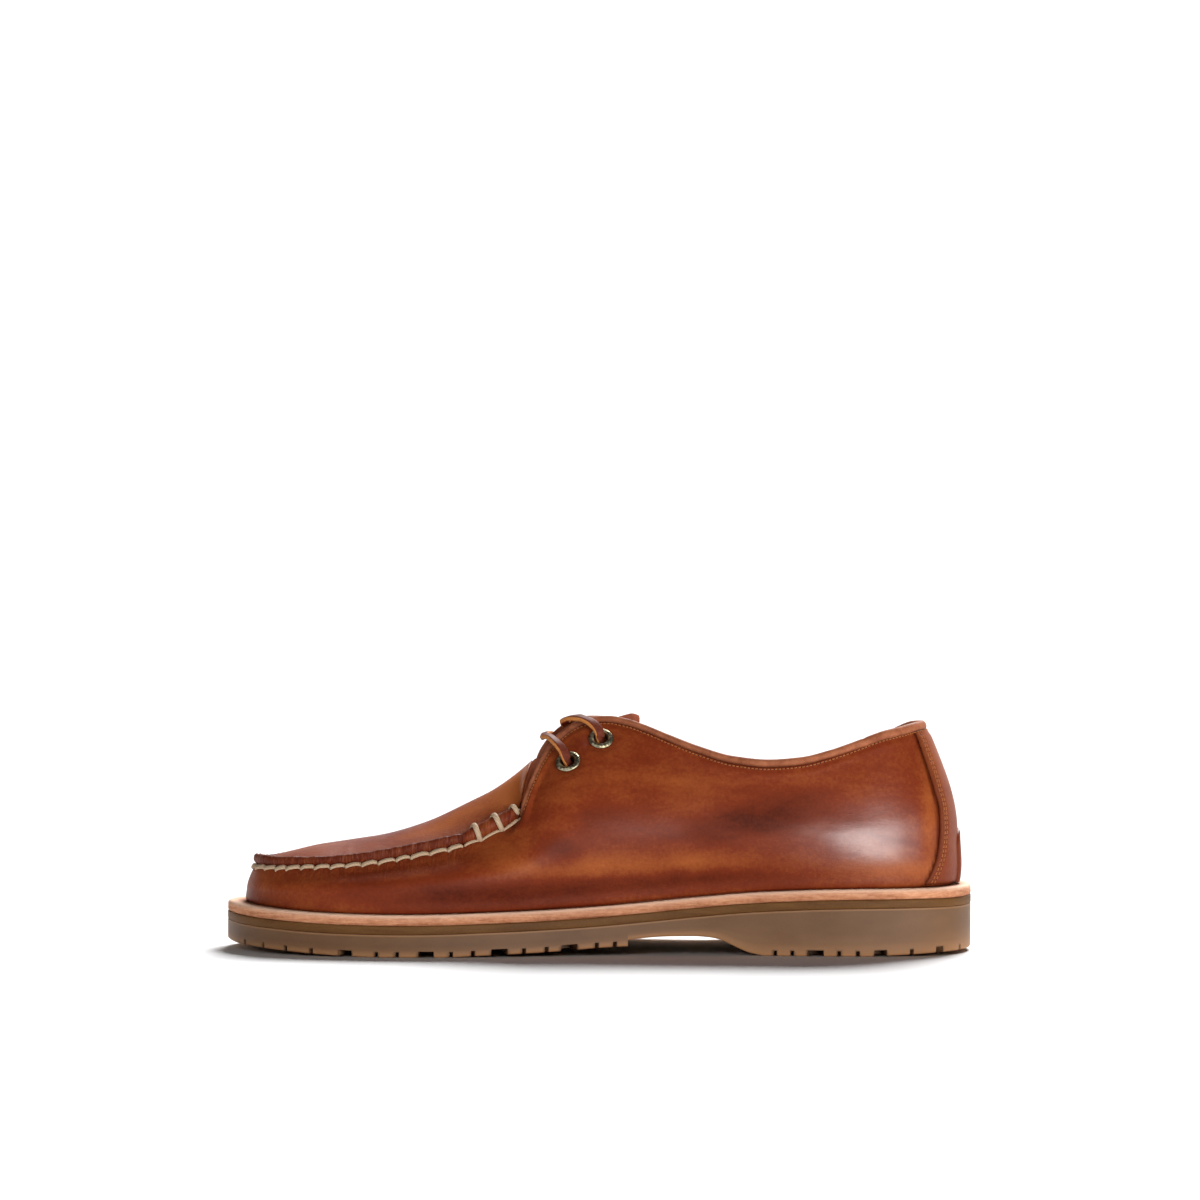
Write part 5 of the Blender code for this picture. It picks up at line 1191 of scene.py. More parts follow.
            # painted shade on the raised seam: in its groove, at its foot against the plug, at the notch and in the
            # folds' valleys; the whole lip is also darker, more on its outer face
            dark = 0.75 if share < 0.5 else 0.55
            dark = dark * (1 - bead) + 0.35 * bead
            groove = math.exp(-(((share - 0.56) / 0.05) ** 2)) * (1 - bead)
            dark += 0.5 * groove + 0.4 * math.exp(-(((share - 1.0) / 0.08) ** 2)) + 0.6 * notch - 0.3 * fold
            row.append(add(p, 0.0 * (1 - bead) + 0.04 * bead + 0.2 * float(noise1(RUN[i] / 2.4, 65)), 0.75 * min(1.0, dark), 0.35 * (1 - bead) + 0.3 * bead, RUN[i], -4.0 * share))
            row_in.append(add(top_in + (foot_in - top_in) * share))
        radii = foot_r * shares
        over = plug_xyz(np.full(len(radii), q), side, radii)
        edge_run = foot_r - radii
        lift = 0.12 * noise3(over / 22.0, 71) + 0.04 * noise3(over / 8.0, 72)
        lift = lift + (0.22 * float(pleats(np.array(RUN[i]), 3)) * np.exp(-((edge_run / 3.5) ** 2)) - 0.15 * np.exp(-((edge_run / 1.2) ** 2)))
        plug_tone = blobs(over[:, 0], over[:, 1], TONES_PLUG)
        # painted shade along the plug's edge beside the raised seam
        for j in range(len(radii)):
            row.append(add(over[j] + [0, 0, lift[j]], plug_tone[j] + painted_rear_edge_highlight, 0.4 * math.exp(-((edge_run[j] / 1.6) ** 2)), 0.45 * math.exp(-((edge_run[j] / 4.0) ** 2)), RUN[i], -6.0 - edge_run[j]))
            row_in.append(add(over[j] - [0, 0, thin]))
        key = 1.0 if q < 1 else round(float(q), 6)
        if key not in ridge:
            p = plug_xyz(max(q, 1.0), -1, 0.0)
            t = float(blobs(p[0], p[1], TONES_PLUG))
            ridge[key] = (add(p + [0, 0, 0.12 * float(noise3(p / 22.0, 71)) + 0.04 * float(noise3(p / 8.0, 72))], t + painted_rear_edge_highlight), add(p - [0, 0, thin]))
        rows[i] = [outer[i, -1]] + row + [ridge[key][0]]
        LIP[i] = np.array([points[k] for k in rows[i][: LIP_ROWS + 1]])
        rows_in[i] = [inner[i, -1]] + row_in + [ridge[key][1]]
    for i in range(N):
        j = (i + 1) % N
        if VAMP[i] and VAMP[j]:
            a, b, a_in, b_in = rows[i], rows[j], rows_in[i], rows_in[j]
            for k in range(len(a) - 1):
                for quad, m in (((a[k], b[k], b[k + 1], a[k + 1]), 0), ((a_in[k], a_in[k + 1], b_in[k + 1], b_in[k]), 1)):
                    ids = list(dict.fromkeys(quad))
                    if len(ids) > 2:
                        faces.append(tuple(ids))
                        mats.append(m)
        else:
            faces.append((outer[i, -1], outer[j, -1], inner[j, -1], inner[i, -1]))
            mats.append(0)
    ends = [i for i in np.where(VAMP)[0] if not (VAMP[(i + 1) % N] and VAMP[i - 1])]
    for i in ends:
        a, b = rows[i], rows_in[i]
        for k in range(len(a) - 1):
            ids = list(dict.fromkeys((a[k], b[k], b[k + 1], a[k + 1])))
            if len(ids) > 2:
                faces.append(tuple(ids))
                mats.append(0)
    upper = make("upper_leather", points, faces, [UPPER, LINING], {"tone": tone, "shade": shade, "pucker": pucker, "run": along, "below": under, "shine": shine}, mats)

    holes = Soup()
    for centre, n, s in EYELET_SEATS:
        axis = Vector(n)
        u = axis.orthogonal().normalized()
        holes.tube([centre - n * 7.5, centre + n * 4], 28, 3.4, 3.4, up=u, mat=0)
    cutter = holes.build("eyelet_hole_cutter", [LINING])
    m = upper.modifiers.new("eyelet_holes", "BOOLEAN")
    m.operation, m.solver, m.object = "DIFFERENCE", "EXACT", cutter
    graph = bpy.context.evaluated_depsgraph_get()
    cut = bpy.data.meshes.new_from_object(upper.evaluated_get(graph), depsgraph=graph)
    upper.modifiers.clear()
    if len(cut.vertices) > 1000:
        upper.data = cut
        cut.shade_smooth()
    bpy.data.objects.remove(cutter, do_unlink=True)
    return finish_piece(upper, ["upper"])


build_upper()


# ------------------------------------------------------------------ hand-sewn seam
def sew_stitch(soup, start, end, thick=1.0, low=1.5, high=0.7, mat=0, proud=1.0):
    """One flat thread lying on the wall below the raised seam, a little lower at its start than where it goes in again."""
    t = np.array([0.0, 0.02, 0.06, 0.16, 0.32, 0.5, 0.68, 0.84, 0.94, 0.985, 1.0])
    run = start + (end - start) * t
    below = np.interp(t, [0, 0.5, 1.0], [low, (low + high) / 2, high])
    p, n = wall_sample(run, below)
    out = np.array([-1.7, -0.75, 0.1, 0.5, 0.68, 0.75, 0.75, 0.62, 0.2, -0.75, -1.7]) * proud
    body = np.array([0.7, 0.85, 1.02, 1.13, 1.17, 1.18, 1.18, 1.15, 1.05, 0.85, 0.65]) * thick
    path = catmull(p + n * out[:, None], 3)
    body = np.interp(np.linspace(0, 1, len(path)), np.linspace(0, 1, len(t)), body)
    ups = catmull(n, 3)
    ups /= np.linalg.norm(ups, axis=1)[:, None]
    soup.tube(path, 14, 0.98 * body, 0.6 * body, up=ups, mat=mat)


def lip_sample(run, share):
    """Point on the raised seam at a length along the edge and a share of the way over it."""
    f = float(np.interp(run, RUN, np.arange(N)))
    i = min(int(f), N - 2)
    t = f - i
    out = 0
    for k, w in ((i, 1 - t), (i + 1, t)):
        if k not in LIP:
            k = min(LIP, key=lambda a: abs(a - k))
        row = LIP[k]
        g = share * (len(row) - 1)
        a = min(int(g), len(row) - 2)
        out = out + w * (row[a] * (1 - g + a) + row[a + 1] * (g - a))
    return out


def wrap_stitch(soup, side, q_hole, slant, thick=1.28):
    """A thread that comes out of the wall under the bead and slants forward over it to the plug."""
    hole = float(run_at(q_hole, side))
    toward_toe = 1.0 if side < 0 else -1.0
    path, ups = [], []
    p, n = wall_sample([hole, hole], [0.9, 0.7])
    path += [p[0] - n[0] * 1.6, p[1] + n[1] * 0.1]
    ups += [n[0], n[1]]
    for share in np.linspace(0.02, 0.97, 15):
        at = hole + toward_toe * slant * (share ** 0.9)
        here = lip_sample(at, share)
        before, after = lip_sample(at, max(0, share - 0.06)), lip_sample(at, min(1, share + 0.06))
        tangent = after - before
        along = lip_sample(at + 0.6, share) - lip_sample(at - 0.6, share)
        normal = np.cross(along, tangent)
        normal /= max(1e-9, np.linalg.norm(normal))
        centre = lip_sample(at, 0.03) * 0.5 + lip_sample(at, 1.0) * 0.5
        if normal @ (here - centre) < 0:
            normal = -normal
        path.append(here + normal * 0.42 * thick)
        ups.append(normal)
    path.append(lip_sample(hole + toward_toe * slant, 1.0) - np.array([0, 0, 1.4]))
    ups.append(ups[-1])
    path, ups = catmull(path, 2), catmull(ups, 2)
    ups /= np.linalg.norm(ups, axis=1)[:, None]
    taper = np.ones(len(path))
    soup.tube(path, 12, 0.86 * thick * taper, 0.58 * thick * taper, up=ups, mat=0)


def build_seam_thread():
    soup = Soup()
    runs = HOLE_RUNS
    for a, b in zip(runs, runs[1:]):
        start, end = (b, a) if (a + b) / 2 < 0 else (a, b)
        way = 1 if end > start else -1
        thick = 1.0 if abs(a) > 8 else 0.9
        sew_stitch(soup, start + way * 0.18, end - way * 0.18, thick=thick * (1 + 0.06 * math.sin(a * 3.1)), low=1.5 + 0.12 * math.sin(b * 2.3), high=0.78 + 0.12 * math.sin(a))
    for side in (-1, 1):
        beads = [float(run_at(q, side)) for q in BEAD_HOLES]
        for start, end in zip(beads, beads[1:]):
            way = 1 if end > start else -1
            sew_stitch(soup, start + way * 0.6, end - way * 0.7, thick=0.7, low=1.15, high=0.5, proud=0.7)
        for q_hole, slant in ((1.2588, 3.7), (1.3008, 5.2), (1.3335, 5.4)):
            wrap_stitch(soup, side, q_hole, slant)
    return finish_piece(soup.build("moc_seam_thread", [CREAM_THREAD]))


build_seam_thread()


# ------------------------------------------------------------------ rolled binding
def binding_height(x):
    return BINDING_H + 0.3 * (1 - smoothstep(-12.0, 6.0, x)) + 0.6 * smoothstep(90.0, 112.0, x)


def build_binding():
    q0 = at_x(THROAT_X + 0.4)
    order = [i for i in range(N) if Q[i] > q0 and (SIDE[i] < 0 or Q[i] == 3)][::-1] + [i for i in range(N) if Q[i] > q0 and SIDE[i] > 0 and Q[i] < 3][::-1]
    q, side = Q[order], SIDE[order]
    x = X_OF[order]
    full = np.where(q < 2, np.clip((x - THROAT_X) / 1.6, 0, 1), 1.0) * binding_height(x)
    lo, hi = wall_xyz(q, side, 1.0, full), wall_xyz(q, side, 1.0, 0.0)
    up = hi - lo
    up /= np.linalg.norm(up, axis=1)[:, None]
    n = wall_normal(q, side, 1.0, full)
    for _ in range(3):  # even out the frame so that the roll has no facets
        n[1:-1] = 0.25 * n[:-2] + 0.5 * n[1:-1] + 0.25 * n[2:]
        up[1:-1] = 0.25 * up[:-2] + 0.5 * up[1:-1] + 0.25 * up[2:]
    n /= np.linalg.norm(n, axis=1)[:, None]
    up -= n * (up * n).sum(1)[:, None]
    up /= np.linalg.norm(up, axis=1)[:, None]
    mid = lo - n * (WALL / 2)
    s = np.concatenate([[0], np.cumsum(np.linalg.norm(np.diff(mid, axis=0), axis=1))])
    total = s[-1]
    count = 22
    rings = []
    values = []
    for i in range(len(order)):
        k = full[i] / float(binding_height(x[i]))
        half_t = (1.75 + 0.07 * float(noise1(s[i] / 9.0, 81)) + 0.035 * float(noise1(s[i] / 2.6, 82))) * (0.55 + 0.45 * k)
        rise = 2.1 * float(smoothstep(-31.2, -28.0, x[i]) * (1 - smoothstep(-23.0, -5.0, x[i]))) if q[i] < 2 else 0.0  # wider down the facing
        half_h = (float(binding_height(x[i])) + 0.1 + rise) / 2 * max(k, 0.12)
        centre = mid[i] + n[i] * 0.1 + up[i] * (half_h + 0.05)
        ring, ring_values = [], []
        for j in range(count):
            a = 2 * math.pi * j / count
            c, sn = math.cos(a), math.sin(a)
            c, sn = math.copysign(abs(c) ** 0.82, c), math.copysign(abs(sn) ** 0.9, sn)
            crease = -0.05 * max(0.0, -sn) * (0.5 + 0.5 * math.cos(2 * math.pi * s[i] / 3.0)) if c > 0.2 else 0.0
            ring.append(centre + n[i] * (half_t + crease) * c + up[i] * half_h * sn)
            # painted shade under the roll and on its inner side; also darker towards the front
            ring_values.append(0.55 * math.exp(-(((sn + 1) / 0.35) ** 2)) + (0.12 if c < 0 else 0.0) + 0.22 * float(1 - smoothstep(60.0, 98.0, x[i])))
        rings.append(ring)
        values += ring_values
    soup = Soup()
    soup.grid(rings, closed=True)
    soup.faces += [tuple(reversed(range(count))), tuple((len(rings) - 1) * count + j for j in range(count))]
    soup.mats += [0, 0]
    piece = soup.build("rolled_edge_binding", [BINDING_SKIN], attributes={"shade": values})
    return finish_piece(piece, ["collar_binding"])


build_binding()


# ------------------------------------------------------------------ backstay and heel patch
STAY_T = 1.2
STAY_D = np.array([0, 0.15, 0.35, 0.6, 0.9, 1.3, 1.8, 2.05, 2.3, 2.55, 2.9, 3.4, 3.65, 3.9, 4.15, 4.5, 5.2, 6.0])
STAY_SHARES = np.concatenate([[0.012, 0.02, 0.032, 0.05], np.linspace(0.08, 0.94, 46), [0.962, 0.976, 0.985, 0.991]])


def stay_rows():
    """Base points and normals of the backstay: rows up the heel, columns round it from one front edge to the other."""
    rows_p, rows_n, rows_d = [], [], []
    for share in STAY_SHARES:
        x_edge = float(F_FRONT(share))
        part_p, part_d = [], []
        for side in (-1, 1):
            qs = np.linspace(2.0, 3.0, 121)
            p = wall_xyz(qs, side, share, BINDING_H)
            k = int(np.argmax(p[:, 0] >= x_edge))
            t = (x_edge - p[k - 1, 0]) / (p[k, 0] - p[k - 1, 0])
            start = p[k - 1] * (1 - t) + p[k] * t
            line = np.vstack([start, p[k:]])
            run = np.concatenate([[0], np.cumsum(np.linalg.norm(np.diff(line, axis=0), axis=1))])
            d = np.concatenate([STAY_D, 6.0 + (run[-1] - 6.0) * np.linspace(0, 1, 24)[1:]])
            pts = np.stack([np.interp(d, run, line[:, c]) for c in range(3)], -1)
            part_p.append(pts)
            part_d.append(d)
        rows_p.append(np.vstack([part_p[0], part_p[1][::-1][1:]]))
        rows_d.append(np.concatenate([part_d[0], part_d[1][::-1][1:]]))
    p = np.array(rows_p)
    n = np.cross(np.gradient(p, axis=0), np.gradient(p, axis=1))
    n /= np.linalg.norm(n, axis=2)[..., None]
    if n[len(p) // 2, p.shape[1] // 2, 0] < 0:
        n = -n
    return p, n, np.array(rows_d)


STAY_P, STAY_N, STAY_DIST = stay_rows()


def stay_lift(p, d, share):
    rim = np.minimum(np.clip(d / 0.75, 0, 1), np.clip((share - 0.012) / 0.01, 0, 1))
    rim = np.sqrt(np.clip(1 - (1 - rim) ** 2, 0, 1))
    lift = 0.42 + (STAY_T - 0.42) * rim + 0.06 * noise3(p / 12.0, 91) + 0.03 * noise3(p / 4.0, 92)
    for at in (2.3, 3.9):
        lift = lift - 0.2 * np.exp(-(((d - at) / 0.5) ** 2))
    lift = lift + 0.08 * np.exp(-(((d - 3.1) / 0.4) ** 2)) + 0.1 * np.exp(-(((d - 1.2) / 0.5) ** 2))
    return lift * (1 - 0.55 * smoothstep(0.93, 0.985, share)) - 0.2 * np.exp(-(((1.0 - share) / 0.012) ** 2))


STAY_SHARE_GRID = np.broadcast_to(STAY_SHARES[:, None], STAY_DIST.shape)
STAY_TOP = STAY_P + STAY_N * stay_lift(STAY_P, STAY_DIST, STAY_SHARE_GRID)[..., None]


def build_backstay():
    rows, cols = STAY_DIST.shape
    points = list(STAY_TOP.reshape(-1, 3)) + list((STAY_P + STAY_N * 0.02).reshape(-1, 3))
    faces = []
    base = rows * cols
    for i in range(rows - 1):
        for j in range(cols - 1):
            a, b, c, d = i * cols + j, i * cols + j + 1, (i + 1) * cols + j + 1, (i + 1) * cols + j
            faces.append((a, b, c, d))
            faces.append((a + base, d + base, c + base, b + base))
    loop = [j for j in range(cols)] + [i * cols + cols - 1 for i in range(1, rows)] + [(rows - 1) * cols + j for j in range(cols - 2, -1, -1)] + [i * cols for i in range(rows - 2, 0, -1)]
    for a, b in zip(loop, loop[1:] + loop[:1]):
        faces.append((a, a + base, b + base, b))
    d = STAY_DIST.reshape(-1)
    share = STAY_SHARE_GRID.reshape(-1)
    z = STAY_P.reshape(-1, 3)[:, 2]
    # painted shade along the two stitch grooves, at the foot by the welt and under the binding; the darker band at the
    # front edge is the cut edge's own colour
    shade = 0.5 * np.exp(-((d / 1.5) ** 4)) + 0.35 * np.exp(-(((d - 2.3) / 0.35) ** 2)) + 0.35 * np.exp(-(((d - 3.9) / 0.35) ** 2)) + 0.5 * np.exp(-(((share - 0.0) / 0.02) ** 2)) + 0.4 * np.exp(-(((share - 1.0) / 0.012) ** 2))
    tone = 0.02 + 0.14 * smoothstep(60, 78, z) - 0.1 * (1 - smoothstep(38, 50, z)) + 0.1 * np.exp(-(((d - 1.0) / 0.8) ** 2))
    values = list(shade) + [0.3] * base
    tones = list(tone) + [0.0] * base
    piece = make("backstay", points, faces, [UPPER_STAY], {"shade": values, "tone": tones})
    return finish_piece(piece, ["heel_counter"])


build_backstay()


def stay_line(distance, side):
    """The line on the backstay at a distance from one front edge, bottom to top: points and normals."""
    cols = len(STAY_D) + 23
    pts, nrm = [], []
    for i in range(len(STAY_SHARES)):
        if side < 0:
            sl = slice(0, cols)
            d, p, n = STAY_DIST[i, sl], STAY_TOP[i, sl], STAY_N[i, sl]
        else:
            sl = slice(cols - 1, None)
            d, p, n = STAY_DIST[i, sl][::-1], STAY_TOP[i, sl][::-1], STAY_N[i, sl][::-1]
        pts.append([np.interp(distance, d, p[:, c]) for c in range(3)])
        nrm.append([np.interp(distance, d, n[:, c]) for c in range(3)])
    return np.array(pts), np.array(nrm)


def run_stitches(soup, line, normals, pitch, length, radius, lift=0.12, mat=0, hole_shade_mat=1, skip_start=1.2, skip_end=1.2, seed=0):
    """A row of machine stitches along a line: short threads that dip in at both ends, and between each two a dark disc
    of painted shade for the needle hole.
    """
    run = np.concatenate([[0], np.cumsum(np.linalg.norm(np.diff(line, axis=0), axis=1))])
    count = int((run[-1] - skip_start - skip_end) / pitch)
    for k in range(count):
        s0 = skip_start + k * pitch + 0.08 * math.sin(7.1 * k + seed)
        t = np.array([0.0, 0.1, 0.32, 0.68, 0.9, 1.0])
        at = s0 + t * length
        p = np.stack([np.interp(at, run, line[:, c]) for c in range(3)], -1)
        n = np.stack([np.interp(at, run, normals[:, c]) for c in range(3)], -1)
        n /= np.linalg.norm(n, axis=1)[:, None]
        out = np.array([-0.35, 0.02, lift, lift, 0.02, -0.35])
        soup.tube(p + n * out[:, None], 7, radius, radius * 0.82, up=n, mat=mat)
        # a dark disc of painted shade at the needle hole
        hole = s0 + length + (pitch - length) / 2
        p = np.array([np.interp(hole, run, line[:, c]) for c in range(3)])
        m = np.array([np.interp(hole, run, normals[:, c]) for c in range(3)])
        m /= np.linalg.norm(m)
        soup.tube([p - m * 0.3, p + m * 0.02], 6, radius * 1.15, radius * 1.15, up=Vector(m).orthogonal().normalized(), mat=hole_shade_mat)


def build_machine_thread():
    soup = Soup()
    for side in (-1, 1):
        for distance in (2.3, 3.9):
            line, normals = stay_line(distance, side)
            run_stitches(soup, line, normals, 1.9, 1.3, 0.25, seed=distance)
    # one row all the way round below the binding: facing, collar, over the backstay, and down the other facing
    start, stop = at_x(THROAT_X + 2.2), 3.0
    for side in (-1, 1):
        runs = np.linspace(float(run_at(start, side)), float(run_at(stop, side)), 260)
        p, n = wall_sample(runs, 0.8)
        share = 1 - 0.8 / 60.0
        front = float(F_FRONT(share))
        on_stay = smoothstep(front - 0.6, front + 0.5, p[:, 0])
        p = p + n * (on_stay * 0.5)[:, None]
        clear = np.ones(len(p), bool)
        run_stitches(soup, p[clear], n[clear], 1.55, 1.02, 0.22, skip_start=0.5, skip_end=0.8, seed=side)
    return finish_piece(soup.build("machine_stitching", [TAN_THREAD, NEEDLE_HOLE_SHADE]))


build_machine_thread()


def build_heel_patch():
    """A short second layer low on the heel, rounded at the top."""
    qs = np.linspace(2.0, 3.0, 121)
    top_z_mm = 49.0
    rows = []
    heights = np.concatenate([[0, 0.012, 0.03, 0.06], np.linspace(0.1, 0.9, 20), [0.94, 0.965, 0.982, 0.993, 1.0]])
    back = wall_xyz(np.full(400, 3.0), 1, np.linspace(0, 1, 400), BINDING_H)
    share_top = float(np.interp(top_z_mm, back[:, 2], np.linspace(0, 1, 400)))
    for h in heights:
        share = 0.014 + (share_top - 0.014) * h
        half = 10.5 * (1 - max(0.0, (h - 0.62) / 0.38) ** 2.6) ** 0.5 if h < 1 else 0.2
        half = max(half, 0.25)
        line = np.vstack([wall_xyz(qs, -1, share, BINDING_H), wall_xyz(qs, 1, share, BINDING_H)[::-1][1:]])
        run = np.concatenate([[0], np.cumsum(np.linalg.norm(np.diff(line, axis=0), axis=1))])
        middle = run[len(qs) - 1]
        at = middle + half * np.sign(np.linspace(-1, 1, 25)) * np.abs(np.linspace(-1, 1, 25)) ** 0.75
        rows.append(np.stack([np.interp(at, run, line[:, c]) for c in range(3)], -1))
    p = np.array(rows)
    n = np.cross(np.gradient(p, axis=0), np.gradient(p, axis=1))
    n /= np.maximum(1e-9, np.linalg.norm(n, axis=2))[..., None]
    if n[10, 12, 0] < 0:
        n = -n
    n[-3:] = n[-4]
    n[:, 0], n[:, -1] = n[:, 1], n[:, -2]
    r, c = p.shape[:2]
    u = 1 - np.abs(np.linspace(-1, 1, c)) ** 6
    v = np.array([min(1.0, (1 - h) / 0.07) for h in heights])
    rim = np.sqrt(np.clip(np.minimum(u[None, :], v[:, None]), 0, 1))
    rim[:, 0] = rim[:, -1] = 0
    top = p + n * (STAY_T + 0.15 + 1.0 * rim + 0.06 * noise3(p / 5.0, 95))[..., None]
    under = p + n * (STAY_T - 0.2)
    points = list(top.reshape(-1, 3)) + list(under.reshape(-1, 3))
    faces, base = [], r * c
    for i in range(r - 1):
        for j in range(c - 1):
            a, b, d, e = i * c + j, i * c + j + 1, (i + 1) * c + j + 1, (i + 1) * c + j
            faces += [(a, b, d, e), (a + base, e + base, d + base, b + base)]
    loop = [j for j in range(c)] + [i * c + c - 1 for i in range(1, r)] + [(r - 1) * c + j for j in range(c - 2, -1, -1)] + [i * c for i in range(r - 2, 0, -1)]
    for a, b in zip(loop, loop[1:] + loop[:1]):
        faces.append((a, a + base, b + base, b))
    shade = list((0.45 * (1 - rim)).reshape(-1)) + [0.3] * base
    tone = [-0.08] * (2 * base)
    piece = make("heel_patch", points, faces, [UPPER_STAY], {"shade": shade, "tone": tone})
    return finish_piece(piece)


build_heel_patch()


# ------------------------------------------------------------------ tongue
def polyline_at(line, s):
    run = np.concatenate([[0], np.cumsum(np.linalg.norm(np.diff(line, axis=0), axis=1))])
    s = np.clip(s, 0, run[-1])
    return np.stack([np.interp(s, run, line[:, c]) for c in range(2)], -1)


def tongue_section(x, side):
    r, z = profiles([at_x(x)], side)
    part = np.stack([r[0, : EDGE + 1], z[0, : EDGE + 1]], -1)[::-1]
    ridge = np.array([0.0, float(F_RIDGE(x))])
    inside = []
    for down in (11.0, 16.0, 21.0, 26.0, 31.0):
        a, b = polyline_at(part, [down - 0.5])[0], polyline_at(part, [down + 0.5])[0]
        d = (b - a) / np.linalg.norm(b - a)
        inside.append(((a + b) / 2 + np.array([d[1], -d[0]]) * TONGUE_UNDER, d))
    first, d = inside[0]
    span = math.hypot(first[0], ridge[1] - first[1])
    t = np.linspace(0, 1, 25)[:, None]
    h = (2 * t**3 - 3 * t**2 + 1) * ridge + (t**3 - 2 * t**2 + t) * np.array([span * 1.1, 0.0]) + (-2 * t**3 + 3 * t**2) * first + (t**3 - t**2) * d * span
    return np.vstack([h] + [p[None] for p, _ in inside[1:]])


F_HALF, F_RIDGE = pchip(TONGUE_ROWS, 1), pchip(TONGUE_ROWS, 2)


def tongue_line(x, side, a):
    """(radius, z) of the tongue's top at distances from the ridge: under the plug, close behind its rear edge, then an arch."""
    r_seam = float(np.interp(at_x(min(x, THROAT_X)), FINE_Q, FINE[side][0]))
    r, z = profiles([at_x(x)], side)
    back = np.stack([r[0], z[0]], -1)[::-1]
    under, lower = polyline_at(back, a), polyline_at(back, a + 0.5)
    d = lower - under
    d /= np.maximum(1e-9, np.linalg.norm(d, axis=1))[:, None]
    rear = THROAT_X + PLUG_REAR_SHIFT * (1 - np.minimum(1, under[:, 0] / r_seam) ** 2)
    depth = TONGUE_UNDER + (0.6 - TONGUE_UNDER) * smoothstep(rear - 3.0, rear - 0.2, x)
    facing = float(np.sum(np.hypot(*np.diff(back[: len(back) - EDGE], axis=0).T)))  # ridge to the facing's edge
    if x > THROAT_X - 2:
        depth = np.maximum(depth, 2.75 * smoothstep(facing - 1.8, facing - 0.2, a))
    under = np.stack([under[:, 0] + d[:, 1] * depth, under[:, 1] - np.abs(d[:, 0]) * depth], -1)
    under[a == 0] = (0.0, back[0, 1] - depth[a == 0][0] if (a == 0).any() else 0.0)
    w = smoothstep(rear + 0.5, rear + 5.5, x)[:, None]
    if w.max() == 0:
        return under
    return under * (1 - w) + polyline_at(tongue_section(x, side), a) * w


def build_tongue():
    xs = np.concatenate([np.linspace(TONGUE_FRONT, -34, 12, endpoint=False), np.linspace(-34, 12, 40, endpoint=False), [12, 13, 14, 14.8, 15.4, 15.8, TONGUE_TIP]])
    shares = np.concatenate([[-1, -0.985, -0.965], np.linspace(-0.93, 0.93, 43), [0.965, 0.985, 1]])
    grid = np.zeros((len(xs), len(shares), 3))
    for i, x in enumerate(xs):
        half = float(F_HALF(x))
        corner = max(0.0, (x - 9.0) / 7.0)
        half = half * (1 - 0.28 * corner**3)  # rounded corners at the tip
        a = half * shares
        for side in (-1, 1):
            m = (a < 0) if side < 0 else (a >= 0)
            line = tongue_line(x, side, np.abs(a[m]))
            grid[i, m] = place(np.full(m.sum(), at_x(x)), side, line[:, 0], line[:, 1])
    grid[:, :, 2] -= (1.3 * smoothstep(12.0, TONGUE_TIP, xs) ** 1.5)[:, None]
    n = np.cross(np.gradient(grid, axis=0), np.gradient(grid, axis=1))
    n /= np.maximum(1e-9, np.linalg.norm(n, axis=2))[..., None]
    if n[20, 24, 2] < 0:
        n = -n
    x, y = grid[..., 0], grid[..., 1]
    rim = np.minimum(np.clip((TONGUE_TIP - x) / 1.2, 0, 1), np.clip((1 - np.abs(shares))[None, :] * 30 / 1.2, 0, 1))
    rim = np.sqrt(np.clip(1 - (1 - rim) ** 2, 0, 1))
    bend = -0.35 * np.exp(-(((x + 15.5 - 0.02 * y) / 1.8) ** 2)) + 0.25 * np.exp(-(((x + 8.5) / 3.0) ** 2)) - 0.3 * np.exp(-(((x - 2.0) / 1.6) ** 2)) * np.exp(-((y / 18) ** 2))
    up = 0.10 * noise3(grid / 11.0, 101) + 0.04 * noise3(grid / 4.0, 102) + bend * np.exp(-((y / 20.0) ** 2)) * 0.5
    top = grid + n * (up - 0.7 * (1 - rim))[..., None]
    under = grid - n * (TONGUE_T - 0.5 * (1 - rim))[..., None]
    r, c = x.shape
    points = list(top.reshape(-1, 3)) + list(under.reshape(-1, 3))
    faces, base = [], r * c
    mats = []
    for i in range(r - 1):
        for j in range(c - 1):
            a, b, d, e = i * c + j, i * c + j + 1, (i + 1) * c + j + 1, (i + 1) * c + j
            faces += [(a, b, d, e), (a + base, e + base, d + base, b + base)]
            mats += [0, 1]
    loop = [j for j in range(c)] + [i * c + c - 1 for i in range(1, r)] + [(r - 1) * c + j for j in range(c - 2, -1, -1)] + [i * c for i in range(r - 2, 0, -1)]
    for a, b in zip(loop, loop[1:] + loop[:1]):
        faces.append((a, a + base, b + base, b))
        mats.append(0)
    edge = np.minimum(TONGUE_TIP - x, (1 - np.abs(shares))[None, :] * 30)
    shade = 0.35 * np.exp(-(((edge - 2.6) / 0.5) ** 2)) - 0.25 * np.exp(-((edge / 1.6) ** 2))
    piece = make("tongue_leather_piece", points, faces, [TONGUE_SKIN, LINING], {"shade": list(shade.reshape(-1)) + [0.0] * base}, mats)
    return finish_piece(piece, ["tongue"])


build_tongue()


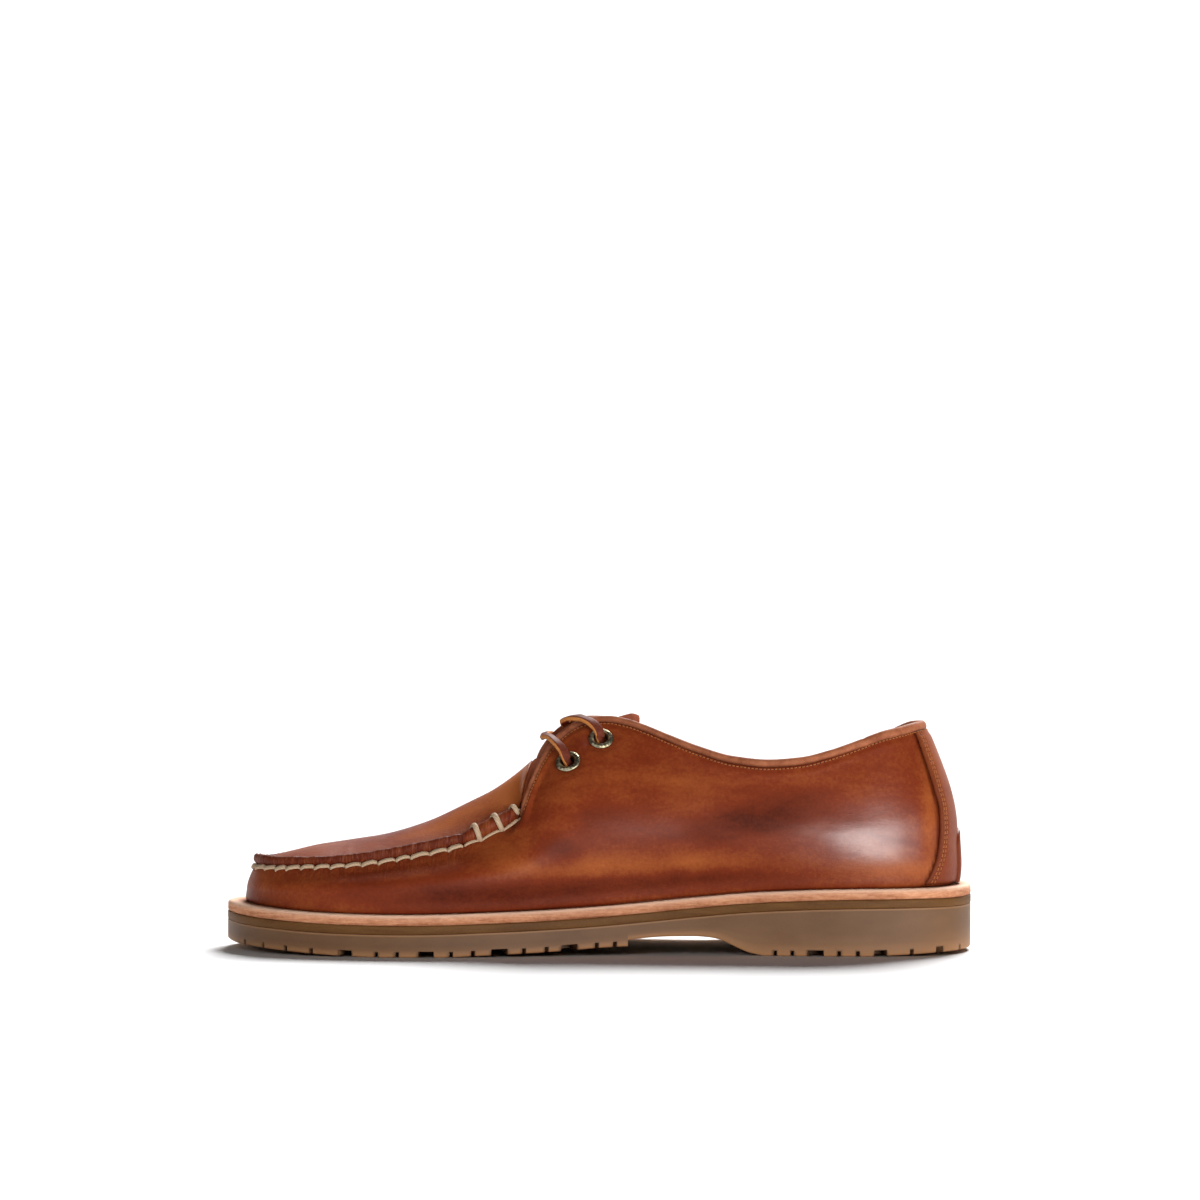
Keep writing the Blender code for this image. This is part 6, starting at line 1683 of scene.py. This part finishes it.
# ------------------------------------------------------------------ eyelets and lace
def build_eyelet(name, centre, n, node, seed):
    back = WALL + 0.8
    # (distance along the outward normal, radius) round the section: rolled flange, throat, barrel, clinched back
    front = catmull([(-0.15, 4.25), (0.02, 4.8), (0.3, 4.98), (0.62, 4.85), (0.95, 4.4), (1.1, 3.9), (1.02, 3.3), (0.7, 2.85), (0.1, 2.62)], 3)
    rest = [(-1.0, 2.6), (-back + 0.2, 2.6), (-back - 0.2, 2.75), (-back - 0.5, 3.3), (-back - 0.4, 4.0), (-back - 0.1, 4.15), (-back + 0.1, 3.9), (-back + 0.15, 3.35), (-back + 0.4, 3.25), (-0.5, 3.25), (-0.2, 3.5)]
    section = np.vstack([front, rest])
    u = np.array(Vector(n).orthogonal().normalized())
    v = np.cross(n, u)
    sides = 72
    rings, values = [], []
    for k in range(sides):
        a = 2 * math.pi * k / sides
        d = u * math.cos(a) + v * math.sin(a)
        ring = []
        for m, (h, r) in enumerate(section):
            worn = 0.05 * float(noise3(np.array([math.cos(a) * 4, math.sin(a) * 4, m * 0.4]), seed)) if m < len(front) else 0.0
            tick = 0.0
            if m < len(front) and 3.5 < r < 4.75:  # low radial relief round the flange
                tick = -0.1 * (0.5 + 0.5 * math.cos(a * 18)) ** 2 - 0.05 * float(noise1(np.array(a * 5.0), seed))
            ring.append(centre + n * (h + worn + tick - 0.3) + d * (r + worn))
            values.append(max(0.0, min(1.0, -tick * 6)) * 0.7 + (0.55 if (m < len(front) and r < 3.0) or m >= len(front) else 0.0) + 0.4 * max(0.0, (r - 4.85) / 0.13) * (h < 0.3))
        rings.append(ring)
    soup = Soup()
    c = len(section)
    for ring in rings:
        soup.points += ring
        soup.values += [0.0] * c
    for k in range(sides):
        j = (k + 1) % sides
        for m in range(c):
            w = (m + 1) % c
            soup.faces.append((k * c + m, j * c + m, j * c + w, k * c + w))
            soup.mats.append(0)
    piece = soup.build(name, [BRASS], attributes={"shade": values})
    return finish_piece(piece, [node])


SEATS = {}
for _k, (_c, _n, _s) in enumerate(EYELET_SEATS):
    _where = ("near" if _s < 0 else "far") + "_" + EYELETS[_k % 2][0]
    SEATS[_where] = (np.array(_c), np.array(_n))
    build_eyelet("eyelet_ring_" + _where, np.array(_c), np.array(_n), "eyelet_" + _where, 110 + _k)

LACE_W, LACE_T = 4.0, 1.9


def lace_strip(soup, path, faces, widths, thicks, seed):
    """A flat rawhide strip: two wide skin faces and two cut edges."""
    path, faces = np.asarray(path, float), np.asarray(faces, float)
    n = len(path)
    t = np.gradient(path, axis=0)
    t /= np.linalg.norm(t, axis=1)[:, None]
    across = np.cross(t, faces)
    across /= np.linalg.norm(across, axis=1)[:, None]
    face = np.cross(across, t)
    s = np.concatenate([[0], np.cumsum(np.linalg.norm(np.diff(path, axis=0), axis=1))])
    # (u across, v out) in half widths, with the material of the side that follows
    outline = [
        (-0.97, -0.5, 1), (-1.02, 0.0, 1), (-0.98, 0.45, 1), (-0.9, 0.8, 0), (-0.76, 0.98, 0), (-0.55, 1.05, 0), (-0.2, 1.08, 0), (0.2, 1.08, 0), (0.55, 1.05, 0),
        (0.76, 0.98, 0), (0.9, 0.8, 1), (0.98, 0.45, 1), (1.02, 0.0, 1), (0.97, -0.5, 1), (0.92, -0.86, 0), (0.7, -1.0, 0), (0.0, -1.02, 0), (-0.7, -1.0, 0), (-0.92, -0.86, 1),
    ]
    c = len(outline)
    start = len(soup.points)
    for i in range(n):
        twist = 0.05 * float(noise1(np.array(s[i] / 4.0), seed))
        for j, (u, v, _) in enumerate(outline):
            ragged = 0.06 * float(noise3(np.array([s[i] / 0.9, u * 2.0, v * 2.0]), seed + 1)) + 0.05 * float(noise3(np.array([s[i] / 2.6, u, v]), seed + 2))
            wrinkle = -0.10 * max(0.0, float(noise1(np.array(s[i] / 1.3 + 0.35 * u), seed + 3))) if v > 0.8 else 0.0
            a = u * widths[i] / 2 + v * twist
            b = v * (thicks[i] / 2) * (1 + wrinkle) + u * twist
            soup.points.append(path[i] + across[i] * (a + ragged * np.sign(u)) + face[i] * (b + 0.5 * ragged))
            soup.values.append(0.0)
    for i in range(n - 1):
        for j in range(c):
            a, b = start + i * c + j, start + i * c + (j + 1) % c
            soup.faces.append((a, b, b + c, a + c))
            soup.mats.append(outline[j][2])
    soup.faces += [tuple(start + j for j in reversed(range(c))), tuple(start + (n - 1) * c + j for j in range(c))]
    soup.mats += [1, 1]


# One bar, near half: how far the middle of the strip is from the eyelet's seat, x, y, z, and its face direction.
BAR_LOWER = [
    (-0.9, -0.6, 2.0, 0.35, -0.80, 0.48), (-2.1, 0.0, 4.6, 0.44, -0.76, 0.50), (-4.4, 1.6, 7.3, 0.46, -0.66, 0.60), (-7.2, 6.2, 9.4, 0.30, -0.52, 0.80),
    (-9.4, 13.0, 9.6, -0.30, -0.18, 0.93),
]
BAR_UPPER = [
    (-0.5, -0.4, 1.9, 0.30, -0.82, 0.48), (-1.8, -0.2, 4.4, 0.42, -0.76, 0.52), (-4.4, 1.0, 6.7, 0.36, -0.62, 0.70), (-8.2, 3.8, 8.1, 0.14, -0.46, 0.88),
    (-12.2, 7.6, 8.0, -0.10, -0.20, 0.97), (-14.6, 12.4, 6.8, -0.30, -0.08, 0.95),
]


def bar_path(eyelet, ridge_x, lift):
    """Control points of one bar over the throat, its faces, widths and thicknesses, from inside one bore to inside the other."""
    name = EYELETS[eyelet][0]
    near, n_near = SEATS["near_" + name]
    far, n_far = SEATS["far_" + name]
    table = BAR_LOWER if eyelet == 0 else BAR_UPPER
    points, faces, widths, thicks = [], [], [], []

    def push(p, face, w=LACE_W, t=LACE_T):
        points.append(np.array(p, float))
        faces.append(np.array(face, float) / np.linalg.norm(face))
        widths.append(w)
        thicks.append(t)

    def half(seat, n, side):
        mirror = np.array([1, -side, 1.0])  # the table is for the inner side
        out = []
        first = np.array(table[0][3:]) * mirror
        out.append((seat - n * 4.2, first, 3.3, 1.4))
        out.append((seat - n * 2.0 + np.array([-0.3, 0, 0.2]), first, 3.3, 1.5))
        out.append((seat - n * 0.2 + np.array([-0.5, 0, 0.5]), first, 3.4, 1.6))
        for row in table:
            offset = np.array(row[:3]) * mirror - [0, 0, 1.1 * (side > 0) * min(1.0, row[2] / 7.0)]
            out.append((seat + offset, np.array(row[3:]) * mirror, 3.9 if row is table[0] else LACE_W, 1.8 if row is table[0] else LACE_T))
        return out

    a, b = half(near, n_near, -1), half(far, n_far, 1)
    for row in a:
        push(*row)
    top_a, top_b = a[-1][0], b[-1][0]
    middle = (top_a + top_b) / 2
    middle[2] += -0.3 if eyelet == 0 else -0.6
    push(middle, (-0.62 if eyelet == 0 else -0.6, 0, 0.8), 3.4)
    for row in b[::-1]:
        push(*row)
    return [np.array(v) for v in (points, faces, widths, thicks)]


def sweep_lace(name, node, parts, seed):
    soup = Soup()
    for k, (points, faces, widths, thicks) in enumerate(parts):
        per = 6
        path, face = catmull(points, per), catmull(faces, per)
        f = np.linspace(0, len(points) - 1, len(path))
        lace_strip(soup, path, face, np.interp(f, range(len(points)), widths), np.interp(f, range(len(points)), thicks), seed + 5 * k)
    piece = soup.build(name, [LACE_FACE, LACE_EDGE])
    return finish_piece(piece, [node])


def inside_run(name_a, name_b):
    """The lace between two eyelets of one side, flat against the inside of the leather."""
    (a, n_a), (b, n_b) = SEATS[name_a], SEATS[name_b]
    points, faces = [], []
    for t in np.linspace(-0.06, 1.02, 7):
        n = n_a * (1 - t) + n_b * t
        n /= np.linalg.norm(n)
        points.append(a * (1 - t) + b * t - n * 3.95)
        faces.append(-n)
    return np.array(points), np.array(faces), np.full(7, 3.4), np.full(7, 0.9)


sweep_lace("lace_lower", "lace_lower_bar", [bar_path(LACE_BARS[0][1], LACE_BARS[0][2], LACE_BARS[0][3]), inside_run("near_lower", "near_upper"), inside_run("far_lower", "far_upper")], 130)
sweep_lace("lace_upper", "lace_upper_bar", [bar_path(LACE_BARS[1][1], LACE_BARS[1][2], LACE_BARS[1][3])], 160)


# ------------------------------------------------------------------ welt, midsole, outsole and footbed
def sole_ring_stations():
    step = [at_x(FOREFOOT_END - 0.03), at_x(FOREFOOT_END + 0.03)]
    half = np.unique(np.concatenate([np.linspace(0, 1, 72), at_x(np.linspace(-98.5, 104, 136)), step, np.linspace(2, 3, 64)]))
    q = np.concatenate([half[::-1], half[1:-1]])
    side = np.concatenate([-np.ones(len(half)), np.ones(len(half) - 2)])
    return q, side


SQ, SSIDE = sole_ring_stations()
SOX, SOY, SDX, SDY = station(SQ, SSIDE)
SN = len(SQ)
_reach_cache = {}


def sole_reach(inset):
    key = round(float(inset), 4)
    if key not in _reach_cache:
        _reach_cache[key] = reach(SQ, SSIDE, key)
    return _reach_cache[key]


SOLE_RUN = np.concatenate([[0], np.cumsum(np.hypot(np.diff(SOX + SDX * sole_reach(0)), np.diff(SOY + SDY * sole_reach(0))))])


def sole_ring(inset, z_of_x, ragged=None):
    r = sole_reach(inset)
    if ragged is not None:
        r = r + ragged
    x, y = SOX + SDX * r, SOY + SDY * r
    return np.stack([x, y, z_of_x(x)], -1)


def band_faces(rings):
    """Faces round and up a list of rings, given by first index and all of the same length."""
    out = []
    for a, b in zip(rings, rings[1:]):
        for i in range(SN):
            j = (i + 1) % SN
            out.append((a + i, a + j, b + j, b + i))
    return out


def cap_faces(points, ring_start, z_of_x, shares=(0.6, 0.25)):
    """Closes a ring with strips that run in to the spine, where both sides share their points."""
    faces = []
    ring = [points[ring_start + i] for i in range(SN)]
    ids = [[ring_start + i for i in range(SN)]]
    for s in shares:
        row = []
        for i in range(SN):
            p = np.array([SOX[i] + (ring[i][0] - SOX[i]) * s, SOY[i] + (ring[i][1] - SOY[i]) * s, 0.0])
            p[2] = float(z_of_x(np.array(p[0])))
            points.append(p)
            row.append(len(points) - 1)
        ids.append(row)
    centre, last = {}, []
    for i in range(SN):
        key = 1.0 if SQ[i] <= 1 else 2.0 if SQ[i] >= 2 else round(float(SQ[i]), 7)
        if key not in centre:
            points.append(np.array([SOX[i], SOY[i], float(z_of_x(np.array(SOX[i])))]))
            centre[key] = len(points) - 1
        last.append(centre[key])
    ids.append(last)
    for a, b in zip(ids, ids[1:]):
        for i in range(SN):
            j = (i + 1) % SN
            face = list(dict.fromkeys((a[i], a[j], b[j], b[i])))
            if len(face) > 2:
                faces.append(tuple(face))
    return faces


def build_layer(name, rows, materials, node, closed=False, attributes=None, sharp=None):
    """rows: (inset, height function, ragged or None, attribute values) from low outside to high."""
    points, starts, values = [], [], {k: [] for k in (attributes or [])}
    for inset, z_of_x, ragged, here in rows:
        starts.append(len(points))
        ring = sole_ring(inset, z_of_x, ragged)
        points += list(ring)
        for k in values:
            values[k] += list(np.broadcast_to(here.get(k, 0.0), (SN,)))
    faces = band_faces(starts + (starts[:1] if closed else []))
    if not closed:
        faces += cap_faces(points, starts[0], rows[0][1])
        faces += cap_faces(points, starts[-1], rows[-1][1])
        for k in values:
            values[k] += [values[k][-1]] * (len(points) - len(values[k]))
    piece = make(name, points, faces, materials, values, sharp=sharp)
    return finish_piece(piece, [node] if node else [])


def build_welt():
    def low(x):
        return F_TOP(x) + GAP + MIDSOLE_T + GAP

    s = SOLE_RUN
    fibre = [0.10 * noise1(s / 1.1, 171 + k) + 0.09 * noise1(s / 3.7, 181 + k) for k in range(6)]
    wobble = 0.16 * noise1(s / 9.0, 191)
    patches = np.clip(0.5 * noise1(s / 16.0, 195) + 0.25 * noise1(s / 5.0, 196), 0, 1)

    def at(k, extra=0.0):
        return lambda x: low(x) + WELT_T * k + extra

    # shade: painted shade at the welt's lower edge by the midsole and where it meets the upper, plus random darker
    # patches; top: painted highlight along the top edge
    rows = [
        (0.0, at(0.0, 0.02), -0.35 + fibre[0], {"shade": 0.55, "top": 0.0}),
        (0.0, at(0.12), fibre[1] * 0.8 - 0.05, {"shade": 0.25 + 0.6 * patches, "top": 0.0}),
        (0.0, at(0.3), fibre[2], {"shade": 0.05 + 0.7 * patches, "top": 0.0}),
        (0.0, at(0.47), fibre[3], {"shade": 0.0 + 0.6 * patches, "top": 0.05}),
        (0.0, at(0.64), fibre[4] - 0.02, {"shade": 0.0 + 0.35 * patches, "top": 0.15}),
        (0.12, at(0.79), fibre[5], {"shade": 0.0, "top": 0.45}),
        (0.45, lambda x: low(x) + WELT_T * 0.91, fibre[2] * 0.8, {"shade": 0.0, "top": 0.85}),
        (1.0, lambda x: low(x) + WELT_T - 0.06, fibre[1] * 0.6, {"shade": 0.0, "top": 1.0}),
        (2.0, lambda x: low(x) + WELT_T, None, {"shade": 0.0, "top": 0.9}),
        (3.4, lambda x: low(x) + WELT_T - 0.02, None, {"shade": 0.05, "top": 0.7}),
        (4.6, lambda x: low(x) + WELT_T - 0.12, None, {"shade": 0.25, "top": 0.4}),
        (6.2, lambda x: low(x) + WELT_T - 0.1, None, {"shade": 0.5, "top": 0.1}),
        (15.0, lambda x: low(x) + WELT_T, None, {"shade": 0.3, "top": 0.0}),
        (15.0, at(0.0, 0.02), None, {"shade": 0.5, "top": 0.0}),
    ]
    return build_layer("welt_strip", rows, [WELT_SKIN], "welt", closed=True, attributes=("shade", "top"))


def build_midsole():
    def low(x):
        return F_TOP(x) + GAP

    s = SOLE_RUN
    rough = 0.07 * noise1(s / 2.2, 201) + 0.06 * noise1(s / 8.0, 202)
    rows = [
        (0.2, lambda x: low(x) - 0.24, None, {}), (0.04, lambda x: low(x) + 0.05, rough, {}), (-0.04, lambda x: low(x) + 0.6, rough, {}),
        (-0.06, lambda x: low(x) + 2.2, rough, {}), (-0.02, lambda x: low(x) + 2.95, rough, {}), (0.2, lambda x: low(x) + MIDSOLE_T + 0.22, None, {}),
    ]
    return build_layer("midsole_band", rows, [MIDSOLE_SKIN], "midsole")


NARROW = 0.85
SLOTS = [
    (-141.1, NARROW, 6), (-132.8, NARROW, 8), (-122.9, NARROW, 9), (-112.4, NARROW, 10), (-98.9, 4.7, 14), (-86.7, NARROW, 10), (-78.5, NARROW, 10),
    (-67.2, 5.5, 15), (-57.4, NARROW, 10), (-48.9, NARROW, 10), (-38.6, 5.8, 15), (-29.0, NARROW, 10), (-20.2, NARROW, 9), (-11.3, 5.9, 13), (-0.5, NARROW, 9),
    (6.6, NARROW, 8), (69.7, NARROW, 9), (76.4, NARROW, 9), (85.6, 5.9, 13), (94.9, NARROW, 9), (102.3, NARROW, 9), (111.3, 4.4, 12), (123.8, NARROW, 8),
    (135.2, 2.9, 10), (144.0, NARROW, 6),
]


def edge_station(x, side):
    """Point of the welt outline at x on one side, and the outward direction there."""
    c = WELT_CURVE
    best = None
    for k in range(len(c)):
        a, b = c[k], c[(k + 1) % len(c)]
        if (a[0] - x) * (b[0] - x) <= 0 and a[0] != b[0]:
            t = (x - a[0]) / (b[0] - a[0])
            y = a[1] + t * (b[1] - a[1])
            if (y - float(F_SPINE(x))) * side > 0:
                out = -(INWARD[k] * (1 - t) + INWARD[(k + 1) % len(c)] * t)
                best = (np.array([x, y]), out / np.linalg.norm(out))
    return best


def build_outsole():
    s = SOLE_RUN
    rough = 0.06 * noise1(s / 3.0, 211) + 0.05 * noise1(s / 10.0, 212)

    def rim(x):
        return sole_bottom(x)

    def recess(x):
        x = np.asarray(x, float)
        return np.where(x < FOREFOOT_END, F_FORE(x) + 2.4, np.maximum(sole_bottom(x), F_HEEL(x) + 2.4))

    height = lambda k: (lambda x: rim(x) + 0.9 + (F_TOP(x) - 0.9 - rim(x) - 0.9) * k)
    # warm_tone_and_painted_light: a painted highlight along the rounded bottom edge that fades up the side wall, and
    # along the top edge; on the tread face a warmer tone
    rows = [
        (15.5, recess, None, {"warm_tone_and_painted_light": 0.8}),
        (15.0, recess, None, {"warm_tone_and_painted_light": 0.8}),
        (14.6, lambda x: rim(x) + 0.02, None, {"warm_tone_and_painted_light": 0.9}),
        (7.0, rim, None, {"warm_tone_and_painted_light": 0.9}),
        (1.2, rim, None, {"warm_tone_and_painted_light": 0.95}),
        (0.45, lambda x: rim(x) + 0.08, rough, {"warm_tone_and_painted_light": 1.0}),
        (0.1, lambda x: rim(x) + 0.4, rough, {"warm_tone_and_painted_light": 1.0}),
        (0.0, height(0.0), rough, {"warm_tone_and_painted_light": 0.85}),
        (0.0, height(0.12), rough, {"warm_tone_and_painted_light": 0.55}),
        (0.0, height(0.25), rough, {"warm_tone_and_painted_light": 0.2}),
        (0.0, height(0.5), rough, {"warm_tone_and_painted_light": 0.02}),
        (0.0, height(0.8), rough, {"warm_tone_and_painted_light": 0.0}),
        (0.0, height(1.0), rough, {"warm_tone_and_painted_light": 0.0}),
        (-0.02, lambda x: F_TOP(x) - 0.5, rough, {"warm_tone_and_painted_light": 0.5}),
        (0.06, lambda x: F_TOP(x) - 0.1, rough, {"warm_tone_and_painted_light": 0.5}),
        (0.3, lambda x: F_TOP(x), None, {"warm_tone_and_painted_light": 0.2}),
    ]
    points, starts, warm_tone_and_painted_light = [], [], []
    for inset, z_of_x, ragged, here in rows:
        starts.append(len(points))
        points += list(sole_ring(inset, z_of_x, ragged))
        warm_tone_and_painted_light += [here["warm_tone_and_painted_light"]] * SN
    faces = band_faces(starts)
    faces += cap_faces(points, starts[0], recess)
    faces += cap_faces(points, starts[-1], F_TOP)
    warm_tone_and_painted_light += [0.5] * (len(points) - len(warm_tone_and_painted_light))
    sole = make("outsole_rubber_unit", points, faces, [GUM], {"warm_tone_and_painted_light": warm_tone_and_painted_light})

    cut = Soup()
    for x, width, depth in SLOTS:
        for side in (-1, 1):
            p, d = edge_station(x, side)
            across = np.array([-d[1], d[0]])
            z0 = float(sole_bottom(np.array(p[0]))) - 1.5
            z1 = float(sole_bottom(np.array(p[0]))) + (2.4 if width > 1 else 2.15)
            slope = float(sole_bottom(np.array(p[0] + 1)) - sole_bottom(np.array(p[0] - 1))) / 2
            k0 = len(cut.points)
            flare = 0.25 if width > 1 else 0.0
            mouth = 0.35 if width < 1 else 0.3  # slots open a little towards the edge
            for z, w in ((z0, width / 2 + flare), (z1, width / 2)):
                for a, t, m in ((-1, 4, mouth), (1, 4, mouth), (1, 0, mouth), (1, -2.2, 0), (1, -depth, 0), (-1, -depth, 0), (-1, -2.2, 0), (-1, 0, mouth)):
                    at = p + across * a * (w + m) + d * t
                    cut.points.append(np.array([at[0], at[1], z + slope * (at[0] - p[0]) * (z == z1)]))
                    cut.values.append(1.0)
            cut.faces += [tuple(k0 + i for i in range(8)), tuple(k0 + 8 + i for i in reversed(range(8)))]
            cut.mats += [0, 0]
            for i in range(8):
                k = (i + 1) % 8
                cut.faces.append((k0 + i, k0 + 8 + i, k0 + 8 + k, k0 + k))
                cut.mats.append(0)
    # the slot walls take the full value: painted light on the slot walls
    cutter = cut.build("slot_cutter", [GUM], attributes={"warm_tone_and_painted_light": [1.0] * len(cut.points)}, smooth=False)
    m = sole.modifiers.new("slots", "BOOLEAN")
    m.operation, m.solver, m.object = "DIFFERENCE", "EXACT", cutter
    graph = bpy.context.evaluated_depsgraph_get()
    result = bpy.data.meshes.new_from_object(sole.evaluated_get(graph), depsgraph=graph)
    sole.modifiers.clear()
    if len(result.vertices) > 1000:
        sole.data = result
    bpy.data.objects.remove(cutter, do_unlink=True)
    sole.data.shade_smooth()
    sole.data.set_sharp_from_angle(angle=math.radians(38))
    finish_piece(sole, ["outsole"])

    # centre of the tread: plain bars standing in the recess, clear of the edge lugs
    bars = Soup()
    for x0, x1, half in (
        (-131, -125, 14), (-119, -112, 22), (-106, -99, 27), (-93, -86, 30), (-80, -73, 32), (-67, -60, 32), (-54, -47, 30), (-41, -34, 27), (-28, -21, 23), (-15, -8, 19), (-2, 4, 15),
        (72, 78, 14), (84, 90, 16), (96, 102, 17), (108, 114, 17), (120, 126, 14),
    ):
        y = float(F_SPINE(x0)) if x0 < 20 else 0.3
        for half_side in (-1, 1):
            a, b = y + half_side * 1.6, y + half_side * half
            top = max(float(recess(np.array(x0))), float(recess(np.array(x1)))) + 0.4
            outline = [(x0 + 1.5, a), (x1 + 1.5, a), (x1, b), (x0, b)]
            k0 = len(bars.points)
            for level, inset in ((0, 0.0), (1, 0.0), (2, 0.35)):
                cx = sum(p[0] for p in outline) / 4
                cy = sum(p[1] for p in outline) / 4
                for px, py in outline:
                    qx, qy = px + (cx - px) * inset / 4, py + (cy - py) * inset / max(4, half / 2)
                    low_z = float(sole_bottom(np.array(qx)))
                    z = top if level == 0 else low_z + 0.75 if level == 1 else low_z + 0.4
                    bars.points.append(np.array([qx, qy, z]))
                    bars.values.append(1.0)
            for lvl in (0, 1):
                for m in range(4):
                    w = (m + 1) % 4
                    bars.faces.append((k0 + lvl * 4 + m, k0 + lvl * 4 + w, k0 + lvl * 4 + 4 + w, k0 + lvl * 4 + 4 + m))
                    bars.mats.append(0)
            bars.faces += [tuple(k0 + m for m in (3, 2, 1, 0)), tuple(k0 + 8 + m for m in range(4))]
            bars.mats += [0, 0]
    piece = bars.build("tread_bars", [GUM], attributes={"warm_tone_and_painted_light": [0.85] * len(bars.points)}, smooth=False)
    return finish_piece(piece)


def build_footbed():
    core, rim = 15.3, 10.6

    def base(x):
        return F_TOP(x) + GAP + MIDSOLE_T + GAP + 0.02

    def shelf(x):
        return welt_top(x) + GAP

    def top(x):
        x = np.asarray(x, float)
        arch = 1.2 * np.exp(-(((x - 28) / 22) ** 2))
        return welt_top(x) + GAP + 3.0 + arch * 0.0

    rows = [
        (core, base, None, {}), (core, shelf, None, {}), (rim, shelf, None, {}), (rim, lambda x: top(x) - 0.7, None, {}), (rim + 0.25, lambda x: top(x) - 0.25, None, {}),
        (rim + 0.9, top, None, {}), (rim + 4.0, lambda x: top(x) - 0.15, None, {}),
    ]
    build_layer("footbed", rows, [FOOTBED], "insole", attributes=("shade",))
    # heel pad: a thin second layer with a rounded front
    pad = Soup()
    rings = []
    for inset, lift in ((0.0, 0.04), (0.0, 0.5), (0.5, 0.85), (1.4, 0.95)):
        ring = []
        for k in range(72):
            a = 2 * math.pi * k / 72
            c, sn = math.cos(a), math.sin(a)
            x = 98 + (37 - inset) * math.copysign(abs(c) ** 0.8, c)
            y = (21.5 - inset - (2.0 if c < 0 else 0.0)) * math.copysign(abs(sn) ** 0.85, sn)
            ring.append(np.array([x, y, float(top(x)) - 0.15 + lift]))
        rings.append(ring)
    pad.grid(rings, closed=True)
    pad.faces += [tuple(reversed(range(72))), tuple(3 * 72 + k for k in range(72))]
    pad.mats += [0, 0]
    return finish_piece(pad.build("footbed_heel_pad", [FOOTBED_PAD], attributes={"shade": [0.0] * len(pad.points)}, sharp=50))


build_welt()
build_midsole()
build_outsole()
build_footbed()


# ------------------------------------------------------------------ floor, light and camera
def area(name, location, target, size, power, colour=(1, 1, 1), shape="RECTANGLE", spread=180):
    light = bpy.data.lights.new(name, "AREA")
    light.shape = shape
    light.size, light.size_y = size
    light.energy = power
    light.color = colour
    light.spread = math.radians(spread)
    obj = bpy.data.objects.new(name, light)
    obj.location = location
    direction = Vector(target) - Vector(location)
    obj.rotation_euler = direction.to_track_quat("-Z", "Y").to_euler()
    bpy.context.scene.collection.objects.link(obj)
    return obj


floor_mesh = bpy.data.meshes.new("floor")
floor_mesh.from_pydata([(-8, -3, 0), (8, -3, 0), (8, 5, 0), (-8, 5, 0)], [], [(0, 1, 2, 3)])
floor = bpy.data.objects.new("floor", floor_mesh)
bpy.context.scene.collection.objects.link(floor)
plain = Nodes("floor_paper")
floor_mesh.materials.append(plain.out((0.9, 0.9, 0.9, 1), 0.95, None, Specular_IOR_Level=0.0))

wall_mesh = bpy.data.meshes.new("backdrop")
wall_mesh.from_pydata([(-8, 5, 0), (8, 5, 0), (8, 5, 1.5), (-8, 5, 1.5)], [], [(0, 1, 2, 3)])
wall = bpy.data.objects.new("backdrop", wall_mesh)
bpy.context.scene.collection.objects.link(wall)
lit = Nodes("backdrop_paper")
wall_mesh.materials.append(lit.out((0.8, 0.8, 0.8, 1), 1.0, None, Specular_IOR_Level=0.0, Emission_Color=(1, 1, 1, 1), Emission_Strength=0.9))
wall.visible_shadow = False

world = bpy.data.worlds.new("studio")
bpy.context.scene.world = world
world.use_nodes = True
world.node_tree.nodes["Background"].inputs[0].default_value = (1, 1, 1, 1)
world.node_tree.nodes["Background"].inputs[1].default_value = 0.035

overhead = bpy.data.lights.new("overhead", "SUN")
overhead.energy, overhead.angle = 6.3, math.radians(28)
overhead_object = bpy.data.objects.new("overhead", overhead)
overhead_object.rotation_euler = (Vector((0, 0, 0)) - Vector((0.32, 1.0, 1.0))).to_track_quat("-Z", "Y").to_euler()
bpy.context.scene.collection.objects.link(overhead_object)

area("key_softbox", (0.54, -1.24, 0.165), (0.1, -0.035, 0.044), (0.66, 0.22), 11.0)
area("key_wrap", (1.02, -0.86, 0.17), (0.118, -0.03, 0.044), (0.5, 0.22), 3.2)

area("front_fill", (-0.75, -1.15, 0.75), (-0.06, 0, 0.05), (0.8, 0.8), 3.0)

# the key lights are flagged off the floor, so that the shoe's own shadow stays dark under its edge
off_floor = bpy.data.collections.new("off_floor")
off_floor.objects.link(floor)
off_floor.collection_objects[0].light_linking.link_state = "EXCLUDE"
for light_object in [o for o in bpy.context.scene.collection.objects if o.name.startswith("key_")]:
    light_object.light_linking.receiver_collection = off_floor

camera_data = bpy.data.cameras.new("camera")
camera_data.lens, camera_data.sensor_width, camera_data.clip_start = 118.88, 36.0, 0.01
camera = bpy.data.objects.new("camera", camera_data)
camera.location = (0, -1.6, 0.14)
camera.rotation_euler = (Matrix.Rotation(math.radians(90), 3, "X") @ Matrix.Rotation(math.radians(0.3), 3, "Z")).to_euler()
bpy.context.scene.collection.objects.link(camera)
bpy.context.scene.camera = camera
bpy.context.scene.view_settings.view_transform = "Standard"
